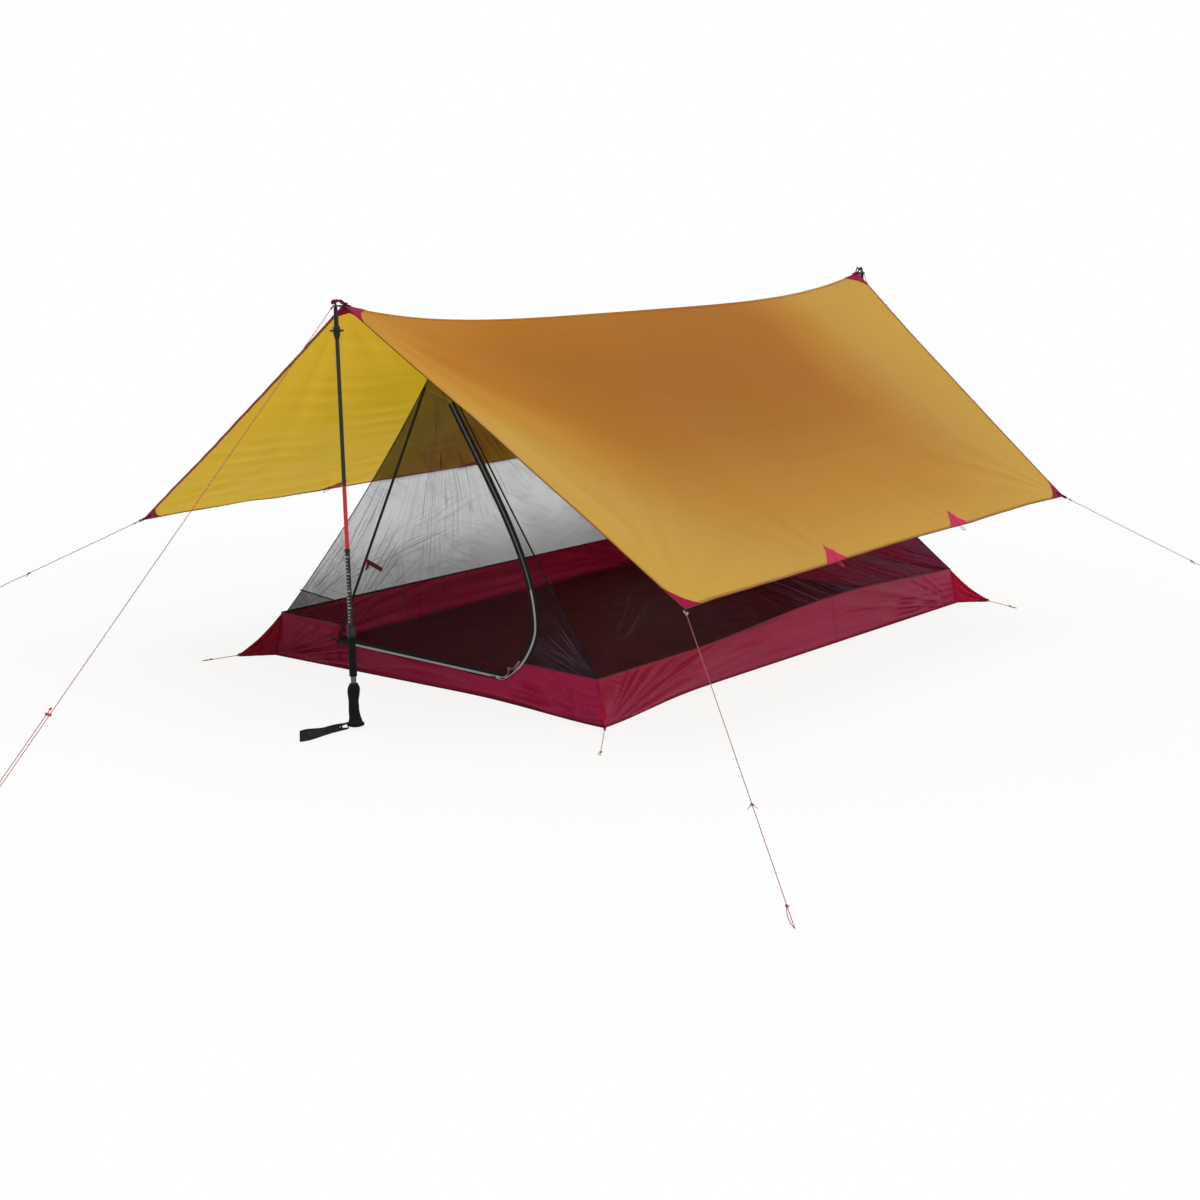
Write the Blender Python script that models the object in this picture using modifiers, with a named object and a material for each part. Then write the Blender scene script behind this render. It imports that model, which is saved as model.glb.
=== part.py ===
"""A ridge tarp pitched on two trekking poles, over a mesh inner tent with a bathtub floor.

Metres, +Z up. The ridge runs along Y and the door faces -Y. The origin is the middle of
the inner tent's floor, on the ground.
"""

import math

import bmesh
import bpy
from mathutils import Matrix, Vector
from mathutils.geometry import interpolate_bezier

COLLECTION_NAME = "camping_tarp"
RIGHT = 1
LEFT = -1
FRONT = 0
REAR = 1
ENDS = {"front": FRONT, "rear": REAR}
SIDES = {"right": RIGHT, "left": LEFT}

# Clearance between pieces that touch, the thickness of every sheet of cloth, and the room
# that a sheet's edge keeps from the middle of a sheet that it meets at an angle
GAP = 0.0003
CLOTH = 0.0010
EDGE_TO_SHEET = CLOTH / 2 + GAP + 0.0002
SLANTED_SEAM = 0.0012

# Tarp: the ridge, the four eave corners and the hollow cut of its edges
RIDGE_FRONT_Y = -1.455
RIDGE_REAR_Y = 1.412
RIDGE_FRONT_HEIGHT = 1.220
RIDGE_REAR_HEIGHT = 1.125
RIDGE_SAG = 0.080
RIDGE_SAG_POWER = 4.0
EAVE_HALF_WIDTH = 1.085
EAVE_FRONT_Y = -1.248
EAVE_REAR_Y = 1.040
EAVE_FRONT_HEIGHT = 0.428
EAVE_REAR_HEIGHT = 0.442
REAR_LEFT_DROP = 0.055
EAVE_HOLLOW = 0.010
END_HOLLOW = 0.020
PANEL_SAG = 0.012
PANEL_COLUMNS = 22
PANEL_ROWS = 8

# Reinforcements: leg lengths of the patches from the corner that they cover
CORNER_PATCH_ON_EAVE = 0.080
CORNER_PATCH_ON_END = 0.090
RIDGE_PATCH_ON_RIDGE = 0.090
RIDGE_PATCH_ON_END = 0.080
TIEOUT_HALF_BASE = 0.052
TIEOUT_HEIGHT = 0.062
TIEOUT_FRONT_Y = -0.425
TIEOUT_REAR_Y = 0.327
TIEOUT_LEFT_SHIFT = 0.070
TIEOUT_CLEARANCE = 0.0009

# Keyhole tabs at the ridge ends, which slip over the pole tips
TAB_REACH = 0.035
TAB_WIDTH = 0.014
TAB_RING_RADIUS = 0.010
TAB_THICKNESS = 0.0024

# Line tensioners at the eave corners
TENSIONER_LENGTH = 0.026
TENSIONER_WIDTH = 0.014
TENSIONER_THICKNESS = 0.005

# Guylines and stake cords: where each one meets the ground
CORD_RADIUS = 0.0011
RIDGE_GUY_FRONT_GROUND = (0.000, -2.873)
RIDGE_GUY_REAR_GROUND = (-0.140, 2.500)
CORNER_GUY_FRONT_RIGHT_GROUND = (2.130, -2.287)
CORNER_GUY_FRONT_LEFT_GROUND = (-1.800, -1.760)
CORNER_GUY_REAR_RIGHT_GROUND = (1.653, 1.719)
STAKE_CORD_FRONT_RIGHT_GROUND = (0.896, -1.383)
STAKE_CORD_FRONT_LEFT_GROUND = (-0.790, -1.280)
STAKE_CORD_REAR_RIGHT_GROUND = (0.880, 1.125)
GUY_POINTS = 14
STAKE_CORD_POINTS = 8
STAKE_CORD_CLEARANCE = 0.0007
GUY_TURN_RADIUS = 0.0055
ADJUSTER_FROM_GROUND = 0.330
ADJUSTER_WIDTH = 0.024
ADJUSTER_DEPTH = 0.010
ADJUSTER_THICKNESS = 0.006
ADJUSTER_TAIL = 0.018

# Inner tent: floor, walls and the corner ears that go to the stakes
FLOOR_WIDTH = 1.331
FLOOR_LENGTH = 2.134
FLOOR_THICKNESS = 0.0010
WALL_INWARD_LEAN = 0.021
WALL_CORNER_HEIGHT = 0.121
WALL_FRONT_LEFT_HEIGHT = 0.145
WALL_MIDDLE_RISE_RIGHT = 0.036
WALL_MIDDLE_RISE_LEFT = 0.000
WALL_RISE_CENTRE_Y = 0.300
WALL_RISE_REACH = 0.950
EAR_REACH_X = 0.075
EAR_REACH_Y = 0.087
EAR_TIP_HEIGHT = 0.012
INNER_FRONT_PEAK_HEIGHT = 1.018
INNER_REAR_PEAK_HEIGHT = 0.660
INNER_FRONT_SETBACK = 0.032
INNER_REAR_SETBACK = 0.068
INNER_RIDGE_SAG = 0.020
HIP_HOLLOW_FRONT_LEFT = 0.030
HIP_HOLLOW_FRONT_RIGHT = 0.002
HIP_HOLLOW_REAR = 0.018
HIP_STEPS = 8
INNER_COLUMNS = 14
INNER_ROWS = 8

# Door in the front mesh: left seam, zip route and what is on it
DOOR_SEAM_TOP_X = -0.042
DOOR_SEAM_TOP_DROP = 0.085
DOOR_TOP_X = 0.060
DOOR_TOP_DROP = 0.123
DOOR_LEFT_X = -0.391
DOOR_SIDE_X = 0.408
DOOR_SIDE_HEIGHT = 0.245
DOOR_CORNER_X = 0.285
THRESHOLD_HEIGHT = 0.0725
THRESHOLD_LEFT_HEIGHT = 0.0885
ZIP_RADIUS = 0.0022
SLIDER_LENGTH = 0.016
SLIDER_WIDTH = 0.009
SLIDER_THICKNESS = 0.003
TOGGLE_LENGTH = 0.070
TOGGLE_WIDTH = 0.012
TOGGLE_THICKNESS = 0.004
TOGGLE_HEIGHT = 0.352
TOGGLE_CENTRE_X = -0.235

# Straps that hang the inner tent's peaks from the ridge tabs
PEAK_STRAP_WIDTH = 0.010

# Trekking poles, upside down: heights are along the pole from the handle's end
TIP_RISE = 0.020
TIP_RADIUS = 0.0027
TIP_STRAIGHT = 0.030
FERRULE_RADIUS = 0.0055
BASKET_DROP = 0.0915
BASKET_RADIUS = 0.0205
BASKET_THICKNESS = 0.003
TIP_COLLAR_RADIUS = 0.0075
TIP_LENGTH = 0.115
LOWER_SHAFT_RADIUS = 0.0060
LOWER_SHAFT_LENGTH = 0.700
MIDDLE_SHAFT_RADIUS = 0.0070
LOWER_IN_MIDDLE = 0.088
MIDDLE_IN_HANDLE = 0.065
MIDDLE_COLLAR_RADIUS = 0.0080
MIDDLE_COLLAR_LENGTH = 0.010
UPPER_SHAFT_RADIUS = 0.0080
UPPER_SHAFT_TOP = 0.2850
CLAMP_TOP = 0.3034
CLAMP_BOTTOM = 0.2658
CLAMP_RADIUS = 0.0125
SLEEVE_BOTTOM = 0.1504
SLEEVE_RADIUS = 0.0118
GRIP_TOP = 0.1304
GRIP_TOP_RADIUS = 0.0165
GRIP_BULGE_RADIUS = 0.0185
GRIP_WAIST_RADIUS = 0.0152
GRIP_BELLY_RADIUS = 0.0172
GRIP_NECK_RADIUS = 0.0160
GRIP_FLANGE_RADIUS = 0.0265
GRIP_FLANGE_HEIGHT = 0.0104
GRIP_DOME_RADIUS = 0.060
GRIP_FLOOR = 0.012
SHAFT_SIDES = 16
GRIP_SIDES = 20
LEVER_THICKNESS = 0.0030
LEVER_HEIGHT = 0.022
LEVER_START_DEG = -60.0
LEVER_PIN_DEG = 90.0
STRAP_LENGTH = 0.195
STRAP_WEBBING = 0.0026
STRAP_SLIT = 0.0030
STRAP_HEIGHT = 0.022
STRAP_LIFT = 0.0002

# Each pole's own settings: how far its foot is from under its tip, and where its wrist
# strap lies
FRONT_POLE_FOOT = (0.155, -0.100)
REAR_POLE_FOOT = (0.000, 0.060)
FRONT_STRAP_HEADING_DEG = -94.0
REAR_STRAP_HEADING_DEG = 62.0


def clear_scene():
    """Remove what the file opened with."""
    for item in list(bpy.data.objects):
        bpy.data.objects.remove(item, do_unlink=True)


def make_material(name, colour, roughness, metallic=0.0):
    """A plain finish in the piece's colour."""
    material = bpy.data.materials.new(name)
    material.use_nodes = True
    shader = material.node_tree.nodes["Principled BSDF"]
    shader.inputs["Base Color"].default_value = (*colour, 1.0)
    shader.inputs["Roughness"].default_value = roughness
    shader.inputs["Metallic"].default_value = metallic
    material.diffuse_color = (*colour, 1.0)
    return material


def place(name, data, material, parent=None):
    """Put one named piece in the object's collection."""
    item = bpy.data.objects.new(name, data)
    data.materials.append(material)
    bpy.data.collections[COLLECTION_NAME].objects.link(item)
    item.parent = parent
    return item


def mix(a, b, share):
    """The value a share of the way from a to b."""
    return a + (b - a) * share


def frame_matrix(origin, x_axis, z_hint):
    """A placement with local X along x_axis and local Z as near z_hint as it can be."""
    x = Vector(x_axis).normalized()
    y = Vector(z_hint).cross(x).normalized()
    z = x.cross(y)
    return Matrix.Translation(origin) @ Matrix((x, y, z)).transposed().to_4x4()


# Shape builders


def cut_grid(point, columns, rows, cuts):
    """A curved open sheet from point(u, v), trimmed on the far side of each plane."""
    grid = bmesh.new()
    bmesh.ops.create_grid(grid, x_segments=columns, y_segments=rows, size=0.5)
    for vert in grid.verts:
        vert.co = point(vert.co.x + 0.5, vert.co.y + 0.5)
    bmesh.ops.triangulate(grid, faces=grid.faces[:])
    for spot, normal in cuts:
        everything = grid.verts[:] + grid.edges[:] + grid.faces[:]
        bmesh.ops.bisect_plane(
            grid, geom=everything, dist=0.00001, plane_co=spot, plane_no=normal, clear_outer=True
        )
    return grid


def finish_sheet(name, grid, material):
    """Turn an open sheet into a piece of cloth with its thickness."""
    mesh = bpy.data.meshes.new(name)
    grid.to_mesh(mesh)
    grid.free()
    item = place(name, mesh, material)
    thickness = item.modifiers.new("Cloth", "SOLIDIFY")
    thickness.thickness = CLOTH
    thickness.offset = 0.0
    return item


def add_sheet(name, point, columns, rows, material, cuts=()):
    """A piece of cloth from point(u, v), less what lies beyond the cuts."""
    return finish_sheet(name, cut_grid(point, columns, rows, cuts), material)


def add_outline(name, loops, thickness, matrix, material):
    """A flat piece: the first loop is its outline and the others are holes."""
    curve = bpy.data.curves.new(name, "CURVE")
    curve.dimensions = "2D"
    curve.fill_mode = "BOTH"
    curve.extrude = thickness / 2
    for loop in loops:
        spline = curve.splines.new("POLY")
        spline.points.add(len(loop) - 1)
        spline.use_cyclic_u = True
        for knot, (x, y) in zip(spline.points, loop):
            knot.co = (x, y, 0.0, 1.0)
    item = place(name, curve, material)
    item.matrix_world = matrix
    return item


def add_tube(name, points, radius, material):
    """A cord, wire or bead along points, with closed ends."""
    curve = bpy.data.curves.new(name, "CURVE")
    curve.dimensions = "3D"
    curve.bevel_depth = radius
    curve.bevel_resolution = 2
    curve.use_fill_caps = True
    spline = curve.splines.new("POLY")
    spline.points.add(len(points) - 1)
    for knot, point in zip(spline.points, points):
        knot.co = (*point, 1.0)
    return place(name, curve, material)


def add_turned(name, profile, sides, material, parent, closed):
    """A turned piece from (radius, height) points that run down its outside."""
    mesh = bpy.data.meshes.new(name)
    edges = [(i, i + 1) for i in range(len(profile) - 1)]
    if closed:
        edges.append((len(profile) - 1, 0))
    mesh.from_pydata([(radius, 0.0, height) for radius, height in profile], edges, [])
    item = place(name, mesh, material, parent)
    turn = item.modifiers.new("Turn", "SCREW")
    turn.axis = "Z"
    turn.steps = sides
    turn.render_steps = sides
    turn.use_merge_vertices = True
    turn.merge_threshold = 0.00001
    return item


def add_block(name, size, bevel, matrix, material):
    """A block with rounded edges, made at its real size."""
    box = bmesh.new()
    bmesh.ops.create_cube(box, size=1.0)
    bmesh.ops.scale(box, vec=size, verts=box.verts[:])
    mesh = bpy.data.meshes.new(name)
    box.to_mesh(mesh)
    box.free()
    item = place(name, mesh, material)
    item.matrix_world = matrix
    if bevel:
        edges = item.modifiers.new("Edges", "BEVEL")
        edges.width = bevel
        edges.segments = 2
    return item


def circle_points(radius, count, centre=(0.0, 0.0)):
    """Points round a circle."""
    angles = [2 * math.pi * i / count for i in range(count)]
    return [(centre[0] + radius * math.cos(a), centre[1] + radius * math.sin(a)) for a in angles]


# Tarp


def ridge_point(along):
    """A point of the ridge, which dips between its two ends."""
    y = mix(RIDGE_FRONT_Y, RIDGE_REAR_Y, along)
    chord = mix(RIDGE_FRONT_HEIGHT, RIDGE_REAR_HEIGHT, along)
    dip = RIDGE_SAG * (1 - abs(2 * along - 1) ** RIDGE_SAG_POWER)
    return Vector((0.0, y, chord - dip))


def eave_corner(side, end):
    """A corner of the tarp's eave."""
    if end == FRONT:
        return Vector((side * EAVE_HALF_WIDTH, EAVE_FRONT_Y, EAVE_FRONT_HEIGHT))
    drop = REAR_LEFT_DROP if side == LEFT else 0.0
    return Vector((side * EAVE_HALF_WIDTH, EAVE_REAR_Y, EAVE_REAR_HEIGHT - drop))


def eave_point(side, along):
    """A point of the eave, cut hollow between its corners."""
    point = eave_corner(side, FRONT).lerp(eave_corner(side, REAR), along)
    inward = (ridge_point(along) - point).normalized()
    return point + inward * EAVE_HOLLOW * 4 * along * (1 - along)


def panel_point(side, along, down, ridge_gap):
    """A point of one half of the tarp, from ridge (down 0) to eave (down 1)."""
    upper = ridge_point(along) + Vector((side * ridge_gap, 0.0, 0.0))
    point = upper.lerp(eave_point(side, along), down)
    bow = 4 * down * (1 - down)
    point.y += END_HOLLOW * bow * ((1 - along) ** 3 - along**3)
    point.z -= PANEL_SAG * bow * 4 * along * (1 - along)
    return point


def closer_at_ends(share):
    """Spread grid lines so that they are closer where the ridge bends most."""
    return mix(share, 0.5 - 0.5 * math.cos(math.pi * share), 0.6)


def panel_normal(side):
    """The way a half of the tarp faces, upwards and outwards."""
    eave = eave_corner(side, REAR) - eave_corner(side, FRONT)
    slope = eave_corner(side, FRONT) - ridge_point(0.0)
    normal = eave.cross(slope).normalized()
    return normal if normal.z > 0 else -normal


def corner_cut(side, end, at_ridge, shift):
    """A plane across a corner of a panel: a spot on it, and its normal towards the corner."""
    along = float(end)
    down = 0.0 if at_ridge else 1.0
    corner = panel_point(side, along, down, 0.0)
    end_length = (eave_corner(side, end) - ridge_point(along)).length
    side_length = (panel_point(side, 1.0, down, 0.0) - panel_point(side, 0.0, down, 0.0)).length
    end_leg = RIDGE_PATCH_ON_END if at_ridge else CORNER_PATCH_ON_END
    side_leg = RIDGE_PATCH_ON_RIDGE if at_ridge else CORNER_PATCH_ON_EAVE
    down_step = end_leg / end_length * (1 if at_ridge else -1)
    along_step = side_leg / side_length * (1 if end == FRONT else -1)
    on_end = panel_point(side, along, down + down_step, 0.0)
    on_side = panel_point(side, along + along_step, down, 0.0)
    normal = (on_side - on_end).cross(panel_normal(side)).normalized()
    if normal.dot(corner - on_end) < 0:
        normal = -normal
    return on_end + normal * shift, normal


def add_panel(name, side, material):
    """One half of the tarp, with its four corners cut away for their patches."""
    ridge_gap = CLOTH / 2 + GAP

    def point(u, v):
        return panel_point(side, closer_at_ends(u), v, ridge_gap)

    cuts = [corner_cut(side, end, top, -GAP / 2) for end in (FRONT, REAR) for top in (True, False)]
    return add_sheet(name, point, PANEL_COLUMNS, PANEL_ROWS, material, cuts)


def add_corner_patch(name, side, end, material):
    """The reinforced corner of the eave."""
    spot, normal = corner_cut(side, end, False, GAP / 2)

    def point(u, v):
        return panel_point(side, closer_at_ends(u), v, 0.0)

    return add_sheet(name, point, PANEL_COLUMNS, PANEL_ROWS, material, [(spot, -normal)])


def add_ridge_patch(name, end, material):
    """The reinforced end of the ridge, which folds over both halves."""
    patch = bmesh.new()
    for side in (RIGHT, LEFT):
        spot, normal = corner_cut(side, end, True, GAP / 2)

        def point(u, v, side=side):
            return panel_point(side, closer_at_ends(u), v, 0.0)

        half = cut_grid(point, PANEL_COLUMNS, PANEL_ROWS, [(spot, -normal)])
        half_mesh = bpy.data.meshes.new(name + "_half")
        half.to_mesh(half_mesh)
        half.free()
        patch.from_mesh(half_mesh)
        bpy.data.meshes.remove(half_mesh)
    bmesh.ops.remove_doubles(patch, verts=patch.verts[:], dist=0.0001)
    bmesh.ops.recalc_face_normals(patch, faces=patch.faces[:])
    return finish_sheet(name, patch, material)


def add_tieout(name, side, centre_y, material):
    """A triangular tie-out on the outside of the eave."""
    eave_length = EAVE_REAR_Y - EAVE_FRONT_Y
    middle = (centre_y - EAVE_FRONT_Y) / eave_length
    half = TIEOUT_HALF_BASE / eave_length
    slope = (eave_corner(side, FRONT) - ridge_point(0.0)).length
    normal = panel_normal(side)
    lift = normal * (CLOTH + TIEOUT_CLEARANCE)

    def point(u, v):
        along = mix(middle - half, middle + half, u)
        down = mix(1 - TIEOUT_HEIGHT / slope, 1.0, v)
        return panel_point(side, along, down, 0.0) + lift

    apex = point(0.5, 0.0)
    cuts = []
    for foot, outward in ((point(0.0, 1.0), -1), (point(1.0, 1.0), 1)):
        across = (foot - apex).cross(normal).normalized()
        if across.y * outward < 0:
            across = -across
        cuts.append((apex + across * 0.001, across))
    return add_sheet(name, point, 4, 2, material, cuts)


# Cords and what they pull on


def line_points(start, finish, count):
    """Evenly spaced points of a taut line."""
    return [start.lerp(finish, i / (count - 1)) for i in range(count)]


def ground_point(spot):
    """Where a cord rests on the ground at spot."""
    return Vector((spot[0], spot[1], CORD_RADIUS))


def add_corner_line(label, side, end, ground, metal, cord):
    """The tensioner at an eave corner and the guyline that runs from it to the ground."""
    corner = eave_corner(side, end)
    way = (ground_point(ground) - corner).normalized()
    near = corner + way * (GAP + 0.0003)
    middle = near + way * TENSIONER_LENGTH / 2
    size = (TENSIONER_LENGTH, TENSIONER_WIDTH, TENSIONER_THICKNESS)
    matrix = frame_matrix(middle, way, panel_normal(side))
    add_block("tensioner_" + label, size, 0.0012, matrix, metal)
    start = near + way * (TENSIONER_LENGTH + GAP)
    add_tube("guyline_" + label, line_points(start, ground_point(ground), GUY_POINTS), CORD_RADIUS, cord)


def tab_centre(end):
    """The middle of the hole in a ridge tab, on the pole's line."""
    peak = ridge_point(float(end))
    outward = 1 if end == REAR else -1
    return peak + Vector((0.0, outward * TAB_REACH, 0.0))


def add_ridge_tab(name, end, material):
    """The keyhole webbing tab between the ridge's end and the pole's tip."""
    half = TAB_WIDTH / 2
    neck = math.asin(half / TAB_RING_RADIUS)
    first = math.pi / 2 - neck
    sweep = 2 * math.pi - 2 * neck
    reach = TAB_REACH - GAP
    ring = []
    for i in range(15):
        angle = first - sweep * i / 14
        ring.append((TAB_RING_RADIUS * math.cos(angle), TAB_RING_RADIUS * math.sin(angle)))
    outline = [(-half, reach), (half, reach), *ring]
    hole = circle_points(TIP_RADIUS + GAP + 0.0003, 16)
    inward = (0.0, -1.0, 0.0) if end == REAR else (0.0, 1.0, 0.0)
    x_axis = Vector(inward).cross((0.0, 0.0, 1.0))
    matrix = frame_matrix(tab_centre(end), x_axis, (0.0, 0.0, 1.0))
    return add_outline(name, [outline, hole], TAB_THICKNESS, matrix, material)


def ridge_guy_start(end, ground):
    """Where a ridge guyline leaves its tab."""
    centre = tab_centre(end)
    level = Vector((ground[0], ground[1], centre.z)) - centre
    return centre + level.normalized() * (TAB_RING_RADIUS + CORD_RADIUS + GAP)


def front_guy_frame():
    """The front ridge guyline's line: its start, its direction, and the way across it."""
    start = ridge_guy_start(FRONT, RIDGE_GUY_FRONT_GROUND)
    way = (ground_point(RIDGE_GUY_FRONT_GROUND) - start).normalized()
    across = way.cross((0.0, 0.0, 1.0)).normalized()
    return start, way, across


def add_front_guy(cord):
    """The front guyline: down to its stake, round, and back up to the adjuster."""
    start, way, across = front_guy_frame()
    turn_centre = ground_point(RIDGE_GUY_FRONT_GROUND) - way * GUY_TURN_RADIUS + across * GUY_TURN_RADIUS
    length = (ground_point(RIDGE_GUY_FRONT_GROUND) - start).length - GUY_TURN_RADIUS
    points = line_points(start, start + way * length, GUY_POINTS)
    for i in range(1, 8):
        angle = math.pi * i / 8
        swing = -across * math.cos(angle) + way * math.sin(angle)
        points.append(turn_centre + swing * GUY_TURN_RADIUS)
    back = turn_centre + across * GUY_TURN_RADIUS
    tail = back - way * (ADJUSTER_FROM_GROUND + ADJUSTER_TAIL)
    points += line_points(back, tail, 6)
    return add_tube("guyline_ridge_front", points, CORD_RADIUS, cord)


def add_adjuster(material):
    """The two-holed adjuster that slides on the front guyline."""
    _, way, across = front_guy_frame()
    on_line = ground_point(RIDGE_GUY_FRONT_GROUND) - way * (ADJUSTER_FROM_GROUND + GUY_TURN_RADIUS)
    centre = on_line + across * GUY_TURN_RADIUS
    matrix = frame_matrix(centre, across, way)
    half_x = ADJUSTER_WIDTH / 2
    half_y = ADJUSTER_DEPTH / 2
    corner = half_y * 0.6
    outline = []
    for sx, sy, turn in ((1, -1, -90), (1, 1, 0), (-1, 1, 90), (-1, -1, 180)):
        middle = (sx * (half_x - corner), sy * (half_y - corner))
        for step in range(4):
            angle = math.radians(turn + 30 * step)
            outline.append((middle[0] + corner * math.cos(angle), middle[1] + corner * math.sin(angle)))
    hole = CORD_RADIUS + GAP + 0.0001
    holes = [circle_points(hole, 12, (x, 0.0)) for x in (-GUY_TURN_RADIUS, GUY_TURN_RADIUS)]
    return add_outline("guyline_adjuster", [outline, *holes], ADJUSTER_THICKNESS, matrix, material)


# Inner tent


def half_width_at(height):
    """The distance of a side wall's middle surface from the centre line."""
    base = FLOOR_WIDTH / 2 + GAP + CLOTH / 2
    return base - WALL_INWARD_LEAN * height / WALL_CORNER_HEIGHT


def front_plane_y(height):
    """The front of the inner tent, which leans back to its peak."""
    base = FLOOR_LENGTH / 2 + GAP + CLOTH / 2
    return -base + INNER_FRONT_SETBACK * height / INNER_FRONT_PEAK_HEIGHT


def rear_plane_y(height):
    """The rear of the inner tent, which leans forward to its peak."""
    base = FLOOR_LENGTH / 2 + GAP + CLOTH / 2
    return base - INNER_REAR_SETBACK * height / INNER_REAR_PEAK_HEIGHT


def plane_matrix(end):
    """The placement of a flat panel drawn in (x, distance up the slope)."""
    if end == FRONT:
        slope = Vector((0.0, INNER_FRONT_SETBACK, INNER_FRONT_PEAK_HEIGHT)).normalized()
        base = Vector((0.0, front_plane_y(0.0), 0.0))
    else:
        slope = Vector((0.0, -INNER_REAR_SETBACK, INNER_REAR_PEAK_HEIGHT)).normalized()
        base = Vector((0.0, rear_plane_y(0.0), 0.0))
    x = Vector((1.0, 0.0, 0.0))
    axes = Matrix((x, slope, x.cross(slope))).transposed().to_4x4()
    return Matrix.Translation(base) @ axes


def up_the_slope(outline, end):
    """Turn (x, height) points into (x, distance up the slope)."""
    slope_y = INNER_FRONT_SETBACK if end == FRONT else INNER_REAR_SETBACK
    peak = INNER_FRONT_PEAK_HEIGHT if end == FRONT else INNER_REAR_PEAK_HEIGHT
    stretch = math.hypot(slope_y, peak) / peak
    return [(x, height * stretch) for x, height in outline]


def hip_hollow(side, end):
    """How far a hip seam is drawn in between its ends."""
    if end == REAR:
        return HIP_HOLLOW_REAR
    return HIP_HOLLOW_FRONT_LEFT if side == LEFT else HIP_HOLLOW_FRONT_RIGHT


def hip_x(height, side, end):
    """How far a hip seam is from the centre line."""
    peak = INNER_FRONT_PEAK_HEIGHT if end == FRONT else INNER_REAR_PEAK_HEIGHT
    share = (height - WALL_CORNER_HEIGHT) / (peak - WALL_CORNER_HEIGHT)
    straight = half_width_at(WALL_CORNER_HEIGHT) * (1 - share)
    return straight - hip_hollow(side, end) * 4 * share * (1 - share)


def corner_height(side, end):
    """The height of the walls at a corner of the floor."""
    if side == LEFT and end == FRONT:
        return WALL_FRONT_LEFT_HEIGHT
    return WALL_CORNER_HEIGHT


def side_wall_top(side, y):
    """The height of a side wall, which rises towards its middle."""
    swing = math.cos(math.pi / 2 * min(1.0, abs(y - WALL_RISE_CENTRE_Y) / WALL_RISE_REACH))
    share = (y + FLOOR_LENGTH / 2) / FLOOR_LENGTH
    ends = mix(corner_height(side, FRONT), corner_height(side, REAR), share)
    rise = WALL_MIDDLE_RISE_RIGHT if side == RIGHT else WALL_MIDDLE_RISE_LEFT
    return ends + rise * swing**2


def plain_front_top(x):
    """The height of the front wall's straight top, which is higher on the left."""
    share = (x + half_width_at(0.0)) / (2 * half_width_at(0.0))
    return mix(corner_height(LEFT, FRONT), corner_height(RIGHT, FRONT), share)


def door_route():
    """The zip's line in (x, height), from the top, round the corner, to the left seam."""
    top = Vector((DOOR_TOP_X, 0.0, INNER_FRONT_PEAK_HEIGHT - DOOR_TOP_DROP))
    side = Vector((DOOR_SIDE_X, 0.0, DOOR_SIDE_HEIGHT))
    corner = Vector((DOOR_CORNER_X, 0.0, THRESHOLD_HEIGHT))
    left = Vector((DOOR_LEFT_X, 0.0, THRESHOLD_LEFT_HEIGHT))
    top_pull = Vector((0.190, 0.0, -0.275))
    side_pull = Vector((-0.008, 0.0, 0.185))
    corner_pull = Vector((0.070, 0.0, -0.0016))
    upper = interpolate_bezier(top, top + top_pull, side + side_pull, side, 12)
    side_drop = Vector((0.002, 0.0, -0.100))
    lower = interpolate_bezier(side, side + side_drop, corner + corner_pull, corner, 9)
    route = upper + lower[1:] + [corner.lerp(left, 0.5), left]
    return [(point.x, point.z) for point in route]


def offset_route(route, distance):
    """The route moved sideways, away from the door where distance is positive."""
    moved = []
    for i, (x, z) in enumerate(route):
        before = Vector(route[max(i - 1, 0)])
        after = Vector(route[min(i + 1, len(route) - 1)])
        way = (after - before).normalized()
        moved.append((x - way.y * distance, z + way.x * distance))
    return moved


def zip_clearance():
    """From the zip's line to the edge of the cloth on each side of it."""
    return ZIP_RADIUS + GAP + 0.0001


def fixed_edge():
    """The edge of the cloth outside the zip, from the top to the left."""
    return offset_route(door_route(), zip_clearance())


def front_wall_top(x):
    """The height of the front wall, which dips under the door."""
    edge = [point for point in fixed_edge() if point[1] < plain_front_top(point[0])]
    for (x1, z1), (x2, z2) in zip(edge, edge[1:]):
        if x2 <= x <= x1:
            return mix(z1, z2, (x1 - x) / (x1 - x2))
    return plain_front_top(x)


def front_wall_stations():
    """The x of each upright grid line of the front wall."""
    corner = half_width_at(0.0)
    edge = [x for x, z in reversed(fixed_edge()) if z < plain_front_top(x)]
    left = edge[0]
    return [-corner, mix(-corner, left, 0.5), left - 0.001, *edge, mix(edge[-1], corner, 0.5), corner]


def add_end_wall(name, end, stations, top, material):
    """A wall across one end of the floor, with the ear at each corner that goes to a stake."""
    outward = -1 if end == FRONT else 1
    plane_y = front_plane_y if end == FRONT else rear_plane_y
    steps = len(stations) + 1

    def point(u, v):
        column = round(u * steps)
        if column in (0, steps):
            side = LEFT if column == 0 else RIGHT
            tip_x = side * (half_width_at(0.0) + EAR_REACH_X)
            tip_y = plane_y(0.0) + outward * EAR_REACH_Y
            return Vector((tip_x, tip_y, EAR_TIP_HEIGHT * v))
        x = stations[column - 1]
        height = top(x) * v
        shrink = half_width_at(height) / half_width_at(0.0)
        at_corner = column in (1, steps - 1)
        return Vector((x * shrink if at_corner else x, plane_y(height), height))

    return add_sheet(name, point, steps, 2, material)


def add_side_wall(name, side, material):
    """A wall along one side of the floor."""

    def point(u, v):
        y_guess = mix(front_plane_y(0.0), rear_plane_y(0.0), u)
        height = side_wall_top(side, y_guess) * v
        front = front_plane_y(height) + EDGE_TO_SHEET
        rear = rear_plane_y(height) - EDGE_TO_SHEET
        return Vector((side * half_width_at(min(height, WALL_CORNER_HEIGHT)), mix(front, rear, u), height))

    return add_sheet(name, point, INNER_COLUMNS, 2, material)


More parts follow.
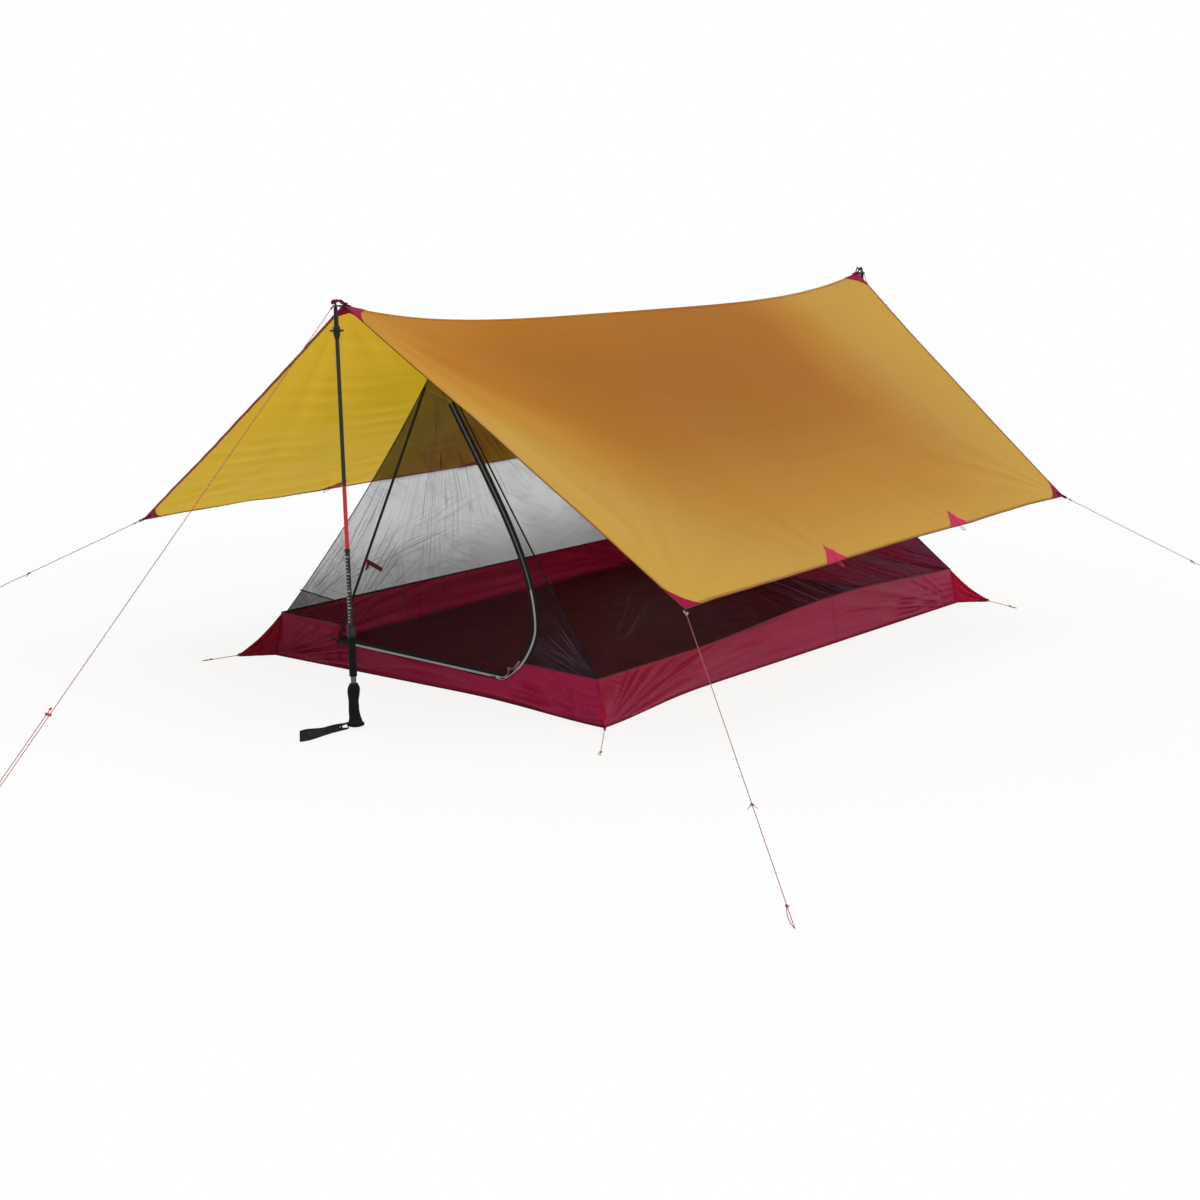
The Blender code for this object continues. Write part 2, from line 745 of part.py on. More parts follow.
def inner_ridge_point(share):
    """A point of the seam between the two side meshes."""
    front = Vector((0.0, front_plane_y(INNER_FRONT_PEAK_HEIGHT) + EDGE_TO_SHEET, INNER_FRONT_PEAK_HEIGHT))
    rear = Vector((0.0, rear_plane_y(INNER_REAR_PEAK_HEIGHT) - EDGE_TO_SHEET, INNER_REAR_PEAK_HEIGHT))
    point = front.lerp(rear, share)
    point.z -= INNER_RIDGE_SAG * 4 * share * (1 - share)
    return point


def add_side_mesh(name, side, material):
    """A sloping mesh panel between a side wall and the inner tent's ridge."""

    def lower(u):
        guess = mix(front_plane_y(0.0), rear_plane_y(0.0), u)
        height = side_wall_top(side, guess) + SLANTED_SEAM
        y = mix(front_plane_y(height) + EDGE_TO_SHEET, rear_plane_y(height) - EDGE_TO_SHEET, u)
        return Vector((side * half_width_at(min(height, WALL_CORNER_HEIGHT)), y, height))

    def upper(u):
        return inner_ridge_point(u) + Vector((side * (CLOTH / 2 + GAP), 0.0, 0.0))

    def hip(end, v):
        peak = INNER_FRONT_PEAK_HEIGHT if end == FRONT else INNER_REAR_PEAK_HEIGHT
        height = mix(corner_height(side, end) + SLANTED_SEAM, peak, v)
        y = front_plane_y(height) + EDGE_TO_SHEET
        if end == REAR:
            y = rear_plane_y(height) - EDGE_TO_SHEET
        x = max(hip_x(height, side, end), CLOTH / 2 + GAP)
        return Vector((side * x, y, height))

    def point(u, v):
        ruled = lower(u).lerp(upper(u), v)
        ends = hip(FRONT, v).lerp(hip(REAR, v), u)
        corners = lower(0.0).lerp(lower(1.0), u).lerp(upper(0.0).lerp(upper(1.0), u), v)
        return ruled + ends - corners

    return add_sheet(name, point, INNER_COLUMNS, INNER_ROWS, material)


def hip_outline(side, end, low, high):
    """Points up a hip seam from one height to another."""
    heights = [mix(low, high, i / HIP_STEPS) for i in range(HIP_STEPS + 1)]
    return [(side * hip_x(height, side, end), height) for height in heights]


def add_rear_panel(material):
    """The triangular cloth panel at the rear, above its wall."""
    foot = WALL_CORNER_HEIGHT + GAP + 0.0003
    right = hip_outline(RIGHT, REAR, foot, INNER_REAR_PEAK_HEIGHT)
    left = hip_outline(LEFT, REAR, foot, INNER_REAR_PEAK_HEIGHT)
    outline = right + left[-2::-1]
    return add_outline("inner_panel_rear", [up_the_slope(outline, REAR)], CLOTH, plane_matrix(REAR), material)


def seam_x(height):
    """The door's left seam, a straight line that the door swings about."""
    top = INNER_FRONT_PEAK_HEIGHT - DOOR_SEAM_TOP_DROP
    share = (height - THRESHOLD_LEFT_HEIGHT) / (top - THRESHOLD_LEFT_HEIGHT)
    return mix(DOOR_LEFT_X, DOOR_SEAM_TOP_X, share)


def add_front_meshes(mesh, door_mesh):
    """The fixed mesh on each side of the door, and the door itself."""
    seam_gap = EDGE_TO_SHEET
    left_foot = WALL_FRONT_LEFT_HEIGHT + GAP + 0.0003
    right_foot = WALL_CORNER_HEIGHT + GAP + 0.0003
    seam_foot = plain_front_top(DOOR_LEFT_X) + GAP + 0.0003
    landing_foot = plain_front_top(DOOR_SIDE_X) + GAP + 0.0003
    seam_top = INNER_FRONT_PEAK_HEIGHT - DOOR_SEAM_TOP_DROP
    edge = fixed_edge()
    zip_top = (edge[0][0], edge[0][1])
    cap_left = (seam_x(seam_top) - seam_gap, seam_top + 0.001)
    cap_right = (hip_x(zip_top[1] + 0.004, RIGHT, FRONT), zip_top[1] + 0.004)
    left = hip_outline(LEFT, FRONT, left_foot, INNER_FRONT_PEAK_HEIGHT)
    over = hip_outline(RIGHT, FRONT, cap_right[1], INNER_FRONT_PEAK_HEIGHT)
    seam_end = (seam_x(seam_foot) - seam_gap, seam_foot)
    left_outline = left + over[-2::-2] + [cap_right, cap_left, seam_end]
    matrix = plane_matrix(FRONT)
    add_outline("inner_mesh_front_left", [up_the_slope(left_outline, FRONT)], CLOTH, matrix, mesh)

    upright = [point for point in edge if point[1] > landing_foot]
    after = edge[len(upright)]
    share = (upright[-1][1] - landing_foot) / (upright[-1][1] - after[1])
    landing = (mix(upright[-1][0], after[0], share), landing_foot)
    right = hip_outline(RIGHT, FRONT, right_foot, zip_top[1])
    right_outline = upright + [landing] + right
    add_outline("inner_mesh_front_right", [up_the_slope(right_outline, FRONT)], CLOTH, matrix, mesh)

    free = offset_route(door_route(), -zip_clearance())
    low = (seam_x(free[-1][1]) + seam_gap, free[-1][1])
    high = (seam_x(seam_top - 0.004) + seam_gap, seam_top - 0.004)
    door_outline = [high, *free[:-1], low]
    add_outline("door_mesh", [up_the_slope(door_outline, FRONT)], CLOTH, matrix, door_mesh)


def on_front_plane(x, height, outward=0.0):
    """A point of the front plane, or this far in front of it."""
    return Vector((x, front_plane_y(height) - outward, height))


def add_zip(material):
    """The zip round the door's free edge."""
    points = [on_front_plane(x, height) for x, height in door_route()]
    return add_tube("door_zip", points, ZIP_RADIUS, material)


def add_slider(material):
    """The zip slider, at the start of the zip's straight run along the threshold."""
    start = on_front_plane(DOOR_CORNER_X, THRESHOLD_HEIGHT)
    finish = on_front_plane(DOOR_LEFT_X, THRESHOLD_LEFT_HEIGHT)
    way = (finish - start).normalized()
    drop = SLIDER_WIDTH / 2 - ZIP_RADIUS
    outward = ZIP_RADIUS + GAP + 0.0001 + SLIDER_THICKNESS / 2
    centre = start + way * SLIDER_LENGTH + Vector((0.0, -outward, -drop))
    matrix = frame_matrix(centre, way, (0.0, -1.0, 0.0))
    return add_block("zip_slider", (SLIDER_LENGTH, SLIDER_WIDTH, SLIDER_THICKNESS), 0.0008, matrix, material)


def add_toggle(material):
    """The toggle strap that ties the rolled door back, on the door beside its seam."""
    outward = CLOTH / 2 + GAP + TOGGLE_THICKNESS / 2
    centre = on_front_plane(TOGGLE_CENTRE_X, TOGGLE_HEIGHT, outward)
    slope = Vector((0.0, INNER_FRONT_SETBACK, INNER_FRONT_PEAK_HEIGHT)).normalized()
    face = Vector((1.0, 0.0, 0.0)).cross(slope)
    matrix = frame_matrix(centre, (1.0, 0.0, 0.0), face)
    size = (TOGGLE_LENGTH, TOGGLE_WIDTH, TOGGLE_THICKNESS)
    return add_block("door_toggle", size, 0.0012, matrix, material)


def add_peak_strap(name, end, material):
    """The strap from a peak of the inner tent up to the ridge tab above it."""
    outward = -1 if end == FRONT else 1
    peak = inner_ridge_point(float(end)) + Vector((0.0, 0.0, CLOTH / 2 + GAP))
    hook = tab_centre(end) - Vector((0.0, 0.0, TAB_THICKNESS / 2 + CLOTH / 2 + GAP))
    hook.y -= outward * TAB_REACH / 2

    def point(u, v):
        return peak.lerp(hook, v) + Vector(((u - 0.5) * PEAK_STRAP_WIDTH, 0.0, 0.0))

    return add_sheet(name, point, 1, 4, material)


def add_stake_cord(label, side, end, ground, cord):
    """The cord that ties a corner ear to its stake."""
    outward = -1 if end == FRONT else 1
    plane_y = front_plane_y(0.0) if end == FRONT else rear_plane_y(0.0)
    ear = Vector((side * (half_width_at(0.0) + EAR_REACH_X), plane_y + outward * EAR_REACH_Y, 0.0))
    ear.z = EAR_TIP_HEIGHT / 2
    way = (ground_point(ground) - ear).normalized()
    start = ear + way * STAKE_CORD_CLEARANCE
    return add_tube(
        "stake_cord_" + label, line_points(start, ground_point(ground), STAKE_CORD_POINTS), CORD_RADIUS, cord
    )


# Trekking poles


def pole_frame(end):
    """The pole's foot, length and an empty that carries its pieces."""
    outward = 1 if end == REAR else -1
    side, out = FRONT_POLE_FOOT if end == FRONT else REAR_POLE_FOOT
    peak = ridge_point(float(end))
    tip = tab_centre(end) + Vector((0.0, 0.0, TIP_RISE))
    foot = Vector((tip.x + side, tip.y + out, 0.0))
    lean = (tip - foot).angle(Vector((0.0, 0.0, 1.0)))
    foot.z = GRIP_DOME_RADIUS * (1 - math.cos(lean)) + GAP
    axis = (tip - foot).normalized()
    through = foot + axis * (peak.z - foot.z) / axis.z
    shift = tab_centre(end) - through
    foot += Vector((shift.x, shift.y, 0.0))
    tip += Vector((shift.x, shift.y, 0.0))
    carrier = bpy.data.objects.new("pole_%s_line" % ("front" if outward < 0 else "rear"), None)
    bpy.data.collections[COLLECTION_NAME].objects.link(carrier)
    y_axis = axis.cross((1.0, 0.0, 0.0)).normalized()
    carrier.matrix_world = frame_matrix(foot, y_axis.cross(axis), axis)
    return carrier, (tip - foot).length


def grip_profile():
    """The handle from its bore's floor, up the bore, and down the outside to its domed end."""
    bore = UPPER_SHAFT_RADIUS + GAP
    outside = [
        (GRIP_TOP_RADIUS, GRIP_TOP),
        (GRIP_BULGE_RADIUS, GRIP_TOP - 0.014),
        (GRIP_WAIST_RADIUS, GRIP_TOP - 0.040),
        (GRIP_BELLY_RADIUS, GRIP_TOP - 0.075),
        (GRIP_NECK_RADIUS, GRIP_TOP - 0.108),
        (GRIP_FLANGE_RADIUS, GRIP_FLANGE_HEIGHT),
    ]
    dome = []
    for share in (1.0, 0.75, 0.5, 0.25, 0.0):
        radius = GRIP_FLANGE_RADIUS * share
        dome.append((radius, GRIP_DOME_RADIUS - math.sqrt(GRIP_DOME_RADIUS**2 - radius**2)))
    return [(0.0, GRIP_FLOOR), (bore, GRIP_FLOOR), (bore, GRIP_TOP), *outside, *dome]


def tube_profile(outer, bore, low, high):
    """A plain tube's closed section."""
    return [(outer, high), (outer, low), (bore, low), (bore, high)]


def lever_outline():
    """The clamp lever seen along the pole: an arc with a round pin end."""
    inner = CLAMP_RADIUS + GAP
    outer = inner + LEVER_THICKNESS
    middle = (inner + outer) / 2
    start = math.radians(LEVER_START_DEG)
    pin = math.radians(LEVER_PIN_DEG)
    outline = []
    for i in range(9):
        angle = mix(start, pin, i / 8)
        outline.append((outer * math.cos(angle), outer * math.sin(angle)))
    for i in range(1, 4):
        around = pin + math.pi * i / 4
        centre = (middle * math.cos(pin), middle * math.sin(pin))
        half = LEVER_THICKNESS / 2
        outline.append((centre[0] + half * math.cos(around), centre[1] + half * math.sin(around)))
    for i in range(9):
        angle = mix(pin, start, i / 8)
        outline.append((inner * math.cos(angle), inner * math.sin(angle)))
    return outline


def strap_outline():
    """The wrist strap seen from above: a narrow loop of webbing with round ends."""
    half = STRAP_WEBBING + STRAP_SLIT / 2
    outer = []
    inner = []
    for centre, first in ((STRAP_LENGTH - half, -90), (half, 90)):
        for step in range(7):
            angle = math.radians(first + 30 * step)
            outer.append((centre + half * math.cos(angle), half * math.sin(angle)))
            inner.append((centre + STRAP_SLIT / 2 * math.cos(angle), STRAP_SLIT / 2 * math.sin(angle)))
    return [outer, inner]


def add_pole(label, end, finishes):
    """One telescoping trekking pole, handle down, with its tip in the ridge tab."""
    carrier, length = pole_frame(end)
    name = "pole_%s_" % label
    tip_profile = [
        (0.0, length),
        (TIP_RADIUS * 0.6, length),
        (TIP_RADIUS, length - 0.004),
        (TIP_RADIUS, length - TIP_STRAIGHT),
        (FERRULE_RADIUS, length - TIP_STRAIGHT - 0.012),
        (FERRULE_RADIUS, length - BASKET_DROP + BASKET_THICKNESS / 2),
        (BASKET_RADIUS, length - BASKET_DROP + BASKET_THICKNESS / 2),
        (BASKET_RADIUS, length - BASKET_DROP - BASKET_THICKNESS / 2),
        (TIP_COLLAR_RADIUS, length - BASKET_DROP - BASKET_THICKNESS / 2),
        (TIP_COLLAR_RADIUS, length - TIP_LENGTH),
        (0.0, length - TIP_LENGTH),
    ]
    add_turned(name + "tip", tip_profile, SHAFT_SIDES, finishes["black"], carrier, False)
    lower_top = length - TIP_LENGTH - GAP
    lower_profile = [
        (0.0, lower_top),
        (LOWER_SHAFT_RADIUS, lower_top),
        (LOWER_SHAFT_RADIUS, lower_top - LOWER_SHAFT_LENGTH),
        (0.0, lower_top - LOWER_SHAFT_LENGTH),
    ]
    add_turned(name + "lower_shaft", lower_profile, SHAFT_SIDES, finishes["shaft"], carrier, False)

    middle_top = lower_top - LOWER_SHAFT_LENGTH + LOWER_IN_MIDDLE
    middle_low = CLAMP_BOTTOM - MIDDLE_IN_HANDLE
    bore = LOWER_SHAFT_RADIUS + GAP
    collar_low = middle_top - MIDDLE_COLLAR_LENGTH
    middle_profile = [
        (MIDDLE_COLLAR_RADIUS, middle_top),
        (MIDDLE_COLLAR_RADIUS, collar_low),
        (MIDDLE_SHAFT_RADIUS, collar_low),
        (MIDDLE_SHAFT_RADIUS, middle_low),
        (bore, middle_low),
        (bore, middle_top),
    ]
    add_turned(name + "middle_shaft", middle_profile, SHAFT_SIDES, finishes["graduated"], carrier, True)

    upper_bore = MIDDLE_SHAFT_RADIUS + GAP
    upper_low = GRIP_FLOOR + GAP
    upper_profile = tube_profile(UPPER_SHAFT_RADIUS, upper_bore, upper_low, UPPER_SHAFT_TOP)
    add_turned(name + "upper_shaft", upper_profile, SHAFT_SIDES, finishes["upper"], carrier, True)
    clamp_low = CLAMP_BOTTOM + GAP
    seat = UPPER_SHAFT_TOP + GAP
    clamp_profile = [
        (CLAMP_RADIUS, CLAMP_TOP),
        (CLAMP_RADIUS, clamp_low),
        (UPPER_SHAFT_RADIUS + GAP, clamp_low),
        (UPPER_SHAFT_RADIUS + GAP, seat),
        (upper_bore, seat),
        (upper_bore, CLAMP_TOP),
    ]
    add_turned(name + "clamp", clamp_profile, SHAFT_SIDES, finishes["black"], carrier, True)
    sleeve_bore = UPPER_SHAFT_RADIUS + GAP
    sleeve_profile = tube_profile(SLEEVE_RADIUS, sleeve_bore, SLEEVE_BOTTOM, CLAMP_BOTTOM)
    add_turned(name + "foam_sleeve", sleeve_profile, SHAFT_SIDES, finishes["foam"], carrier, True)
    add_turned(name + "grip", grip_profile(), GRIP_SIDES, finishes["foam"], carrier, False)

    lever_height = (CLAMP_TOP + CLAMP_BOTTOM) / 2
    lever_place = carrier.matrix_world @ Matrix.Translation((0.0, 0.0, lever_height))
    add_outline(name + "clamp_lever", [lever_outline()], LEVER_HEIGHT, lever_place, finishes["lever"])

    heading = math.radians(FRONT_STRAP_HEADING_DEG if end == FRONT else REAR_STRAP_HEADING_DEG)
    way = Vector((math.cos(heading), math.sin(heading), 0.0))
    rim = carrier.matrix_world @ Vector((0.0, 0.0, GRIP_FLANGE_HEIGHT))
    near = Vector((rim.x, rim.y, 0.0)) + way * (GRIP_FLANGE_RADIUS + GAP)
    near.z = STRAP_LIFT + STRAP_HEIGHT / 2
    strap_place = frame_matrix(near, way, (0.0, 0.0, 1.0))
    add_outline(name + "wrist_strap", strap_outline(), STRAP_HEIGHT, strap_place, finishes["webbing"])


def build():
    """Make every piece of the pitched shelter."""
    clear_scene()
    collection = bpy.data.collections.new(COLLECTION_NAME)
    bpy.context.scene.collection.children.link(collection)
    amber = make_material("amber_cloth", (0.62, 0.30, 0.045), 0.55)
    crimson = make_material("crimson_cloth", (0.30, 0.012, 0.045), 0.50)
    pink = make_material("pink_cloth", (0.60, 0.03, 0.08), 0.50)
    floor_cloth = make_material("floor_cloth", (0.14, 0.01, 0.02), 0.50)
    mesh = make_material("black_mesh", (0.03, 0.03, 0.035), 0.80)
    webbing = make_material("black_webbing", (0.02, 0.02, 0.02), 0.80)
    cord = make_material("guy_cord", (0.72, 0.30, 0.26), 0.60)
    metal = make_material("tensioner_metal", (0.45, 0.45, 0.47), 0.35, 0.9)
    zip_tape = make_material("zip_tape", (0.10, 0.10, 0.11), 0.60)
    plastic = make_material("red_plastic", (0.55, 0.05, 0.03), 0.45)
    poles = {
        "black": make_material("black_plastic", (0.02, 0.02, 0.02), 0.45),
        "shaft": make_material("dark_shaft", (0.06, 0.06, 0.065), 0.30, 0.6),
        "graduated": make_material("graduated_shaft", (0.03, 0.03, 0.03), 0.35, 0.5),
        "upper": make_material("grey_shaft", (0.30, 0.30, 0.31), 0.30, 0.8),
        "lever": make_material("lever_plastic", (0.04, 0.04, 0.04), 0.40),
        "foam": make_material("black_foam", (0.012, 0.012, 0.012), 0.90),
        "webbing": webbing,
    }

    for side_name, side in SIDES.items():
        add_panel("tarp_panel_" + side_name, side, amber)
        shift = TIEOUT_LEFT_SHIFT if side == LEFT else 0.0
        add_tieout("tieout_%s_front" % side_name, side, TIEOUT_FRONT_Y + shift, pink)
        add_tieout("tieout_%s_rear" % side_name, side, TIEOUT_REAR_Y + shift, pink)
    for end_name, end in ENDS.items():
        add_ridge_patch("ridge_patch_" + end_name, end, crimson)
        add_ridge_tab("ridge_tab_" + end_name, end, webbing)
        add_peak_strap("peak_strap_" + end_name, end, webbing)
        for side_name, side in SIDES.items():
            add_corner_patch("corner_patch_%s_%s" % (end_name, side_name), side, end, crimson)

    add_corner_line("front_right", RIGHT, FRONT, CORNER_GUY_FRONT_RIGHT_GROUND, metal, cord)
    add_corner_line("front_left", LEFT, FRONT, CORNER_GUY_FRONT_LEFT_GROUND, metal, cord)
    add_corner_line("rear_right", RIGHT, REAR, CORNER_GUY_REAR_RIGHT_GROUND, metal, cord)
    add_front_guy(cord)
    add_adjuster(plastic)
    rear_start = ridge_guy_start(REAR, RIDGE_GUY_REAR_GROUND)
    rear_points = line_points(rear_start, ground_point(RIDGE_GUY_REAR_GROUND), GUY_POINTS)
    add_tube("guyline_ridge_rear", rear_points, CORD_RADIUS, cord)

    floor_place = Matrix.Translation((0.0, 0.0, FLOOR_THICKNESS / 2))
    add_block("inner_floor", (FLOOR_WIDTH, FLOOR_LENGTH, FLOOR_THICKNESS), 0.0, floor_place, floor_cloth)
    add_end_wall("inner_wall_front", FRONT, front_wall_stations(), front_wall_top, crimson)
    corner = half_width_at(0.0)
    rear_stations = [mix(-corner, corner, i / 6) for i in range(7)]
    add_end_wall("inner_wall_rear", REAR, rear_stations, lambda x: WALL_CORNER_HEIGHT, crimson)
    for side_name, side in SIDES.items():
        add_side_wall("inner_wall_" + side_name, side, crimson)
        add_side_mesh("inner_mesh_" + side_name, side, mesh)
    add_rear_panel(crimson)
    add_front_meshes(mesh, mesh)
    add_zip(zip_tape)
    add_slider(metal)
    add_toggle(plastic)
    add_stake_cord("front_right", RIGHT, FRONT, STAKE_CORD_FRONT_RIGHT_GROUND, cord)
    add_stake_cord("front_left", LEFT, FRONT, STAKE_CORD_FRONT_LEFT_GROUND, cord)
    add_stake_cord("rear_right", RIGHT, REAR, STAKE_CORD_REAR_RIGHT_GROUND, cord)

    for end_name, end in ENDS.items():
        add_pole(end_name, end, poles)


build()
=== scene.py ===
"""Dresses the pitched ridge tarp and its mesh inner tent, piece by piece."""

import logging
import math
from collections.abc import Callable, Sequence
from dataclasses import dataclass, field
from enum import Enum

import bmesh
import bpy
import numpy as np
from mathutils import Matrix, Vector


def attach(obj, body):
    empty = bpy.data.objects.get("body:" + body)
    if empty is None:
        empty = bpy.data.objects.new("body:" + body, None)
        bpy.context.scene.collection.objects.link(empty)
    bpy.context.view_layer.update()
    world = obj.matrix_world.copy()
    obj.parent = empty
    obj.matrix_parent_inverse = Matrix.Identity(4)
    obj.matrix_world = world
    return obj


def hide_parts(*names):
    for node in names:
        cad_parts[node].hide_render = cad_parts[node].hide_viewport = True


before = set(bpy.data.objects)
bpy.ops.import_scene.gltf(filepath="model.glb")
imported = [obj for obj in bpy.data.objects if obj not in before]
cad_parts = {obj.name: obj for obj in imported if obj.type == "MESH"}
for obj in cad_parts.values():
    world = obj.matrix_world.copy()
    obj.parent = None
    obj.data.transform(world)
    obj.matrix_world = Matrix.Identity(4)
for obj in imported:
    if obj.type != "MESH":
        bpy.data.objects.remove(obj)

logging.basicConfig(level=logging.INFO, format="%(message)s")
log = logging.getLogger("shelter")

Array = np.ndarray
Node = bpy.types.Node
Socket = bpy.types.NodeSocket
Piece = bpy.types.Object
Material = bpy.types.Material

UP = np.array((0.0, 0.0, 1.0))


class Side(Enum):
    """A side of the shelter, with the sign of X there."""

    RIGHT = 1
    LEFT = -1


class End(Enum):
    """An end of the shelter, with the sign of Y there."""

    FRONT = -1
    REAR = 1

    @property
    def label(self) -> str:
        """The end's word in the names of its pieces."""
        return self.name.lower()

    @property
    def share(self) -> float:
        """The end's place along the ridge, from 0 at the front to 1 at the rear."""
        return (self.value + 1) / 2


class Body(Enum):
    """What a piece moves with."""

    SHELTER = "shelter"
    DOOR = "door"
    ZIP_PULL = "zip_pull"
    LINE_ADJUSTER = "guy_adjuster"
    FRONT_MIDDLE = "pole_front_middle"
    FRONT_HANDLE = "pole_front_handle"
    FRONT_LEVER = "pole_front_lever"
    FRONT_STRAP = "pole_front_strap"
    REAR_MIDDLE = "pole_rear_middle"
    REAR_HANDLE = "pole_rear_handle"
    REAR_LEVER = "pole_rear_lever"
    REAR_STRAP = "pole_rear_strap"


class Slot(Enum):
    """The record's material slots."""

    AMBER = "amber_cloth"
    CRIMSON = "crimson_cloth"
    PINK = "pink_cloth"
    FLOOR = "floor_cloth"
    NETTING = "black_mesh"
    WEBBING = "black_webbing"
    CORD = "guy_cord"
    METAL = "tensioner_metal"
    ZIP = "zip_tape"
    RED_PLASTIC = "red_plastic"
    BLACK_PLASTIC = "black_plastic"
    DARK_SHAFT = "dark_shaft"
    GRADUATED_SHAFT = "graduated_shaft"
    GREY_SHAFT = "grey_shaft"
    LEVER = "lever_plastic"
    FOAM = "black_foam"


# Vectors and curves


def mix(a: float | Array, b: float | Array, share: float | Array) -> float | Array:
    """The value a share of the way from a to b."""
    return a + (b - a) * share


def ease(value: float | Array) -> float | Array:
    """A smooth step from 0 to 1."""
    held = np.clip(value, 0.0, 1.0)
    return held * held * (3 - 2 * held)


def unit(vectors: Array) -> Array:
    """Each vector at length 1."""
    return vectors / np.maximum(np.linalg.norm(vectors, axis=-1, keepdims=True), 1e-12)


def vec(x: float | Array, y: float | Array, z: float | Array) -> Array:
    """Points from their three coordinates, which may be arrays of one shape."""
    return np.stack(np.broadcast_arrays(x, y, z), axis=-1).astype(float)


def lengths_along(path: Array) -> Array:
    """The distance of each point of a path from its first point."""
    steps = np.linalg.norm(np.diff(path, axis=0), axis=1)
    return np.concatenate(((0.0,), np.cumsum(steps)))


def resample(path: Array, count: int) -> Array:
    """A path again, at evenly spaced points.

    Args:
        path: The points, in order.
        count: How many points there are afterwards.

    Returns:
        The new points.
    """
    distance = lengths_along(path)
    wanted = np.linspace(0.0, distance[-1], count)
    return np.stack([np.interp(wanted, distance, path[:, k]) for k in range(path.shape[1])], axis=-1)


def round_curve(knots: Sequence[Sequence[float]], per_span: int = 8) -> Array:
    """A smooth curve through its knots.

    Args:
        knots: The points that it passes through.
        per_span: Points from one knot to the next.

    Returns:
        The curve's points.
    """
    p = np.array(knots, float)
    ends = np.vstack((2 * p[0] - p[1], p, 2 * p[-1] - p[-2]))
    t = np.linspace(0.0, 1.0, per_span, endpoint=False)[:, None]
    spans = []
    for i in range(len(p) - 1):
        a, b, c, d = ends[i : i + 4]
        spans.append(
            0.5 * (2 * b + (c - a) * t + (2 * a - 5 * b + 4 * c - d) * t**2 + (3 * b - a - 3 * c + d) * t**3)
        )
    return np.vstack((*spans, p[-1:]))


def bezier(a: Array, b: Array, c: Array, d: Array, count: int) -> Array:
    """Points of a cubic curve from a to d with the pulls b and c."""
    t = np.linspace(0.0, 1.0, count)[:, None]
    return a * (1 - t) ** 3 + 3 * b * t * (1 - t) ** 2 + 3 * c * t**2 * (1 - t) + d * t**3


def circle(radius: float, count: int, x: float = 0.0) -> list[tuple[float, float]]:
    """Points of a circle round a point of the first axis."""
    turns = [2 * math.pi * i / count for i in range(count)]
    return [(x + radius * math.cos(a), radius * math.sin(a)) for a in turns]


def squared(angle: float, power: float) -> tuple[float, float]:
    """A point of a round of radius 1, nearer to a square the smaller the power."""
    x, y = math.cos(angle), math.sin(angle)
    return math.copysign(abs(x) ** power, x), math.copysign(abs(y) ** power, y)


def grid_area(points: Array) -> float:
    """The area of a sheet given as a grid of points, in square metres."""
    cross = np.cross(points[1:, 1:] - points[:-1, :-1], points[1:, :-1] - points[:-1, 1:])
    return float(np.linalg.norm(cross, axis=-1).sum() / 2)


def folded(root: Array, way: Array, aside: Array, half: Sequence[tuple[float, float]], tip: float) -> Array:
    """The path of a webbing that runs out, turns at its tip and comes back beside itself.

    Args:
        root: The point that its knots are measured from.
        way: The direction that it runs in.
        aside: The direction from its way back to its way out.
        half: How far along and how far aside each knot of the way out is.
        tip: How far along the turn is.

    Returns:
        The path's points.
    """
    there = [root + way * a + aside * b for a, b in half]
    back = [root + way * a - aside * b for a, b in half[::-1]]
    return round_curve([*there, root + way * tip, *back], 6)


def tangents(path: Array) -> Array:
    """The direction of a path at each of its points."""
    return unit(np.gradient(path, axis=0))


def carried_frames(path: Array, up: Array) -> tuple[Array, Array]:
    """The sideways and upward directions along a path, carried without twist.

    Args:
        path: The points, in order.
        up: The upward direction at the first point.

    Returns:
        The sideways and the upward direction at each point.
    """
    way = tangents(path)
    ups = []
    now = np.asarray(up, float)
    for direction in way:
        now = now - direction * np.dot(now, direction)
        now = now / max(np.linalg.norm(now), 1e-9)
        ups.append(now)
    ups_array = np.array(ups)
    return np.cross(way, ups_array), ups_array


# Meshes


def make_piece(
    name: str,
    points: Array,
    faces: list[list[int]],
    corner_uvs: Array,
    material: Material,
    mend: bool = True,
    crease: float | None = 38.0,
) -> Piece:
    """One mesh piece, with its cloth coordinates as its UV map.

    Args:
        name: The piece's name.
        points: Its points, in metres.
        faces: The point numbers of each face.
        corner_uvs: The coordinates of each face corner, in the faces' order.
        material: Its finish.
        mend: Whether its faces are turned outwards afterwards.
        crease: The angle in degrees over which an edge is sharp.

    Returns:
        The new object.
    """
    mesh = bpy.data.meshes.new(name)
    mesh.from_pydata(points.tolist(), [], faces)
    layer = mesh.uv_layers.new(name="cloth")
    layer.data.foreach_set("uv", np.asarray(corner_uvs, np.float32).ravel())
    if mend:
        work = bmesh.new()
        work.from_mesh(mesh)
        bmesh.ops.recalc_face_normals(work, faces=work.faces[:])
        work.to_mesh(mesh)
        work.free()
    mesh.shade_smooth()
    if crease is not None:
        mesh.set_sharp_from_angle(angle=math.radians(crease))
    mesh.materials.append(material)
    piece = bpy.data.objects.new(name, mesh)
    bpy.context.scene.collection.objects.link(piece)
    return piece


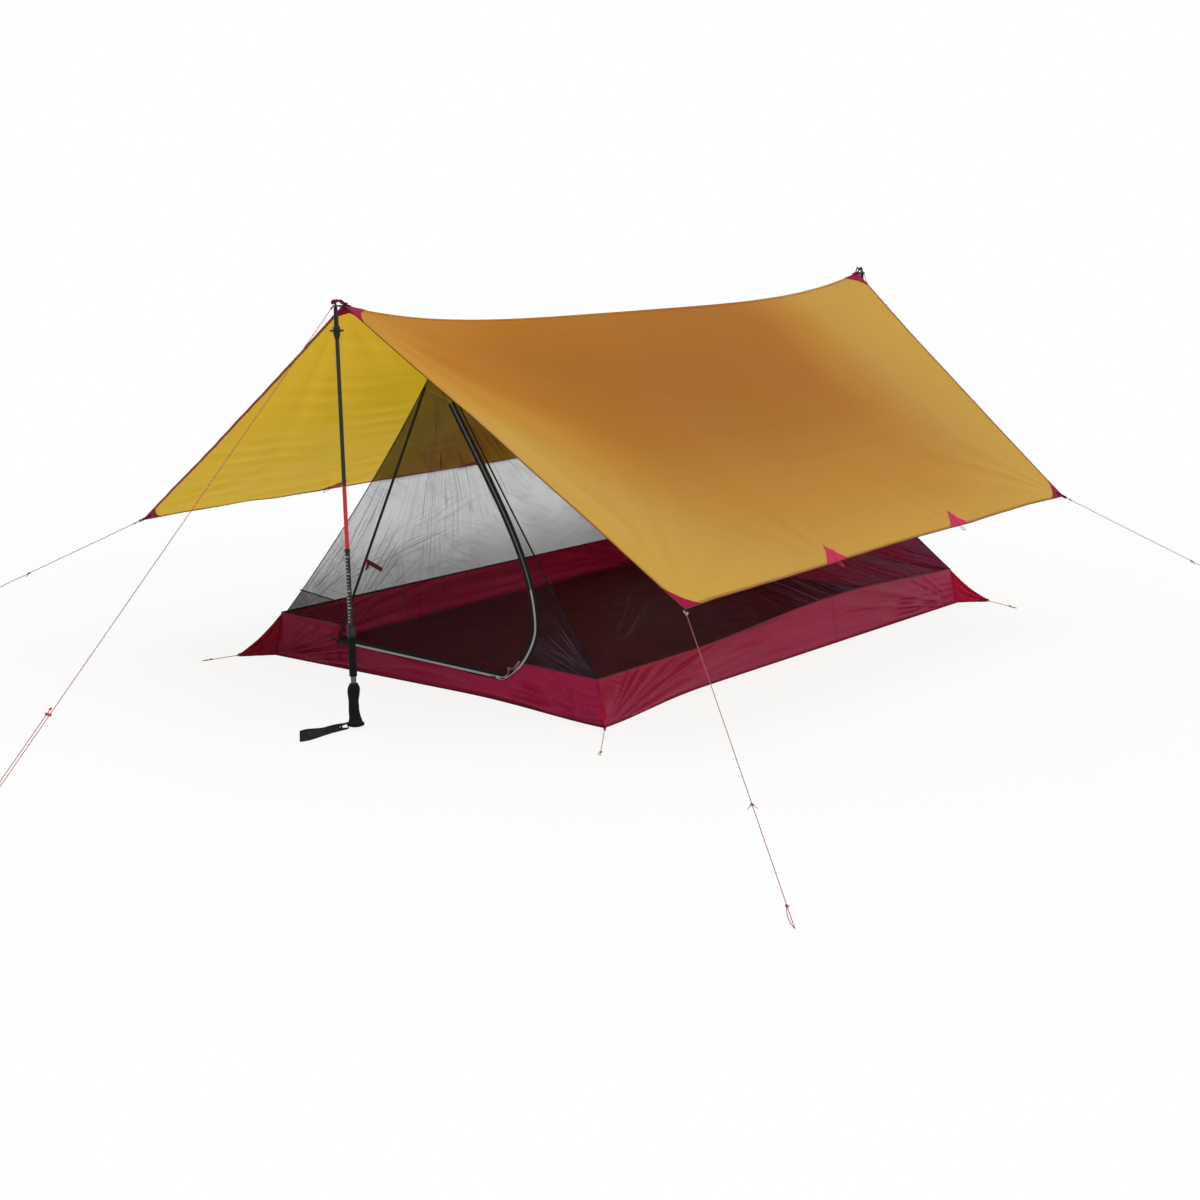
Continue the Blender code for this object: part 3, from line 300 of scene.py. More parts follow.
def grid_piece(
    name: str, points: Array, coordinates: Array, material: Material, thickness: float = 0.0
) -> Piece:
    """A sheet from a grid of points.

    Args:
        name: The piece's name.
        points: Rows by columns of points.
        coordinates: The cloth coordinates of each point, in metres.
        material: Its finish.
        thickness: The sheet's thickness, half of it on each face.

    Returns:
        The new object.
    """
    rows, columns = points.shape[:2]
    index = np.arange(rows * columns).reshape(rows, columns)
    quads = np.stack((index[:-1, :-1], index[:-1, 1:], index[1:, 1:], index[1:, :-1]), axis=-1)
    quads = quads.reshape(-1, 4)
    flat_uvs = coordinates.reshape(-1, 2)[quads.ravel()]
    piece = make_piece(name, points.reshape(-1, 3), quads.tolist(), flat_uvs, material, False, None)
    if thickness:
        give_thickness(piece, thickness)
    return piece


def give_thickness(piece: Piece, thickness: float) -> None:
    """Make an open sheet a closed one, half its thickness on each face.

    Args:
        piece: The open sheet.
        thickness: Its thickness, in metres.
    """
    wall = piece.modifiers.new("Cloth", "SOLIDIFY")
    wall.thickness = thickness
    wall.offset = 0.0
    wall.use_even_offset = False


def skin(
    name: str,
    rings: Array,
    along: Array,
    around: Array,
    material: Material,
    closed: bool = False,
    crease: float | None = 38.0,
) -> Piece:
    """A solid from rings of points, capped at both ends or joined end to end.

    Args:
        name: The piece's name.
        rings: Rings by points of points.
        along: Each ring's coordinate, in metres.
        around: The coordinate of each point of a ring, and of the first one again.
        material: Its finish.
        closed: Whether the last ring joins the first.
        crease: The angle in degrees over which an edge is sharp.

    Returns:
        The new object.
    """
    count, sides = rings.shape[:2]
    faces: list[list[int]] = []
    uvs: list[tuple[float, float]] = []
    spans = count if closed else count - 1
    for i in range(spans):
        j = (i + 1) % count
        v0 = along[i]
        v1 = along[j] if j else along[i] + (along[1] - along[0])
        for k in range(sides):
            m = (k + 1) % sides
            faces.append([i * sides + k, i * sides + m, j * sides + m, j * sides + k])
            uvs += [(around[k], v0), (around[k + 1], v0), (around[k + 1], v1), (around[k], v1)]
    if not closed:
        for i, turn in ((0, -1), (count - 1, 1)):
            faces.append([i * sides + k for k in range(sides)][::turn])
            uvs += [(around[k], along[i]) for k in range(sides)][::turn]
    return make_piece(name, rings.reshape(-1, 3), faces, np.array(uvs), material, True, crease)


def tube(name: str, path: Array, radius: float | Array, material: Material, sides: int = 10) -> Piece:
    """A round cord or wire along a path.

    Args:
        name: The piece's name.
        path: The points that its middle follows.
        radius: Its radius, or one for each point.
        material: Its finish.
        sides: Points round it.

    Returns:
        The new object.
    """
    hint = UP if abs(tangents(path)[0][2]) < 0.9 else np.array((1.0, 0.0, 0.0))
    side, up = carried_frames(path, hint)
    angle = np.linspace(0.0, 2 * math.pi, sides, endpoint=False)
    spread = np.broadcast_to(np.asarray(radius, float), (len(path),))[:, None, None]
    ring = np.cos(angle)[None, :, None] * side[:, None, :] + np.sin(angle)[None, :, None] * up[:, None, :]
    rings = path[:, None, :] + ring * spread
    return skin(name, rings, lengths_along(path), np.linspace(0.0, 1.0, sides + 1), material)


def ribbon(
    name: str, path: Array, up: Array, width: float | Array, thickness: float, material: Material
) -> Piece:
    """A flat strap or tape along a path, with softened edges.

    Args:
        name: The piece's name.
        path: The points that its middle follows.
        up: The way that its face points, one for all or one for each point.
        width: Its width, or one for each point.
        thickness: Its thickness.
        material: Its finish.

    Returns:
        The new object.
    """
    way = tangents(path)
    faces_up = np.broadcast_to(np.asarray(up, float), path.shape)
    side = unit(np.cross(way, faces_up))
    over = np.cross(side, way)
    half = np.broadcast_to(np.asarray(width, float), (len(path),))[:, None, None] / 2
    quarter = np.array(((1.0, 0.3), (0.8, 0.9), (-0.8, 0.9), (-1.0, 0.3)))
    soft = np.vstack((quarter, -quarter))
    reach = np.sign(soft[:, 0])
    tuck = np.where(np.abs(soft[:, 0]) < 1, 0.25 * thickness, 0.0) * reach
    offset = reach[None, :, None] * half - tuck[None, :, None]
    rings = path[:, None, :] + side[:, None, :] * offset
    rings = rings + over[:, None, :] * (soft[:, 1] * thickness / 2)[None, :, None]
    spread = np.concatenate((soft[:, 0], soft[:1, 0])) * float(np.mean(half))
    return skin(name, rings, lengths_along(path), spread, material)


def turned(
    name: str,
    profile: Sequence[tuple[float, float]],
    place: Matrix,
    material: Material,
    sides: int = 32,
    hollow: bool = False,
    shape: Callable[[Array, float], Array] | None = None,
) -> Piece:
    """A turned piece.

    Args:
        name: The piece's name.
        profile: (radius, height) points, in order.
        place: Its placement, with its axis along local Z.
        material: Its finish.
        sides: Points round it.
        hollow: Whether the profile is a closed section, as of a tube.
        shape: Changes the radius by angle and height, for what isn't round.

    Returns:
        The new object.
    """
    angle = np.linspace(0.0, 2 * math.pi, sides, endpoint=False)
    rings = []
    for radius, height in profile:
        reach = np.full(sides, max(radius, 0.0002))
        if shape is not None:
            reach = reach * shape(angle, height)
        rings.append(vec(reach * np.cos(angle), reach * np.sin(angle), height))
    local = np.array(rings)
    turn = np.array(place.to_3x3())
    world = local @ turn.T + np.array(place.translation)
    heights = np.array([height for _, height in profile])
    return skin(name, world, heights, np.linspace(0.0, 1.0, sides + 1), material, hollow)


def plate(
    name: str,
    loops: Sequence[Sequence[tuple[float, float]]],
    thickness: float,
    place: Matrix,
    material: Material,
    bevel: float = 0.0,
) -> Piece:
    """A flat piece: the first loop is its outline and the others are holes.

    Args:
        name: The piece's name.
        loops: Points of each loop, in the piece's own plane.
        thickness: Its thickness.
        place: Its placement.
        material: Its finish.
        bevel: How much its edges are rounded.

    Returns:
        The new object.
    """
    curve = bpy.data.curves.new(name, "CURVE")
    curve.dimensions = "2D"
    curve.fill_mode = "BOTH"
    curve.extrude = thickness / 2 - bevel
    curve.bevel_depth = bevel
    curve.bevel_resolution = 2
    curve.offset = -bevel
    for loop in loops:
        spline = curve.splines.new("POLY")
        spline.points.add(len(loop) - 1)
        spline.use_cyclic_u = True
        for knot, (x, y) in zip(spline.points, loop):
            knot.co = (x, y, 0.0, 1.0)
    drawn = bpy.data.objects.new(name + "_line", curve)
    bpy.context.scene.collection.objects.link(drawn)
    bpy.context.view_layer.update()
    mesh = bpy.data.meshes.new_from_object(drawn.evaluated_get(bpy.context.evaluated_depsgraph_get()))
    bpy.data.objects.remove(drawn)
    bpy.data.curves.remove(curve)
    work = bmesh.new()
    work.from_mesh(mesh)
    bmesh.ops.remove_doubles(work, verts=work.verts[:], dist=0.00001)
    bmesh.ops.recalc_face_normals(work, faces=work.faces[:])
    uvs = [(loop.vert.co.x, loop.vert.co.y) for face in work.faces for loop in face.loops]
    work.transform(place)
    points = np.array([vert.co[:] for vert in work.verts])
    faces = [[vert.index for vert in face.verts] for face in work.faces]
    work.free()
    bpy.data.meshes.remove(mesh)
    return make_piece(name, points, faces, np.array(uvs), material, False, 30.0)


def joined(name: str, parts: Sequence[Piece]) -> Piece:
    """Several meshes made one piece, with their materials kept.

    Args:
        name: The piece's name.
        parts: The meshes, which have no modifiers.

    Returns:
        The one object.
    """
    first = parts[0]
    with bpy.context.temp_override(
        active_object=first, object=first, selected_objects=list(parts), selected_editable_objects=list(parts)
    ):
        bpy.ops.object.join()
    first.name = name
    first.data.name = name
    return first


def placement(origin: Sequence[float], x_axis: Sequence[float], z_hint: Sequence[float]) -> Matrix:
    """A placement with local X along x_axis and local Z as near z_hint as it can be.

    Args:
        origin: Its origin.
        x_axis: The direction of local X.
        z_hint: About where local Z points.

    Returns:
        The placement.
    """
    x = Vector(x_axis).normalized()
    y = Vector(z_hint).cross(x).normalized()
    z = x.cross(y)
    return Matrix.Translation(Vector(origin)) @ Matrix((x, y, z)).transposed().to_4x4()


def settle(piece: Piece, body: Body, slot: Slot, *nodes: str) -> Piece:
    """Give a piece what it rides on, and hide the solids that it stands for.

    Args:
        piece: The finished piece.
        body: What it moves with.
        slot: Not used.
        nodes: The solids that it stands for.

    Returns:
        The same piece.
    """
    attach(piece, body.value)
    if nodes:
        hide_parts(*nodes)
    log.info("%s on %s", piece.name, body.value)
    return piece


# Finishes


class Board:
    """Adds and joins the nodes of one material or node group."""

    def __init__(self, tree: bpy.types.NodeTree) -> None:
        """Work on this tree."""
        self.tree = tree

    def add(self, kind: str, **settings: object) -> Node:
        """A new node with these settings.

        Args:
            kind: The node's type.
            **settings: Its properties.

        Returns:
            The new node.
        """
        node = self.tree.nodes.new(kind)
        for key, value in settings.items():
            setattr(node, key, value)
        return node

    def feed(self, value: object, target: Socket) -> None:
        """Link a socket to the target, or set the target to a plain value.

        Args:
            value: A socket or a plain value.
            target: The input that takes it.
        """
        if isinstance(value, Socket):
            self.tree.links.new(value, target)
        else:
            target.default_value = value

    def sum(self, operation: str, a: object, b: object = 0.0, c: object = 0.0, clamp: bool = False) -> Socket:
        """The result of one arithmetic step.

        Args:
            operation: The step's name.
            a: The first value, a socket or a plain one.
            b: The second value.
            c: The third value, where the step has one.
            clamp: Whether the result is held between 0 and 1.

        Returns:
            The result.
        """
        node = self.add("ShaderNodeMath", operation=operation, use_clamp=clamp)
        for value, target in zip((a, b, c), node.inputs):
            self.feed(value, target)
        return node.outputs[0]

    def vector(self, operation: str, a: object, b: object = (0.0, 0.0, 0.0)) -> Socket:
        """The result of one step on vectors.

        Args:
            operation: The step's name.
            a: The first value, a socket or a plain one.
            b: The second value.

        Returns:
            The result.
        """
        node = self.add("ShaderNodeVectorMath", operation=operation)
        self.feed(a, node.inputs[0])
        self.feed(b, node.inputs[1])
        return node.outputs[0]

    def remap(self, value: Socket, low: float, high: float, to_low: float = 0.0, to_high: float = 1.0) -> Socket:
        """A smooth change from to_low to to_high as the value goes from low to high.

        Args:
            value: What changes.
            low: Where the change starts.
            high: Where it ends.
            to_low: The result at the start.
            to_high: The result at the end.

        Returns:
            The result.
        """
        node = self.add("ShaderNodeMapRange", interpolation_type="SMOOTHSTEP")
        for given, key in ((value, 0), (low, 1), (high, 2), (to_low, 3), (to_high, 4)):
            self.feed(given, node.inputs[key])
        return node.outputs[0]

    def blend(self, share: object, a: object, b: object) -> Socket:
        """The colour a share of the way from a to b.

        Args:
            share: The share of b.
            a: The first colour.
            b: The second colour.

        Returns:
            The blended colour.
        """
        node = self.add("ShaderNodeMix", data_type="RGBA")
        self.feed(share, node.inputs[0])
        self.feed(a, node.inputs[6])
        self.feed(b, node.inputs[7])
        return node.outputs[2]

    def noise(self, vector: Socket, scale: object, detail: float = 3.0, twist: float = 0.0) -> Socket:
        """The level of a cloudy noise.

        Args:
            vector: The coordinates, as a socket.
            scale: Its clouds to the metre.
            detail: How fine it gets.
            twist: How much it is distorted.

        Returns:
            The level, from 0 to 1.
        """
        node = self.add("ShaderNodeTexNoise")
        self.feed(vector, node.inputs["Vector"])
        self.feed(scale, node.inputs["Scale"])
        node.inputs["Detail"].default_value = detail
        node.inputs["Distortion"].default_value = twist
        return node.outputs["Fac"]

    def turned(self, vector: Socket, angle: object, size: object) -> Socket:
        """The coordinates turned by an angle and then stretched.

        Args:
            vector: The coordinates, as a socket.
            angle: The turn, in radians.
            size: The stretch along each axis.

        Returns:
            The new coordinates.
        """
        turn = self.add("ShaderNodeVectorRotate", rotation_type="Z_AXIS")
        self.feed(vector, turn.inputs["Vector"])
        self.feed(angle, turn.inputs["Angle"])
        return self.vector("MULTIPLY", turn.outputs[0], size)

    def split(self, vector: Socket) -> Sequence[Socket]:
        """The three coordinates of a vector.

        Args:
            vector: The coordinates, as a socket.

        Returns:
            The three coordinates.
        """
        node = self.add("ShaderNodeSeparateXYZ")
        self.feed(vector, node.inputs[0])
        return node.outputs

    def combined(self, x: object, y: object, z: object = 0.0) -> Socket:
        """A vector from its three coordinates.

        Args:
            x: The first coordinate, a socket or a plain value.
            y: The second one.
            z: The third one.

        Returns:
            The vector.
        """
        node = self.add("ShaderNodeCombineXYZ")
        for value, target in zip((x, y, z), node.inputs):
            self.feed(value, target)
        return node.outputs[0]

    def length(self, vector: Socket) -> Socket:
        """The length of a vector.

        Args:
            vector: The coordinates, as a socket.

        Returns:
            The length.
        """
        node = self.add("ShaderNodeVectorMath", operation="LENGTH")
        self.feed(vector, node.inputs[0])
        return node.outputs["Value"]

    def seen(self) -> Socket:
        """1 for rays that come from the camera, also by a mirror or a pane, and 0 for the rest.

        Returns:
            The mask.
        """
        rays = self.add("ShaderNodeLightPath").outputs
        direct = self.sum("MAXIMUM", rays["Is Camera Ray"], rays["Is Glossy Ray"])
        return self.sum("MAXIMUM", direct, rays["Is Transmission Ray"])

    def group(self, tree: bpy.types.NodeTree, **values: object) -> Node:
        """A placed node group with these inputs, whose names use _ for a space.

        Args:
            tree: The group.
            **values: Sockets or plain values for its inputs.

        Returns:
            The placed group.
        """
        node = self.add("ShaderNodeGroup", node_tree=tree)
        for key, value in values.items():
            self.feed(value, node.inputs[key.replace("_", " ")])
        return node


def rgba(colour: Sequence[float]) -> tuple[float, float, float, float]:
    """A colour with full alpha."""
    return (colour[0], colour[1], colour[2], 1.0)


class Effect:
    """A shader node group that several finishes share."""

    def __init__(self, name: str, inputs: dict[str, tuple[str, object]], outputs: Sequence[str]) -> None:
        """Open a new group with these sockets.

        Args:
            name: The group's name.
            inputs: Each input's kind, "vector" or "value", and its usual value.
            outputs: The names of its value outputs.
        """
        self.tree = bpy.data.node_groups.new(name, "ShaderNodeTree")
        kinds = {"vector": "NodeSocketVector", "value": "NodeSocketFloat"}
        for key, (kind, usual) in inputs.items():
            socket = self.tree.interface.new_socket(name=key, in_out="INPUT", socket_type=kinds[kind])
            socket.default_value = usual
        for key in outputs:
            self.tree.interface.new_socket(name=key, in_out="OUTPUT", socket_type="NodeSocketFloat")
        self.board = Board(self.tree)
        self.given = self.board.add("NodeGroupInput").outputs
        self.wanted = self.board.add("NodeGroupOutput").inputs

    def give(self, **results: Socket) -> bpy.types.NodeTree:
        """Link the results to the outputs, whose names use _ for a space.

        Args:
            **results: A socket for each output.

        Returns:
            The finished group.
        """
        for key, value in results.items():
            self.board.feed(value, self.wanted[key.replace("_", " ")])
        return self.tree


class Effects:
    """Weave, creases, streaks, braid, scuffs and foam cells, each built once."""

    def __init__(self) -> None:
        """Build every group."""
        self.ripstop = self.make_ripstop()
        self.creases = self.make_creases()
        self.streaks = self.make_streaks()
        self.fan = self.make_fan()
        self.threads = self.make_threads()
        self.twill = self.make_twill()
        self.braid = self.make_braid()
        self.scuffs = self.make_scuffs()
        self.cells = self.make_cells()

    def make_ripstop(self) -> bpy.types.NodeTree:
        """Fine plain weave with a raised grid of thicker threads.

        Returns:
            The node group.
        """
        effect = Effect(
            "ripstop weave",
            {"Vector": ("vector", (0, 0, 0)), "Thread": ("value", 0.0004), "Grid": ("value", 0.005)},
            ("Height", "Line"),
        )
        b, given = effect.board, effect.given
        parts = b.split(given["Vector"])
        waves = []
        lines = []
        for axis in (0, 1):
            turns = b.sum("DIVIDE", parts[axis], given["Thread"])
            waves.append(b.sum("SINE", b.sum("MULTIPLY", turns, 2 * math.pi)))
            near = b.sum("PINGPONG", parts[axis], b.sum("MULTIPLY", given["Grid"], 0.5))
            lines.append(b.remap(b.sum("DIVIDE", near, given["Grid"]), 0.02, 0.07, 1.0, 0.0))
        weave = b.sum("MULTIPLY", waves[0], waves[1])
        line = b.sum("MAXIMUM", lines[0], lines[1])
        height = b.sum("ADD", b.sum("MULTIPLY", weave, 0.2), line)
        return effect.give(Height=height, Line=line)

    def make_creases(self) -> bpy.types.NodeTree:
        """The soft buckles and sharp little creases that packed cloth keeps.

        Returns:
            The node group.
        """
        effect = Effect(
            "packed creases",
            {
                "Vector": ("vector", (0, 0, 0)),
                "Scale": ("value", 5.0),
                "Heading": ("value", 0.0),
                "Pull": ("value", 0.35),
            },
            ("Height", "Tone"),
        )
        b, given = effect.board, effect.given
        drawn = b.turned(given["Vector"], given["Heading"], b.combined(given["Pull"], 1.0, 1.0))
        soft = b.noise(drawn, given["Scale"], 4.0, 0.6)
        finer = b.noise(drawn, b.sum("MULTIPLY", given["Scale"], 2.3), 2.0, 0.9)
        fold = b.sum("ABSOLUTE", b.sum("SUBTRACT", finer, 0.5))
        sharp = b.remap(fold, 0.0, 0.06, 1.0, 0.0)
        patch = b.remap(b.noise(given["Vector"], 2.1, 1.0), 0.42, 0.66)
        height = b.sum("ADD", soft, b.sum("MULTIPLY", b.sum("MULTIPLY", sharp, patch), 0.12))
        tone = b.noise(given["Vector"], 1.3, 2.0)
        return effect.give(Height=height, Tone=tone)

    def make_streaks(self) -> bpy.types.NodeTree:
        """Long thin folds across netting, where its threads bunch and it looks darker.

        Returns:
            The node group.
        """
        effect = Effect(
            "netting streaks",
            {"Vector": ("vector", (0, 0, 0)), "Heading": ("value", 0.6), "Width": ("value", 0.012)},
            ("Mask",),
        )
        b, given = effect.board, effect.given
        turned = b.turned(given["Vector"], given["Heading"], (1.0, 1.0, 1.0))
        parts = b.split(turned)
        across = b.sum("DIVIDE", parts[1], b.sum("MULTIPLY", given["Width"], 4.0))
        level = b.noise(b.combined(b.sum("MULTIPLY", parts[0], 1.6), across), 1.0, 3.0, 0.35)
        ridge = b.sum("ABSOLUTE", b.sum("SUBTRACT", level, 0.5))
        thin = b.remap(ridge, 0.0, 0.035, 1.0, 0.0)
        patch = b.remap(b.noise(given["Vector"], 3.0, 1.0), 0.38, 0.68)
        return effect.give(Mask=b.sum("MULTIPLY", thin, patch))

    def make_fan(self) -> bpy.types.NodeTree:
        """Thin folds that spread from one point of a netting panel, where it is pulled.

        Returns:
            The node group.
        """
        effect = Effect(
            "netting fan",
            {
                "Vector": ("vector", (0, 0, 0)), "Centre": ("vector", (0, 0, 0)), "Heading": ("value", 0.0),
                "Spread": ("value", 0.4), "Start": ("value", 0.05), "Reach": ("value", 0.4), "Count": ("value", 9.0),
                "Width": ("value", 0.034),
            },
            ("Mask",),
        )
        b, given = effect.board, effect.given
        offset = b.vector("SUBTRACT", given["Vector"], given["Centre"])
        parts = b.split(offset)
        angle = b.sum("SUBTRACT", b.sum("ARCTAN2", parts[1], parts[0]), given["Heading"])
        distance = b.length(offset)
        across = b.sum("MULTIPLY", b.sum("DIVIDE", angle, given["Spread"]), given["Count"])
        lane = b.combined(across, b.sum("MULTIPLY", distance, 1.2), given["Heading"])
        fold = b.sum("ABSOLUTE", b.sum("SUBTRACT", b.noise(lane, 1.0, 1.0, 0.10), 0.5))
        thin = b.remap(b.sum("DIVIDE", fold, given["Width"]), 0.0, 1.0, 1.0, 0.0)
        inside = b.remap(b.sum("ABSOLUTE", b.sum("DIVIDE", angle, given["Spread"])), 0.35, 1.0, 1.0, 0.0)
        begins = b.remap(b.sum("DIVIDE", distance, given["Start"]), 0.5, 1.5)
        ends = b.remap(b.sum("DIVIDE", distance, given["Reach"]), 0.45, 1.0, 1.0, 0.0)
        mask = b.sum("MULTIPLY", b.sum("MULTIPLY", thin, inside), b.sum("MULTIPLY", begins, ends))
        return effect.give(Mask=mask)

    def make_threads(self) -> bpy.types.NodeTree:
        """The threads and holes of knitted netting.

        Returns:
            The node group.
        """
        effect = Effect(
            "netting threads",
            {"Vector": ("vector", (0, 0, 0)), "Pitch": ("value", 0.0012)},
            ("Cover",),
        )
        b, given = effect.board, effect.given
        parts = b.split(given["Vector"])
        slant = []
        for share in (0.58, -0.58):
            line = b.sum("ADD", parts[0], b.sum("MULTIPLY", parts[1], share))
            wave = b.sum("SINE", b.sum("MULTIPLY", b.sum("DIVIDE", line, given["Pitch"]), 2 * math.pi))
            slant.append(b.remap(b.sum("ABSOLUTE", wave), 0.0, 0.55, 1.0, 0.0))
        return effect.give(Cover=b.sum("MAXIMUM", slant[0], slant[1]))

    def make_twill(self) -> bpy.types.NodeTree:
        """The slanting ribs of woven webbing and zip tape.

        Returns:
            The node group.
        """
        effect = Effect(
            "webbing ribs",
            {"Vector": ("vector", (0, 0, 0)), "Pitch": ("value", 0.0016)},
            ("Height", "Shade"),
        )
        b, given = effect.board, effect.given
        parts = b.split(given["Vector"])
        across = b.sum("DIVIDE", parts[0], given["Pitch"])
        along = b.sum("DIVIDE", parts[1], given["Pitch"])
        chevron = b.sum("PINGPONG", across, 1.0)
        wave = b.sum("SINE", b.sum("MULTIPLY", b.sum("ADD", along, chevron), 2 * math.pi))
        height = b.sum("MULTIPLY_ADD", wave, 0.5, 0.5)
        shade = b.sum("MULTIPLY_ADD", b.noise(given["Vector"], 60.0, 3.0), 0.5, 0.75)
        return effect.give(Height=height, Shade=shade)

    def make_braid(self) -> bpy.types.NodeTree:
        """The crossed strands of a cord, with a bright fleck on every few.

        Returns:
            The node group.
        """
        effect = Effect(
            "cord braid",
            {"Vector": ("vector", (0, 0, 0)), "Pitch": ("value", 0.004)},
            ("Height", "Fleck"),
        )
        b, given = effect.board, effect.given
        parts = b.split(given["Vector"])
        around = b.sum("MULTIPLY", parts[0], 4.0)
        along = b.sum("DIVIDE", parts[1], given["Pitch"])
        waves = []
        for sign in (1.0, -1.0):
            turn = b.sum("ADD", b.sum("MULTIPLY", around, sign), b.sum("MULTIPLY", along, 2.0))
            waves.append(b.sum("SINE", b.sum("MULTIPLY", turn, math.pi)))
        height = b.sum("ABSOLUTE", b.sum("MULTIPLY", waves[0], waves[1]))
        spiral = b.sum("FRACT", b.sum("ADD", parts[0], b.sum("MULTIPLY", along, 0.25)))
        fleck = b.remap(spiral, 0.10, 0.16, 1.0, 0.0)
        return effect.give(Height=height, Fleck=fleck)

    def make_scuffs(self) -> bpy.types.NodeTree:
        """Fine rubbed marks and a cloudy change of sheen on hard pieces.

        Returns:
            The node group.
        """
        effect = Effect(
            "scuffs",
            {"Vector": ("vector", (0, 0, 0)), "Scale": ("value", 120.0)},
            ("Mask", "Cloud"),
        )
        b, given = effect.board, effect.given
        long = b.turned(given["Vector"], 0.4, (0.3, 1.0, 1.0))
        marks = b.remap(b.noise(long, given["Scale"], 5.0, 0.4), 0.60, 0.70)
        cloud = b.noise(given["Vector"], b.sum("MULTIPLY", given["Scale"], 0.25), 2.0)
        return effect.give(Mask=marks, Cloud=cloud)

    def make_cells(self) -> bpy.types.NodeTree:
        """The open grain of foam.

        Returns:
            The node group.
        """
        effect = Effect(
            "foam grain",
            {"Vector": ("vector", (0, 0, 0)), "Scale": ("value", 900.0)},
            ("Height",),
        )
        b, given = effect.board, effect.given
        cell = b.add("ShaderNodeTexVoronoi", feature="F1")
        b.feed(given["Vector"], cell.inputs["Vector"])
        b.feed(given["Scale"], cell.inputs["Scale"])
        rough = b.noise(given["Vector"], b.sum("MULTIPLY", given["Scale"], 0.4), 3.0)
        return effect.give(Height=b.sum("ADD", b.sum("MULTIPLY", cell.outputs["Distance"], 0.7), rough))


class MaterialSheet:
    """One material while it is being made."""

    def __init__(self, name: str) -> None:
        """Start a material with its Principled shader and cloth coordinates.

        Args:
            name: The material's name.
        """
        self.material = bpy.data.materials.new(name)
        self.material.use_nodes = True
        self.board = Board(self.material.node_tree)
        self.shader = self.material.node_tree.nodes["Principled BSDF"]
        self.output = self.material.node_tree.nodes["Material Output"]
        place = self.board.add("ShaderNodeTexCoord")
        self.cloth = self.board.add("ShaderNodeUVMap", uv_map="cloth").outputs[0]
        self.object = place.outputs["Object"]

    def set(self, **values: object) -> None:
        """Set or link the shader's inputs, whose names use _ for a space."""
        for key, value in values.items():
            self.board.feed(value, self.shader.inputs[key.replace("_", " ")])

    def relief(self, height: Socket, distance: float, strength: float = 1.0, under: Socket | None = None) -> Socket:
        """A normal bent by a height.

        Args:
            height: The height, from 0 to 1.
            distance: How tall 1 is, in metres.
            strength: The share of the bend that is kept.
            under: A normal that is already bent.

        Returns:
            The new normal.
        """
        bump = self.board.add("ShaderNodeBump")
        bump.inputs["Strength"].default_value = strength
        bump.inputs["Distance"].default_value = distance
        self.board.feed(height, bump.inputs["Height"])
        if under is not None:
            self.board.feed(under, bump.inputs["Normal"])
        return bump.outputs[0]

    def see_through(self, colour: Socket | tuple[float, ...], share: float, normal: Socket) -> None:
        """Let light from behind shine through in a colour, as thin cloth does.

        Args:
            colour: The light's colour.
            share: How much of the look it is.
            normal: The cloth's bent normal.
        """
        glow = self.board.add("ShaderNodeBsdfTranslucent")
        self.board.feed(colour, glow.inputs["Color"])
        self.board.feed(normal, glow.inputs["Normal"])
        both = self.board.add("ShaderNodeMixShader")
        both.inputs[0].default_value = share
        self.board.feed(self.shader.outputs[0], both.inputs[1])
        self.board.feed(glow.outputs[0], both.inputs[2])
        self.board.feed(both.outputs[0], self.output.inputs["Surface"])


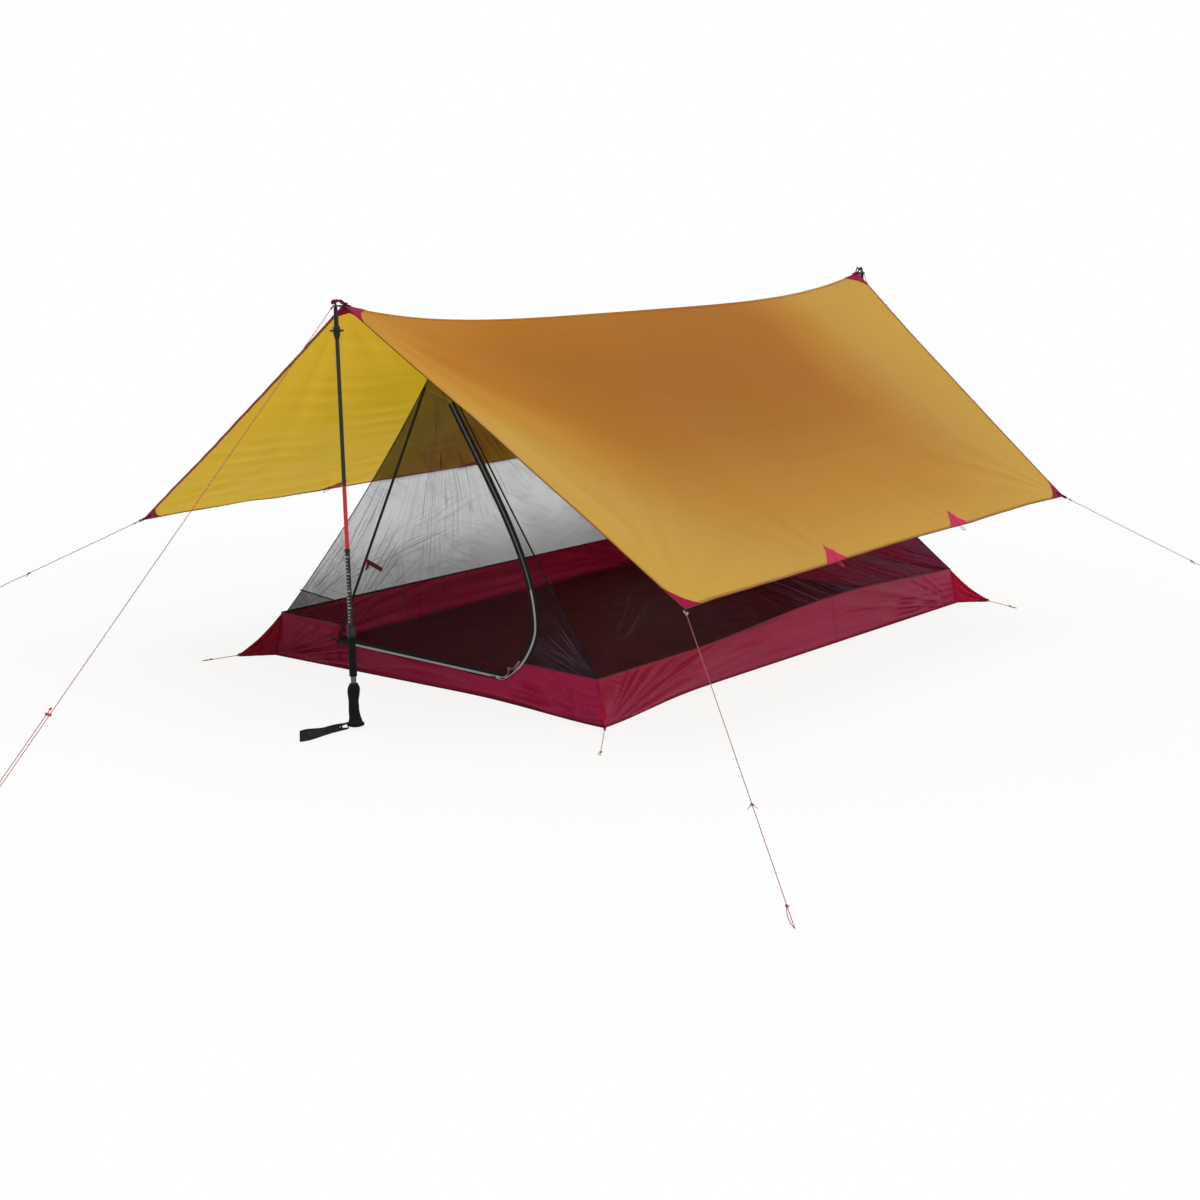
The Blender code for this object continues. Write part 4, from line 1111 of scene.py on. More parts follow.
@dataclass(frozen=True)
class ThinCloth:
    """Coated ripstop cloth."""

    name: str
    colour: tuple[float, float, float]
    pale: tuple[float, float, float]
    glow: tuple[float, float, float]
    through: float
    roughness: float = 0.52
    grid: float = 0.005
    crease_scale: float = 5.0
    crease_height: float = 0.006
    heading: float = 0.0
    sheen: float = 0.05
    gloss: float = 0.25
    relief: float = 0.55
    # Painted shade that the inner tent casts on the tarp, as a half tint and a full tint.
    painted_shade: tuple[tuple[float, float, float], tuple[float, float, float]] | None = None
    # Painted light and shade across a wall: the tint at its left and the tint at its right.
    painted_light_ramp: tuple[tuple[float, float, float], tuple[float, float, float]] | None = None

    def painted_shade_tint(self, sheet: MaterialSheet) -> Socket:
        """The painted shade of the inner tent on the tarp: a tint that darkens the cloth over the inner tent, most of
        all high up.

        Args:
            sheet: The material that is being made.

        Returns:
            A colour to multiply with, white where the cloth is plain.
        """
        b = sheet.board
        half, full = self.painted_shade
        across, along, up = b.split(sheet.object)
        drift = b.sum("MULTIPLY_ADD", b.noise(sheet.object, 1.6, 2.0), 0.24, -0.12)
        placed = b.sum("ADD", along, drift)
        slanted = b.sum("MULTIPLY_ADD", up, 1.2, b.sum("SUBTRACT", placed, 1.32))
        front = b.remap(slanted, -1.75, -1.05)
        rear = b.remap(placed, 0.42, 1.14, 1.0, 0.0)
        high = b.remap(up, 0.28, 1.00)
        crest = b.remap(up, 1.02, 1.16, 1.0, 0.72)
        right = b.sum("MULTIPLY", b.sum("MULTIPLY", front, rear), b.sum("MULTIPLY", high, crest))
        # Painted shade on the far wing, over its rear half.
        left = b.sum("MULTIPLY", b.remap(placed, -0.30, 0.20, 0.0, 0.5), rear)
        side = b.remap(across, -0.02, 0.02)
        share = b.sum("ADD", b.sum("MULTIPLY", right, side), b.sum("MULTIPLY", left, b.sum("SUBTRACT", 1.0, side)))
        first = b.blend(b.remap(share, 0.0, 0.5), (1.0, 1.0, 1.0, 1.0), rgba(half))
        return b.blend(b.remap(share, 0.4, 1.0), first, rgba(full))

    def make(self, effects: Effects) -> Material:
        """The cloth's material.

        Args:
            effects: The shared node groups.

        Returns:
            The new material.
        """
        sheet = MaterialSheet(self.name)
        b = sheet.board
        weave = b.group(effects.ripstop, Vector=sheet.cloth, Grid=self.grid)
        creases = b.group(effects.creases, Vector=sheet.cloth, Scale=self.crease_scale, Heading=self.heading)
        tone = b.remap(creases.outputs["Tone"], 0.3, 0.7)
        base = b.blend(tone, rgba(self.colour), rgba(self.pale))
        dark = tuple(c * 0.86 for c in self.colour)
        base = b.blend(b.sum("MULTIPLY", weave.outputs["Line"], 0.35), base, rgba(dark))
        # The cloth's colour and glow both take the painted shade tint, where there is one.
        painted_shade = None
        if self.painted_shade is not None:
            painted_shade = self.painted_shade_tint(sheet)
            base = b.vector("MULTIPLY", base, painted_shade)
        # Painted light and shade: darker on the left of the wall, lighter on its right.
        if self.painted_light_ramp is not None:
            parts = b.split(sheet.object)
            turn = b.remap(parts[0], -0.50, 0.45)
            base = b.vector("MULTIPLY", base, b.blend(turn, rgba(self.painted_light_ramp[0]), rgba(self.painted_light_ramp[1])))
        bent = sheet.relief(creases.outputs["Height"], self.crease_height, self.relief)
        normal = sheet.relief(weave.outputs["Height"], 0.00006, 0.5, bent)
        rough = b.sum("MULTIPLY_ADD", tone, 0.10, self.roughness - 0.05)
        sheet.set(Base_Color=base, Roughness=rough, Normal=normal, Sheen_Weight=self.sheen)
        sheet.shader.inputs["Sheen Roughness"].default_value = 0.5
        sheet.shader.inputs["Specular IOR Level"].default_value = self.gloss
        if self.through > 0:
            glow = b.blend(b.sum("MULTIPLY", weave.outputs["Line"], 0.25), rgba(self.glow), rgba(self.colour))
            if painted_shade is not None:
                glow = b.vector("MULTIPLY", glow, painted_shade)
            sheet.see_through(glow, self.through, bent)
        return sheet.material


@dataclass(frozen=True)
class NetFan:
    """Where folds spread over netting: a point, a heading and how far they go."""

    centre: tuple[float, float]
    heading: float
    spread: float
    reach: float
    count: float = 9.0
    strength: float = 0.2
    start: float = 0.04
    width: float = 0.034


@dataclass(frozen=True)
class Netting:
    """Fine knitted netting, seen through as a grey veil."""

    name: str
    fans: tuple[NetFan, ...] = ()
    cover: float = 0.185
    fold: float = 0.045
    heading: float = 0.6
    width: float = 0.012
    # Painted shadow: extra cover low down, which fades out between two heights.
    low: float = 0.0
    painted_shadow_heights: tuple[float, float] = (0.12, 0.46)
    doubled: tuple[float, float, float] | None = None
    # Painted shade above a height, where the far wing is seen through the netting: extra cover and a dark red colour.
    top: tuple[float, float, float] | None = None
    painted_shade_colour: tuple[float, float, float] = (0.060, 0.012, 0.016)
    colour: tuple[float, float, float] = (0.011, 0.011, 0.012)
    # The colour of painted sheen on the folds.
    painted_sheen: tuple[float, float, float] = (0.016, 0.015, 0.018)

    def make(self, effects: Effects) -> Material:
        """The netting's material.

        Args:
            effects: The shared node groups.

        Returns:
            The new material.
        """
        sheet = MaterialSheet(self.name)
        b = sheet.board
        streaks = b.group(effects.streaks, Vector=sheet.cloth, Heading=self.heading, Width=self.width)
        threads = b.group(effects.threads, Vector=sheet.cloth)
        alpha = b.sum("MULTIPLY_ADD", threads.outputs["Cover"], self.cover * 0.8, self.cover * 0.62)
        alpha = b.sum("MULTIPLY_ADD", streaks.outputs["Mask"], self.fold, alpha)
        soft = b.remap(b.noise(sheet.cloth, 9.0, 3.0, 0.4), 0.35, 0.7, -0.012, 0.016)
        alpha = b.sum("ADD", alpha, soft)
        folded: object = b.sum("MULTIPLY", streaks.outputs["Mask"], 0.4)
        for fan in self.fans:
            folds = b.group(
                effects.fan, Vector=sheet.cloth, Centre=(*fan.centre, 0.0), Heading=fan.heading, Spread=fan.spread,
                Start=fan.start, Reach=fan.reach, Count=fan.count, Width=fan.width,
            )
            alpha = b.sum("MULTIPLY_ADD", folds.outputs["Mask"], fan.strength, alpha)
            folded = b.sum("MAXIMUM", folded, folds.outputs["Mask"])
        # Painted shadow: denser netting low down, for the shaded floor seen through it.
        if self.low > 0:
            parts = b.split(sheet.object)
            alpha = b.sum("ADD", alpha, b.remap(parts[2], *self.painted_shadow_heights, self.low, 0.0))
        # Painted shade: above a height the netting is denser, where the far wing shows through it.
        if self.top is not None:
            parts = b.split(sheet.object)
            first, last, cover = self.top
            above = b.remap(parts[2], first, last)
            alpha = b.sum("MULTIPLY_ADD", above, cover, alpha)
        if self.doubled is not None:
            height, slope, cover = self.doubled
            flat = b.split(sheet.cloth)
            line = b.sum("MULTIPLY_ADD", flat[0], slope, height)
            under = b.remap(b.sum("SUBTRACT", line, flat[1]), -0.001, 0.001)
            alpha = b.sum("MULTIPLY_ADD", under, cover, alpha)
        alpha = b.sum("MINIMUM", alpha, 0.97)
        tone = b.blend(b.noise(sheet.object, 4.0, 2.0), rgba(self.colour), rgba([c * 1.8 for c in self.colour]))
        # Painted sheen: the folds and streaks take a lighter colour.
        tone = b.blend(folded, tone, rgba(self.painted_sheen))
        # Painted shade colour above that height.
        if self.top is not None:
            tone = b.blend(above, tone, rgba(self.painted_shade_colour))
        sheet.set(Base_Color=tone, Roughness=0.8, Alpha=alpha)
        sheet.shader.inputs["Specular IOR Level"].default_value = 0.06
        return sheet.material


@dataclass(frozen=True)
class Woven:
    """Webbing or tape."""

    name: str
    colour: tuple[float, float, float]
    pale: tuple[float, float, float]
    pitch: float = 0.0016
    roughness: float = 0.8
    gloss: float = 0.12

    def make(self, effects: Effects) -> Material:
        """The webbing's material.

        Args:
            effects: The shared node groups.

        Returns:
            The new material.
        """
        sheet = MaterialSheet(self.name)
        b = sheet.board
        ribs = b.group(effects.twill, Vector=sheet.cloth, Pitch=self.pitch)
        # Painted light and shade of the ribs: paler on their crests and darker between them, with a random change of
        # tone.
        light = b.sum("MULTIPLY", ribs.outputs["Height"], b.remap(ribs.outputs["Shade"], 0.85, 1.15))
        base = b.blend(light, rgba(self.colour), rgba(self.pale))
        sheet.set(Base_Color=base, Roughness=self.roughness)
        sheet.shader.inputs["Specular IOR Level"].default_value = self.gloss
        sheet.set(Normal=sheet.relief(ribs.outputs["Height"], 0.00025, 0.8))
        return sheet.material


@dataclass(frozen=True)
class Line:
    """Braided cord, with or without reflective flecks."""

    name: str
    colour: tuple[float, float, float]
    fleck: tuple[float, float, float]
    pitch: float = 0.004

    def make(self, effects: Effects) -> Material:
        """The cord's material.

        Args:
            effects: The shared node groups.

        Returns:
            The new material.
        """
        sheet = MaterialSheet(self.name)
        b = sheet.board
        braid = b.group(effects.braid, Vector=sheet.cloth, Pitch=self.pitch)
        # Painted shade between the strands: the braid's low places are darker.
        dark = tuple(c * 0.55 for c in self.colour)
        base = b.blend(b.remap(braid.outputs["Height"], 0.0, 0.5), rgba(dark), rgba(self.colour))
        base = b.blend(braid.outputs["Fleck"], base, rgba(self.fleck))
        rough = b.sum("MULTIPLY_ADD", braid.outputs["Fleck"], -0.4, 0.7)
        sheet.set(Base_Color=base, Roughness=rough)
        sheet.set(Normal=sheet.relief(braid.outputs["Height"], 0.0003, 0.9))
        return sheet.material


@dataclass(frozen=True)
class Hard:
    """Plastic or metal with rubbed marks."""

    name: str
    colour: tuple[float, float, float]
    worn: tuple[float, float, float]
    roughness: float = 0.42
    metallic: float = 0.0
    scale: float = 160.0
    coat: float = 0.0
    gloss: float = 0.5

    def make(self, effects: Effects) -> Material:
        """The piece's material.

        Args:
            effects: The shared node groups.

        Returns:
            The new material.
        """
        sheet = MaterialSheet(self.name)
        b = sheet.board
        scuffs = b.group(effects.scuffs, Vector=sheet.object, Scale=self.scale)
        base = b.blend(b.sum("MULTIPLY", scuffs.outputs["Mask"], 0.5), rgba(self.colour), rgba(self.worn))
        rough = b.sum("MULTIPLY_ADD", scuffs.outputs["Cloud"], 0.25, self.roughness - 0.12)
        rough = b.sum("ADD", rough, b.sum("MULTIPLY", scuffs.outputs["Mask"], 0.12))
        sheet.set(Base_Color=base, Roughness=rough, Metallic=self.metallic, Coat_Weight=self.coat)
        sheet.shader.inputs["Specular IOR Level"].default_value = self.gloss
        sheet.set(Normal=sheet.relief(scuffs.outputs["Cloud"], 0.0002, 0.35))
        return sheet.material


@dataclass(frozen=True)
class Foam:
    """Soft closed-cell foam."""

    name: str
    colour: tuple[float, float, float] = (0.008, 0.008, 0.0085)

    def make(self, effects: Effects) -> Material:
        """The foam's material.

        Args:
            effects: The shared node groups.

        Returns:
            The new material.
        """
        sheet = MaterialSheet(self.name)
        b = sheet.board
        cells = b.group(effects.cells, Vector=sheet.object)
        scuffs = b.group(effects.scuffs, Vector=sheet.object, Scale=60.0)
        pale = tuple(c * 3.2 for c in self.colour)
        base = b.blend(b.sum("MULTIPLY", scuffs.outputs["Mask"], 0.6), rgba(self.colour), rgba(pale))
        sheet.set(Base_Color=base, Roughness=0.88)
        sheet.shader.inputs["Specular IOR Level"].default_value = 0.14
        sheet.set(Normal=sheet.relief(cells.outputs["Height"], 0.0006, 0.7))
        return sheet.material


@dataclass(frozen=True)
class Shaft:
    """Anodised tube, with a coloured band or scale marks by its height."""

    name: str
    colour: tuple[float, float, float]
    mark: tuple[float, float, float]
    metallic: float = 0.6
    roughness: float = 0.3
    band: tuple[float, float] | None = None
    scale_marks: tuple[float, float] | None = None

    def band_mask(self, board: Board, height: Socket, low: float, high: float) -> Socket:
        """1 between two heights and 0 outside them.

        Args:
            board: The material's nodes.
            height: The height on the tube.
            low: The lower height.
            high: The upper height.

        Returns:
            The mask.
        """
        above = board.remap(height, low - 0.0002, low + 0.0002)
        below = board.remap(height, high - 0.0002, high + 0.0002, 1.0, 0.0)
        return board.sum("MULTIPLY", above, below)

    def marks_mask(self, board: Board, around: Socket, height: Socket) -> Socket:
        """Short scale marks each centimetre and long ones each five, on one side of the tube.

        Args:
            board: The material's nodes.
            around: The share of a turn round the tube.
            height: The height on the tube.

        Returns:
            The mask.
        """
        result = None
        for step, width, reach in ((0.01, 0.26, 0.15), (0.05, 0.070, 0.24)):
            turns = board.sum("FRACT", board.sum("DIVIDE", height, step))
            line = board.remap(turns, width, width * 1.3, 1.0, 0.0)
            side = board.sum("ABSOLUTE", board.sum("SUBTRACT", board.sum("FRACT", board.sum("ADD", around, 0.80)), 0.5))
            near = board.remap(side, reach, reach * 1.06, 1.0, 0.0)
            here = board.sum("MULTIPLY", line, near)
            result = here if result is None else board.sum("MAXIMUM", result, here)
        low, high = self.scale_marks
        return board.sum("MULTIPLY", result, self.band_mask(board, height, low, high))

    def make(self, effects: Effects) -> Material:
        """The tube's material.

        Args:
            effects: The shared node groups.

        Returns:
            The new material.
        """
        sheet = MaterialSheet(self.name)
        b = sheet.board
        scuffs = b.group(effects.scuffs, Vector=sheet.object, Scale=220.0)
        parts = b.split(sheet.cloth)
        worn = tuple(min(1.0, c * 2.2 + 0.02) for c in self.colour)
        base = b.blend(b.sum("MULTIPLY", scuffs.outputs["Mask"], 0.5), rgba(self.colour), rgba(worn))
        metallic: object = self.metallic
        mask = None
        if self.band is not None:
            mask = self.band_mask(b, parts[1], *self.band)
        if self.scale_marks is not None:
            mask = self.marks_mask(b, parts[0], parts[1])
        if mask is not None:
            base = b.blend(mask, base, rgba(self.mark))
            metallic = b.sum("MULTIPLY", b.sum("SUBTRACT", 1.0, mask), self.metallic)
        rough = b.sum("MULTIPLY_ADD", scuffs.outputs["Cloud"], 0.22, self.roughness - 0.1)
        sheet.set(Base_Color=base, Roughness=rough, Metallic=metallic)
        sheet.set(Normal=sheet.relief(scuffs.outputs["Cloud"], 0.0001, 0.3))
        return sheet.material


class Finishes:
    """Every finish of the shelter and its poles."""

    def __init__(self, effects: Effects) -> None:
        """Make each material once.

        Args:
            effects: The shared node groups.
        """
        # The tarp carries painted shade where the inner tent stands below it.
        self.tarp = ThinCloth(
            "amber ripstop", (0.505, 0.292, 0.096), (0.530, 0.314, 0.106), (0.97, 0.82, 0.094), 0.56, heading=0.25,
            painted_shade=((0.98, 0.85, 0.44), (0.91, 0.665, 0.115)), sheen=0.03, gloss=0.20
        ).make(effects)
        self.hem = ThinCloth(
            "amber hem, three layers", (0.40, 0.150, 0.020), (0.44, 0.17, 0.026), (0.60, 0.30, 0.03), 0.30, grid=0.004
        ).make(effects)
        self.patch = ThinCloth(
            "crimson reinforcement", (0.330, 0.006, 0.050), (0.39, 0.009, 0.066), (0.75, 0.02, 0.06), 0.22,
            grid=0.004, crease_scale=16.0, crease_height=0.003, sheen=0.0, gloss=0.05
        ).make(effects)
        self.tieout = ThinCloth(
            "rose reinforcement", (0.60, 0.014, 0.090), (0.68, 0.024, 0.120), (0.80, 0.04, 0.12), 0.28,
            grid=0.004, crease_scale=18.0, crease_height=0.002, sheen=0.0, gloss=0.16
        ).make(effects)
        self.wall = ThinCloth(
            "crimson wall cloth", (0.330, 0.011, 0.070), (0.385, 0.018, 0.094), (0.90, 0.060, 0.320), 0.32,
            roughness=0.42, crease_scale=9.0, crease_height=0.006, heading=0.1, sheen=0.0, gloss=0.20, relief=0.8
        ).make(effects)
        # The front wall's copy of the wall cloth carries painted light and shade from left to right.
        self.front_wall = ThinCloth(
            "crimson wall cloth, front", (0.330, 0.010, 0.060), (0.390, 0.016, 0.084), (0.80, 0.030, 0.170), 0.32,
            roughness=0.42, crease_scale=10.0, crease_height=0.006, heading=0.2, sheen=0.0, gloss=0.18, relief=0.8,
            painted_light_ramp=((0.72, 0.62, 0.66), (1.52, 1.72, 1.86))
        ).make(effects)
        # The corner cloth in two copies: this darker one, with painted shade, for the left ears, and a brighter one,
        # with painted light, for the right ears.
        self.ear = ThinCloth(
            "crimson corner cloth", (0.24, 0.005, 0.024), (0.29, 0.008, 0.034), (0.50, 0.015, 0.04), 0.20,
            roughness=0.55, crease_scale=20.0, crease_height=0.003, sheen=0.0, gloss=0.14
        ).make(effects)
        self.bright_ear = ThinCloth(
            "crimson corner cloth, bright", (0.39, 0.010, 0.070), (0.45, 0.014, 0.086), (0.88, 0.03, 0.16), 0.34,
            roughness=0.55, crease_scale=20.0, crease_height=0.003, sheen=0.0, gloss=0.14
        ).make(effects)
        self.floor = ThinCloth(
            "dark floor cloth", (0.070, 0.0014, 0.028), (0.096, 0.0022, 0.038), (0.0, 0.0, 0.0), 0.0,
            roughness=0.62, crease_scale=6.0, crease_height=0.010, sheen=0.0, gloss=0.05
        ).make(effects)
        self.net_left = Netting("netting, front left", (
            NetFan((-0.67, 0.08), 0.86, 0.34, 0.60, 16.0, 0.46),
            NetFan((0.0, 1.00), -2.12, 0.16, 1.00, 9.0, 0.26, 0.10),
            NetFan((-0.30, 0.30), 2.3, 0.5, 0.25, 12.0, 0.22),
        ), heading=0.9, doubled=(0.1790, -0.0952, 0.24)).make(effects)
        self.net_side = Netting("netting, rear side", (
            NetFan((-1.05, 0.99), -0.66, 0.40, 1.70, 22.0, 0.34, 0.15),
            NetFan((-1.05, 0.99), -0.54, 0.30, 3.60, 34.0, 0.34, 1.15, 0.11),
            NetFan((-1.06, 0.0), 0.5, 0.4, 0.60, 16.0, 0.22),
            NetFan((1.02, -0.02), 2.85, 0.40, 1.10, 24.0, 0.22, 0.10),
        ), heading=0.35, width=0.016, colour=(0.021, 0.012, 0.020), painted_sheen=(0.120, 0.056, 0.150)).make(effects)
        # The far netting carries painted shadow low down and painted shade above the far eave's height.
        self.net_far = Netting("netting, far side", (
            NetFan((-1.06, 0.0), 0.55, 0.4, 0.90, 20.0, 0.22),
            NetFan((-1.05, 0.97), -0.75, 0.40, 1.20, 20.0, 0.20, 0.10),
        ), heading=0.35, width=0.016, low=0.28, top=(0.600, 0.632, 0.30)).make(effects)
        self.net_door = Netting("netting, door", (
            NetFan((-0.43, 0.04), 1.00, 0.42, 0.62, 18.0, 0.42),
            NetFan((-0.05, 0.02), 1.62, 0.50, 0.50, 18.0, 0.24),
            NetFan((0.36, 0.08), 2.5, 0.45, 0.36, 14.0, 0.24),
            NetFan((0.02, 0.96), -1.75, 0.30, 0.80, 14.0, 0.22, 0.10),
        ), heading=1.3, colour=(0.032, 0.021, 0.029), painted_sheen=(0.058, 0.040, 0.056)).make(effects)
        # The front right netting carries painted shadow low down and painted sheen on its folds.
        self.net_right = Netting("netting, front right", (
            NetFan((0.34, 0.20), -0.30, 0.60, 0.42, 15.0, 0.30, 0.03, 0.05),
            NetFan((0.66, 0.10), 2.50, 0.45, 0.42, 14.0, 0.34),
        ), cover=0.24, heading=2.5, low=0.26, painted_shadow_heights=(0.12, 0.36), colour=(0.020, 0.013, 0.019),
            painted_sheen=(0.125, 0.092, 0.130)).make(effects)
        self.black_webbing = Woven("black webbing", (0.012, 0.012, 0.013), (0.045, 0.045, 0.047)).make(effects)
        self.red_webbing = Woven("dark red webbing", (0.15, 0.008, 0.020), (0.30, 0.018, 0.040)).make(effects)
        self.red_edge = Woven("red edging", (0.24, 0.014, 0.022), (0.38, 0.030, 0.040)).make(effects)
        self.rose_webbing = Woven("rose webbing", (0.52, 0.030, 0.090), (0.74, 0.080, 0.160)).make(effects)
        self.brown_webbing = Woven("dark wine webbing", (0.070, 0.010, 0.028), (0.170, 0.030, 0.070)).make(effects)
        self.dusky_tape = Woven("dusky rose tape", (0.120, 0.034, 0.052), (0.200, 0.070, 0.090), 0.0010).make(effects)
        self.hem_edge = Woven("brown hem edge", (0.210, 0.056, 0.010), (0.300, 0.085, 0.016)).make(effects)
        self.zip_tape = Woven("black zip tape", (0.010, 0.010, 0.011), (0.030, 0.030, 0.032), 0.0012).make(effects)
        self.seam_tape = Woven("black seam tape", (0.010, 0.010, 0.011), (0.028, 0.028, 0.030), 0.0010).make(effects)
        self.guy = Line("rose guy cord", (0.40, 0.050, 0.052), (0.58, 0.48, 0.47)).make(effects)
        self.stake = Line("pale rose stake cord", (0.50, 0.17, 0.17), (0.70, 0.62, 0.60), 0.003).make(effects)
        self.pull = Line("red and white pull cord", (0.78, 0.30, 0.40), (0.94, 0.92, 0.92), 0.0026).make(effects)
        self.amber_thread = Hard("amber thread", (0.50, 0.24, 0.04), (0.60, 0.34, 0.08), 0.62).make(effects)
        self.red_thread = Hard("crimson thread", (0.20, 0.006, 0.02), (0.28, 0.02, 0.05), 0.62).make(effects)
        self.black_thread = Hard("black thread", (0.03, 0.03, 0.03), (0.07, 0.07, 0.07), 0.62).make(effects)
        self.coil = Hard("grey zip coil", (0.55, 0.57, 0.63), (0.62, 0.64, 0.68), 0.42, gloss=0.3).make(effects)
        # A darker copy of the coil's grey, as painted shade for the zip's upper run.
        self.dark_coil = Hard(
            "dark grey zip coil", (0.26, 0.26, 0.27), (0.36, 0.36, 0.37), 0.45, gloss=0.2
        ).make(effects)
        self.metal = Hard("grey anodised metal", (0.42, 0.42, 0.44), (0.62, 0.62, 0.63), 0.34, 1.0).make(effects)
        self.carbide = Hard("dark tip metal", (0.10, 0.10, 0.105), (0.30, 0.30, 0.30), 0.32, 1.0).make(effects)
        self.red_plastic = Hard("red moulded plastic", (0.50, 0.03, 0.02), (0.70, 0.20, 0.16), 0.42).make(effects)
        self.black_plastic = Hard(
            "black moulded plastic", (0.010, 0.010, 0.011), (0.05, 0.05, 0.05), 0.46, gloss=0.24
        ).make(effects)
        self.lever = Hard(
            "black lever plastic", (0.012, 0.012, 0.013), (0.07, 0.07, 0.07), 0.38, coat=0.08, gloss=0.30
        ).make(effects)
        self.foam = Foam("black foam").make(effects)
        self.effects = effects

    def lower_shaft(self, band: tuple[float, float]) -> Material:
        """The tube with the red band, which lies between two heights."""
        finish = Shaft("dark tube with red band", (0.012, 0.012, 0.014), (0.60, 0.010, 0.022), 0.35, 0.34, band=band)
        return finish.make(self.effects)

    def middle_shaft(self, marks: tuple[float, float]) -> Material:
        """The tube with the scale marks, which lie between two heights.

        Args:
            marks: The heights of the lowest and the highest mark.

        Returns:
            The new material.
        """
        finish = Shaft(
            "black tube with scale marks", (0.008, 0.008, 0.009), (0.34, 0.32, 0.31), 0.30, 0.36, scale_marks=marks
        )
        return finish.make(self.effects)

    def upper_shaft(self) -> Material:
        """The bare grey tube."""
        return Shaft("dark grey tube", (0.100, 0.100, 0.104), (0.3, 0.3, 0.3), 0.80, 0.34).make(self.effects)


# What repeats along seams


class SeamBeads:
    """Sets small beads along paths: stitches, or the turns of a zip's coil."""

    def __init__(self) -> None:
        """Build the tree, with inputs for pitch, size and material."""
        self.tree = bpy.data.node_groups.new("beads along a seam", "GeometryNodeTree")
        self.tree.is_modifier = True
        ports = self.tree.interface
        ports.new_socket(name="Geometry", in_out="INPUT", socket_type="NodeSocketGeometry")
        self.keys = {}
        kinds = {"Pitch": "NodeSocketFloat", "Size": "NodeSocketVector", "Material": "NodeSocketMaterial"}
        for key, kind in kinds.items():
            self.keys[key] = ports.new_socket(name=key, in_out="INPUT", socket_type=kind).identifier
        ports.new_socket(name="Geometry", in_out="OUTPUT", socket_type="NodeSocketGeometry")
        add = self.tree.nodes.new
        link = self.tree.links.new
        given = add("NodeGroupInput").outputs
        curve = add("GeometryNodeMeshToCurve")
        spaced = add("GeometryNodeResampleCurve")
        spaced.mode = "LENGTH"
        bead = add("GeometryNodeMeshIcoSphere")
        bead.inputs["Subdivisions"].default_value = 1
        bead.inputs["Radius"].default_value = 0.5
        facing = add("GeometryNodeInputNamedAttribute")
        facing.data_type = "FLOAT_VECTOR"
        facing.inputs["Name"].default_value = "facing"
        way = add("GeometryNodeInputTangent")
        turn = add("FunctionNodeAxesToRotation")
        turn.primary_axis = "X"
        turn.secondary_axis = "Z"
        placed = add("GeometryNodeInstanceOnPoints")
        real = add("GeometryNodeRealizeInstances")
        dressed = add("GeometryNodeSetMaterial")
        finished = add("NodeGroupOutput").inputs
        link(given["Geometry"], curve.inputs["Mesh"])
        link(curve.outputs["Curve"], spaced.inputs["Curve"])
        link(given["Pitch"], spaced.inputs["Length"])
        link(spaced.outputs["Curve"], placed.inputs["Points"])
        link(bead.outputs["Mesh"], placed.inputs["Instance"])
        link(way.outputs["Tangent"], turn.inputs["Primary Axis"])
        link(facing.outputs["Attribute"], turn.inputs["Secondary Axis"])
        link(turn.outputs["Rotation"], placed.inputs["Rotation"])
        link(given["Size"], placed.inputs["Scale"])
        link(placed.outputs["Instances"], real.inputs["Geometry"])
        link(real.outputs["Geometry"], dressed.inputs["Geometry"])
        link(given["Material"], dressed.inputs["Material"])
        link(dressed.outputs["Geometry"], finished["Geometry"])

    def make(
        self,
        name: str,
        seams: Sequence[tuple[Array, Array]],
        pitch: float,
        size: tuple[float, float, float],
        material: Material,
    ) -> Piece:
        """The beads of several seams as one plain mesh.

        Args:
            name: The piece's name.
            seams: For each seam, its points and the way the cloth faces there.
            pitch: From one bead to the next.
            size: A bead's length, width and height.
            material: Its finish.

        Returns:
            The new object.
        """
        points: list[Array] = []
        facings: list[Array] = []
        edges: list[tuple[int, int]] = []
        total = 0
        for path, facing in seams:
            points.append(path)
            facings.append(np.broadcast_to(facing, path.shape))
            edges += [(total + i, total + i + 1) for i in range(len(path) - 1)]
            total += len(path)
        mesh = bpy.data.meshes.new(name + "_line")
        mesh.from_pydata(np.vstack(points).tolist(), edges, [])
        store = mesh.attributes.new("facing", "FLOAT_VECTOR", "POINT")
        store.data.foreach_set("vector", np.vstack(facings).astype(np.float32).ravel())
        guide = bpy.data.objects.new(name + "_line", mesh)
        bpy.context.scene.collection.objects.link(guide)
        modifier = guide.modifiers.new("Beads", "NODES")
        modifier.node_group = self.tree
        modifier[self.keys["Pitch"]] = pitch
        modifier[self.keys["Size"]] = size
        modifier[self.keys["Material"]] = material
        bpy.context.view_layer.update()
        graph = bpy.context.evaluated_depsgraph_get()
        made = bpy.data.meshes.new_from_object(guide.evaluated_get(graph), depsgraph=graph)
        bpy.data.objects.remove(guide)
        made.name = name
        made.shade_smooth()
        piece = bpy.data.objects.new(name, made)
        bpy.context.scene.collection.objects.link(piece)
        return piece


# Folds of taut cloth, as heights over its flat form


